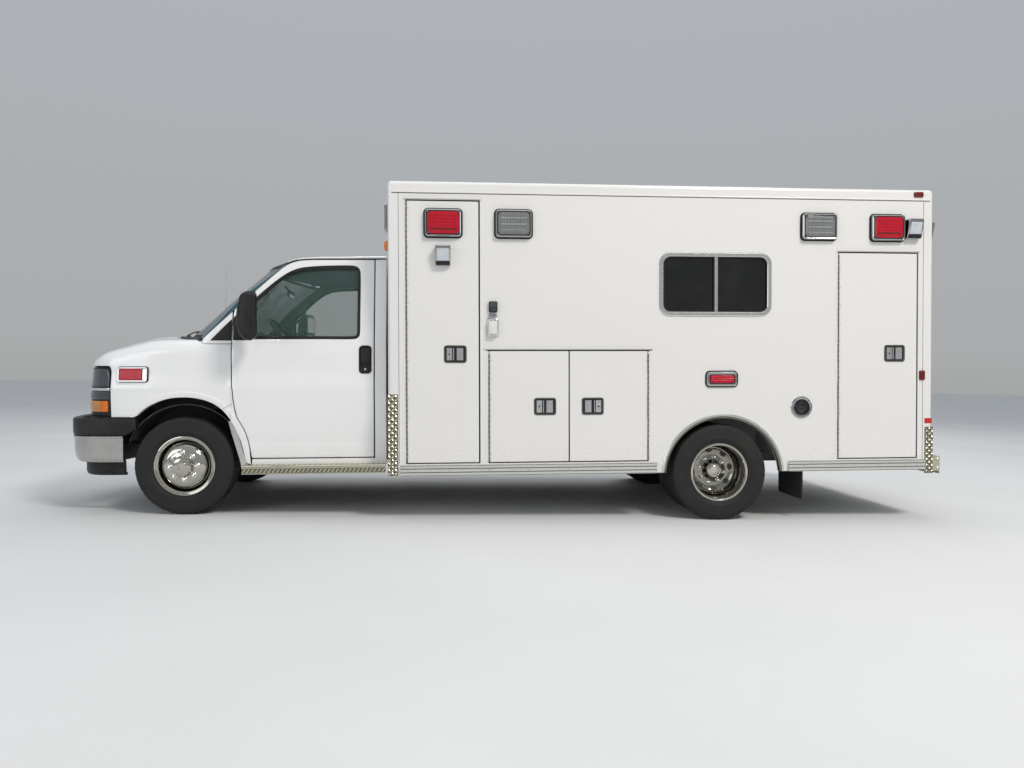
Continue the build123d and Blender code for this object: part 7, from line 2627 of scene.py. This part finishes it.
seat_g = [lambda x, y, z, n: (abs(y - 340), n.z > 0.3 and x > 1150), lambda x, y, z, n: (abs(y - 550), n.z > 0.3 and x > 1150),
          lambda x, y, z, n: (abs(x - 1290), n.z > 0.3 and 340 < y < 550), lambda x, y, z, n: (abs(x - 1430), n.z > 0.3 and 340 < y < 550),
          lambda x, y, z, n: (abs(z - 918), abs(n.z) < 0.6)]
back_g = [lambda x, y, z, n: (abs(y - 345), n.x > 0.3), lambda x, y, z, n: (abs(y - 545), n.x > 0.3),
          lambda x, y, z, n: (abs(z - 1080), n.x > 0.3 and 345 < y < 545), lambda x, y, z, n: (abs(z - 1220), n.x > 0.3 and 345 < y < 545),
          lambda x, y, z, n: (abs(z - 1360), n.x > 0.3 and 345 < y < 545)]
head_g = [lambda x, y, z, n: (abs(y - 375), n.x > 0.3), lambda x, y, z, n: (abs(y - 515), n.x > 0.3)]
SE = Mesh()
parts = [("seat_cushion", foam("seat_cushion_left", (1158, 1590), (212, 678), (884, 978), bevel=40, grooves=seat_g)),
         ("seat_back", foam("seat_back_left", (996, 1086), (226, 664), (925, 1470), lean=-42, taper=0.10, bevel=36, grooves=back_g)),
         ("seat_head_rest", foam("seat_head_rest_left", (978, 1020), (340, 550), (1512, 1646), bevel=18, cap=12, grooves=head_g))]
for nm_, o in parts:
    t = twin(o, nm_ + "_right")
    for q, tag in ((o, "left"), (t, "right")):
        place(q, nm_ + "_" + tag, "body", VINYL)
        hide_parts("cab_seats")
for s in (1, -1):
    a, b = sorted((s * 235, s * 655))
    SE.box(1060, 1560, a, b, 826, 872, 14, 0)
    for yy in (290, 600):
        SE.box(1080, 1540, min(s * (yy - 18), s * (yy + 18)), max(s * (yy - 18), s * (yy + 18)), 592, 632, 4, 1)
        SE.box(1120, 1500, min(s * (yy - 10), s * (yy + 10)), max(s * (yy - 10), s * (yy + 10)), 630, 828, 3, 1)
    SE.box(1120, 1490, min(s * 300, s * 590), max(s * 300, s * 590), 660, 690, 4, 1)
    for yy in (400, 490):
        SE.tube((1000, s * yy, 1440), (998, s * yy, 1530), 6, 12, 2)
    # recliner covers
    for yy in (206, 684):
        SE.prism([(1010, 870), (1170, 870), (1180, 930), (1110, 985), (1040, 990), (1000, 930)], "y", s * (yy - 8), s * (yy + 8), 0, 3)
SE.done("seat_frames", "body", "black_plastic", [DARK_TRIM, IRON, CHROME_SOFT])

# ---- bench along the right wall: cabinet with doors, padded cushion on top
YB = -1150.0
B_ = Mesh()
B_.box(-2518, -2142, YB, -706, 724, 1046, 4, 0)
B_.box(-2142, -1174, YB, -706, 806, 1046, 4, 0)
B_.box(-2140, -1176, -740, -712, 760, 808, 2, 2)
for xa, xb in ((-2500, -2160), (-2120, -1660), (-1640, -1192)):
    B_.box(xa, xb, -708, -701, 830, 1024, 3, 0)
    B_.box((xa + xb) / 2 - 40, (xa + xb) / 2 + 40, -702, -697, 985, 1005, 2, 1)
B_.box(-2519, -1172, -712, -703, 1036, 1048, 2, 1)
o = B_.done("bench_cabinet", "body", "bench_laminate", [LAMINATE, CHROME_SOFT, BLACK])
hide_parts("bench")
bg_ = [lambda x, y, z, n: (abs(x + 2070), n.z > 0.3), lambda x, y, z, n: (abs(x + 1620), n.z > 0.3), lambda x, y, z, n: (abs(z - 1080), abs(n.z) < 0.6)]
o = foam("bench_cushion", (-2506, -1186), (-1136, -722), (1056, 1100), bevel=16, voxel=0.013, cap=14, grooves=bg_)
place(o, "bench_cushion", "body", VINYL)
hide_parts("bench")
# ================================================================ inner faces of the box doors, ceiling, counter
def pressed(out, P, a0, a1, b0, b1, mat, deep=4.0):
    """Inner door sheet: raised border, pressed field and screws. P(a, b, out)."""
    ca, cb, w, h = (a0 + a1) / 2, (b0 + b1) / 2, a1 - a0, b1 - b0
    rows = [(rrect(ca, cb, w, h, 14, 4), 0.2), (rrect(ca, cb, w, h, 14, 4), deep * 0.6), (rrect(ca, cb, w - 6, h - 6, 12, 4), deep),
            (rrect(ca, cb, w - 60, h - 60, 22, 4), deep), (rrect(ca, cb, w - 74, h - 74, 18, 4), deep * 0.35)]
    pts = [[P(a, b, o) for a, b in l] for l, o in rows]
    for i in range(len(pts) - 1):
        strip(out, pts[i], pts[i + 1], mat, True)
    out.add(pts[-1], [tuple(range(len(pts[-1])))], mat)
    spots = []
    na, nb = max(2, int(w // 170)), max(2, int(h // 170))
    for i in range(na + 1):
        for b in (b0 + 14, b1 - 14):
            spots.append((lerp(a0 + 14, a1 - 14, i / na), b))
    for i in range(1, nb):
        for a in (a0 + 14, a1 - 14):
            spots.append((a, lerp(b0 + 14, b1 - 14, i / nb)))
    ts = [i * math.pi / 4 for i in range(8)]
    for a, b in spots:
        lo = [P(a + 5 * math.cos(t), b + 5 * math.sin(t), deep) for t in ts]
        hi = [P(a + 3.4 * math.cos(t), b + 3.4 * math.sin(t), deep + 1.8) for t in ts]
        strip(out, lo, hi, 1, True)
        out.add(hi, [tuple(range(8))], 1)


def inner_handle(out, P, a, b):
    """Recessed latch plate with a paddle."""
    for w, h, z0, z1, mt in ((120, 96, 3.0, 7.0, 1), (92, 66, 7.0, 8.5, 2), (70, 30, 8.0, 16.0, 1)):
        lo, hi = rrect(a, b, w, h, 8, 4), rrect(a, b, w - 4, h - 4, 7, 4)
        A, B = [P(x, y, z0) for x, y in lo], [P(x, y, z1) for x, y in hi]
        strip(out, A, B, mt, True)
        out.add(B, [tuple(range(len(B)))], mt)


for name, s, xf, xr, z0, z1, hinge, meet in SIDE_DOORS:
    gf = 10.0 if hinge == "front" else (5.0 if meet else 8.0)
    gr = 10.0 if hinge == "rear" else (5.0 if meet else 8.0)
    m = Mesh()
    P = (lambda s: lambda a, b, o: (a, s * (BY - 50.0 - o), b))(s)
    a0, a1, b0, b1 = xr + gr + 42, xf - gf - 42, z0 + 48, z1 - 48
    if name == "side_entry_door":
        pressed(m, P, a0, a1, b0, 1470, 0)
        pressed(m, P, a0, a1, 2080, b1, 0)
        for l0, o0, l1, o1 in ((0, 0.2, 0, 5), (0, 5, -14, 7), (-14, 7, -40, 7), (-40, 7, -46, 2), (-46, 2, -46, -18)):
            A = [P(a, b, o0) for a, b in rrect(-255, 1776.5, 436 + l0, 525 + l0, 30, 5)]
            B = [P(a, b, o1) for a, b in rrect(-255, 1776.5, 436 + l1, 525 + l1, 30 if l1 > -30 else 12, 5)]
            strip(m, A, B, 1, True)
        m.path([P(-520, 1560, 4), P(-520, 1575, 46), P(-520, 1600, 52), P(-520, 1930, 52), P(-520, 1955, 46), P(-520, 1970, 4)], 11, 12, 3)
    else:
        pressed(m, P, a0, a1, b0, b1, 0)
    lx, lz, d = LATCH[name]
    inner_handle(m, P, lx, lz)
    m.done("inner_" + name, name, "compartment_sheet", [SHEET, ALU, BLACK, CHROME], angle=28)

for s in (1, -1):
    name = "rear_door_left" if s > 0 else "rear_door_right"
    m = Mesh()
    P = (lambda s: lambda a, b, o: (BX0 + 50.0 + o, s * a, b))(s)
    pressed(m, P, 48, 568, 752, 1430, 0)
    for l0, o0, l1, o1 in ((0, 0.2, 0, 5), (0, 5, -14, 7), (-14, 7, -40, 7), (-40, 7, -46, 2), (-46, 2, -46, -18)):
        A = [P(a, b, o0) for a, b in rrect(325, 1790, 396 + l0, 626 + l0, 30, 5)]
        B = [P(a, b, o1) for a, b in rrect(325, 1790, 396 + l1, 626 + l1, 30 if l1 > -30 else 12, 5)]
        strip(m, A, B, 1, True)
    inner_handle(m, P, 150, 1170)
    m.path([P(80, 1000, 4), P(80, 1012, 44), P(80, 1036, 50), P(80, 1330, 50), P(80, 1354, 44), P(80, 1366, 4)], 10, 12, 3)
    m.done("inner_" + name, name, "compartment_sheet", [SHEET, ALU, BLACK, CHROME], angle=28)

# ceiling: light fittings, grab rail on stanchions
m = Mesh()
for s in (1, -1):
    for xc in (-2650, -1650, -650, 250):
        P = (lambda xc, s: lambda a, b, o: (xc + a, s * 520 + b, 2470.0 - o))(xc, s)
        for w, h, w1, h1, o0, o1, mt in ((640, 170, 640, 170, 0.2, 12, 0), (640, 170, 628, 158, 12, 17, 0), (628, 158, 590, 122, 17, 17, 0), (590, 122, 560, 96, 17, 24, 1)):
            A, B = [P(a, b, o0) for a, b in rrect(0, 0, w, h, 20, 4)], [P(a, b, o1) for a, b in rrect(0, 0, w1, h1, 16, 4)]
            strip(m, A, B, mt, True)
        m.add([P(a, b, 24) for a, b in rrect(0, 0, 560, 96, 16, 4)], [tuple(range(20))], 1)
m.path([(-2900, -60, 2462), (-2900, -60, 2410), (-2885, -60, 2392), (-2860, -60, 2386), (380, -60, 2386), (405, -60, 2392), (420, -60, 2410), (420, -60, 2462)], 15, 14, 2)
for x in (-2900, -1780, -700, 420):
    m.lathe((x, -60, 2470), (0, 0, -1), [(38, 0), (38, 4), (30, 9), (17, 12), (16, 84 if x not in (-2900, 420) else 30)], 24, 2, caps=False)
m.done("ceiling_fittings", "body", "trim_aluminium", [ALU, PALE, CHROME], angle=30)

# counter over the middle compartment, with a raised lip
m = Mesh()
m.box(-1100, 158, 1156 - 480.0 - 30, 1154, 1299, 1324, 6, 0)
m.box(-1100, 158, 1156 - 480.0 - 34, 1156 - 480.0 - 26, 1296, 1334, 3, 1)
m.box(-1104, -1096, 1156 - 480.0 - 30, 1154, 1296, 1334, 3, 1)
m.done("counter", "body", "bench_laminate", [LAMINATE, ALU])


# ================================================================ stage and light
def stage():
    me = bpy.data.meshes.new("floor")
    bm = bmesh.new()
    bmesh.ops.create_circle(bm, cap_ends=True, segments=64, radius=60)
    bm.to_mesh(me)
    bm.free()
    floor = bpy.data.objects.new("floor", me)
    bpy.context.scene.collection.objects.link(floor)
    m = Nodes("floor")
    n = m.noise(0.6, 4, 0.5)
    m.set(color=m.mix(m.rng(n, 0.3, 0.7, 0, 1), (0.70, 0.70, 0.69), (0.74, 0.74, 0.73)), rough=0.8, spec=0.12)
    me.materials.append(m.mat)

    def area(name, loc, target, size, size_y, power, color=(1, 1, 1)):
        d = bpy.data.lights.new(name, "AREA")
        d.shape, d.size, d.size_y, d.energy, d.color = "RECTANGLE", size, size_y, power, color
        o = bpy.data.objects.new(name, d)
        o.location = loc
        o.rotation_mode = "QUATERNION"
        o.rotation_quaternion = (Vector(target) - Vector(loc)).to_track_quat("-Z", "Y")
        bpy.context.scene.collection.objects.link(o)
        return o

    area("key", (-5.5, 9.0, 10.5), (0, 0, 1.0), 3.2, 2.6, 900, (1.0, 0.965, 0.92))
    area("fill", (9.5, 8.5, 4.5), (0, 0, 1.2), 7.0, 5.0, 190, (0.93, 0.96, 1.0))
    area("back", (-2.0, -11.0, 7.0), (0, 0, 1.2), 10.0, 5.0, 380, (0.97, 0.98, 1.0))
    area("top", (0.0, 0.0, 11.0), (0, 0, 0), 12.0, 8.0, 190, (1, 1, 1))
    w = bpy.data.worlds.new("world") if bpy.context.scene.world is None else bpy.context.scene.world
    bpy.context.scene.world = w
    w.use_nodes = True
    t = w.node_tree
    t.nodes.clear()
    out = t.nodes.new("ShaderNodeOutputWorld")
    bg = t.nodes.new("ShaderNodeBackground")
    co = t.nodes.new("ShaderNodeTexCoord")
    sp = t.nodes.new("ShaderNodeSeparateXYZ")
    rp = t.nodes.new("ShaderNodeValToRGB")
    mr = t.nodes.new("ShaderNodeMapRange")
    mr.inputs[1].default_value, mr.inputs[2].default_value = -0.25, 0.7
    e = rp.color_ramp.elements
    e[0].position, e[0].color = 0.0, (0.42, 0.42, 0.42, 1)
    e[1].position, e[1].color = 1.0, (0.74, 0.80, 0.88, 1)
    k = e.new(0.30)
    k.color = (0.66, 0.67, 0.68, 1)
    t.links.new(co.outputs["Generated"], sp.inputs[0])
    t.links.new(sp.outputs[2], mr.inputs[0])
    t.links.new(mr.outputs[0], rp.inputs[0])
    t.links.new(rp.outputs[0], bg.inputs[0])
    bg.inputs[1].default_value = 0.56
    t.links.new(bg.outputs[0], out.inputs[0])
    sc = bpy.context.scene
    sc.view_settings.view_transform = "AgX" if "AgX" in [i.identifier for i in type(sc.view_settings).bl_rna.properties["view_transform"].enum_items] else "Standard"
    try:
        sc.view_settings.look = "AgX - Medium High Contrast"
    except TypeError:
        sc.view_settings.look = "None"
    sc.view_settings.exposure = 0.12


stage()
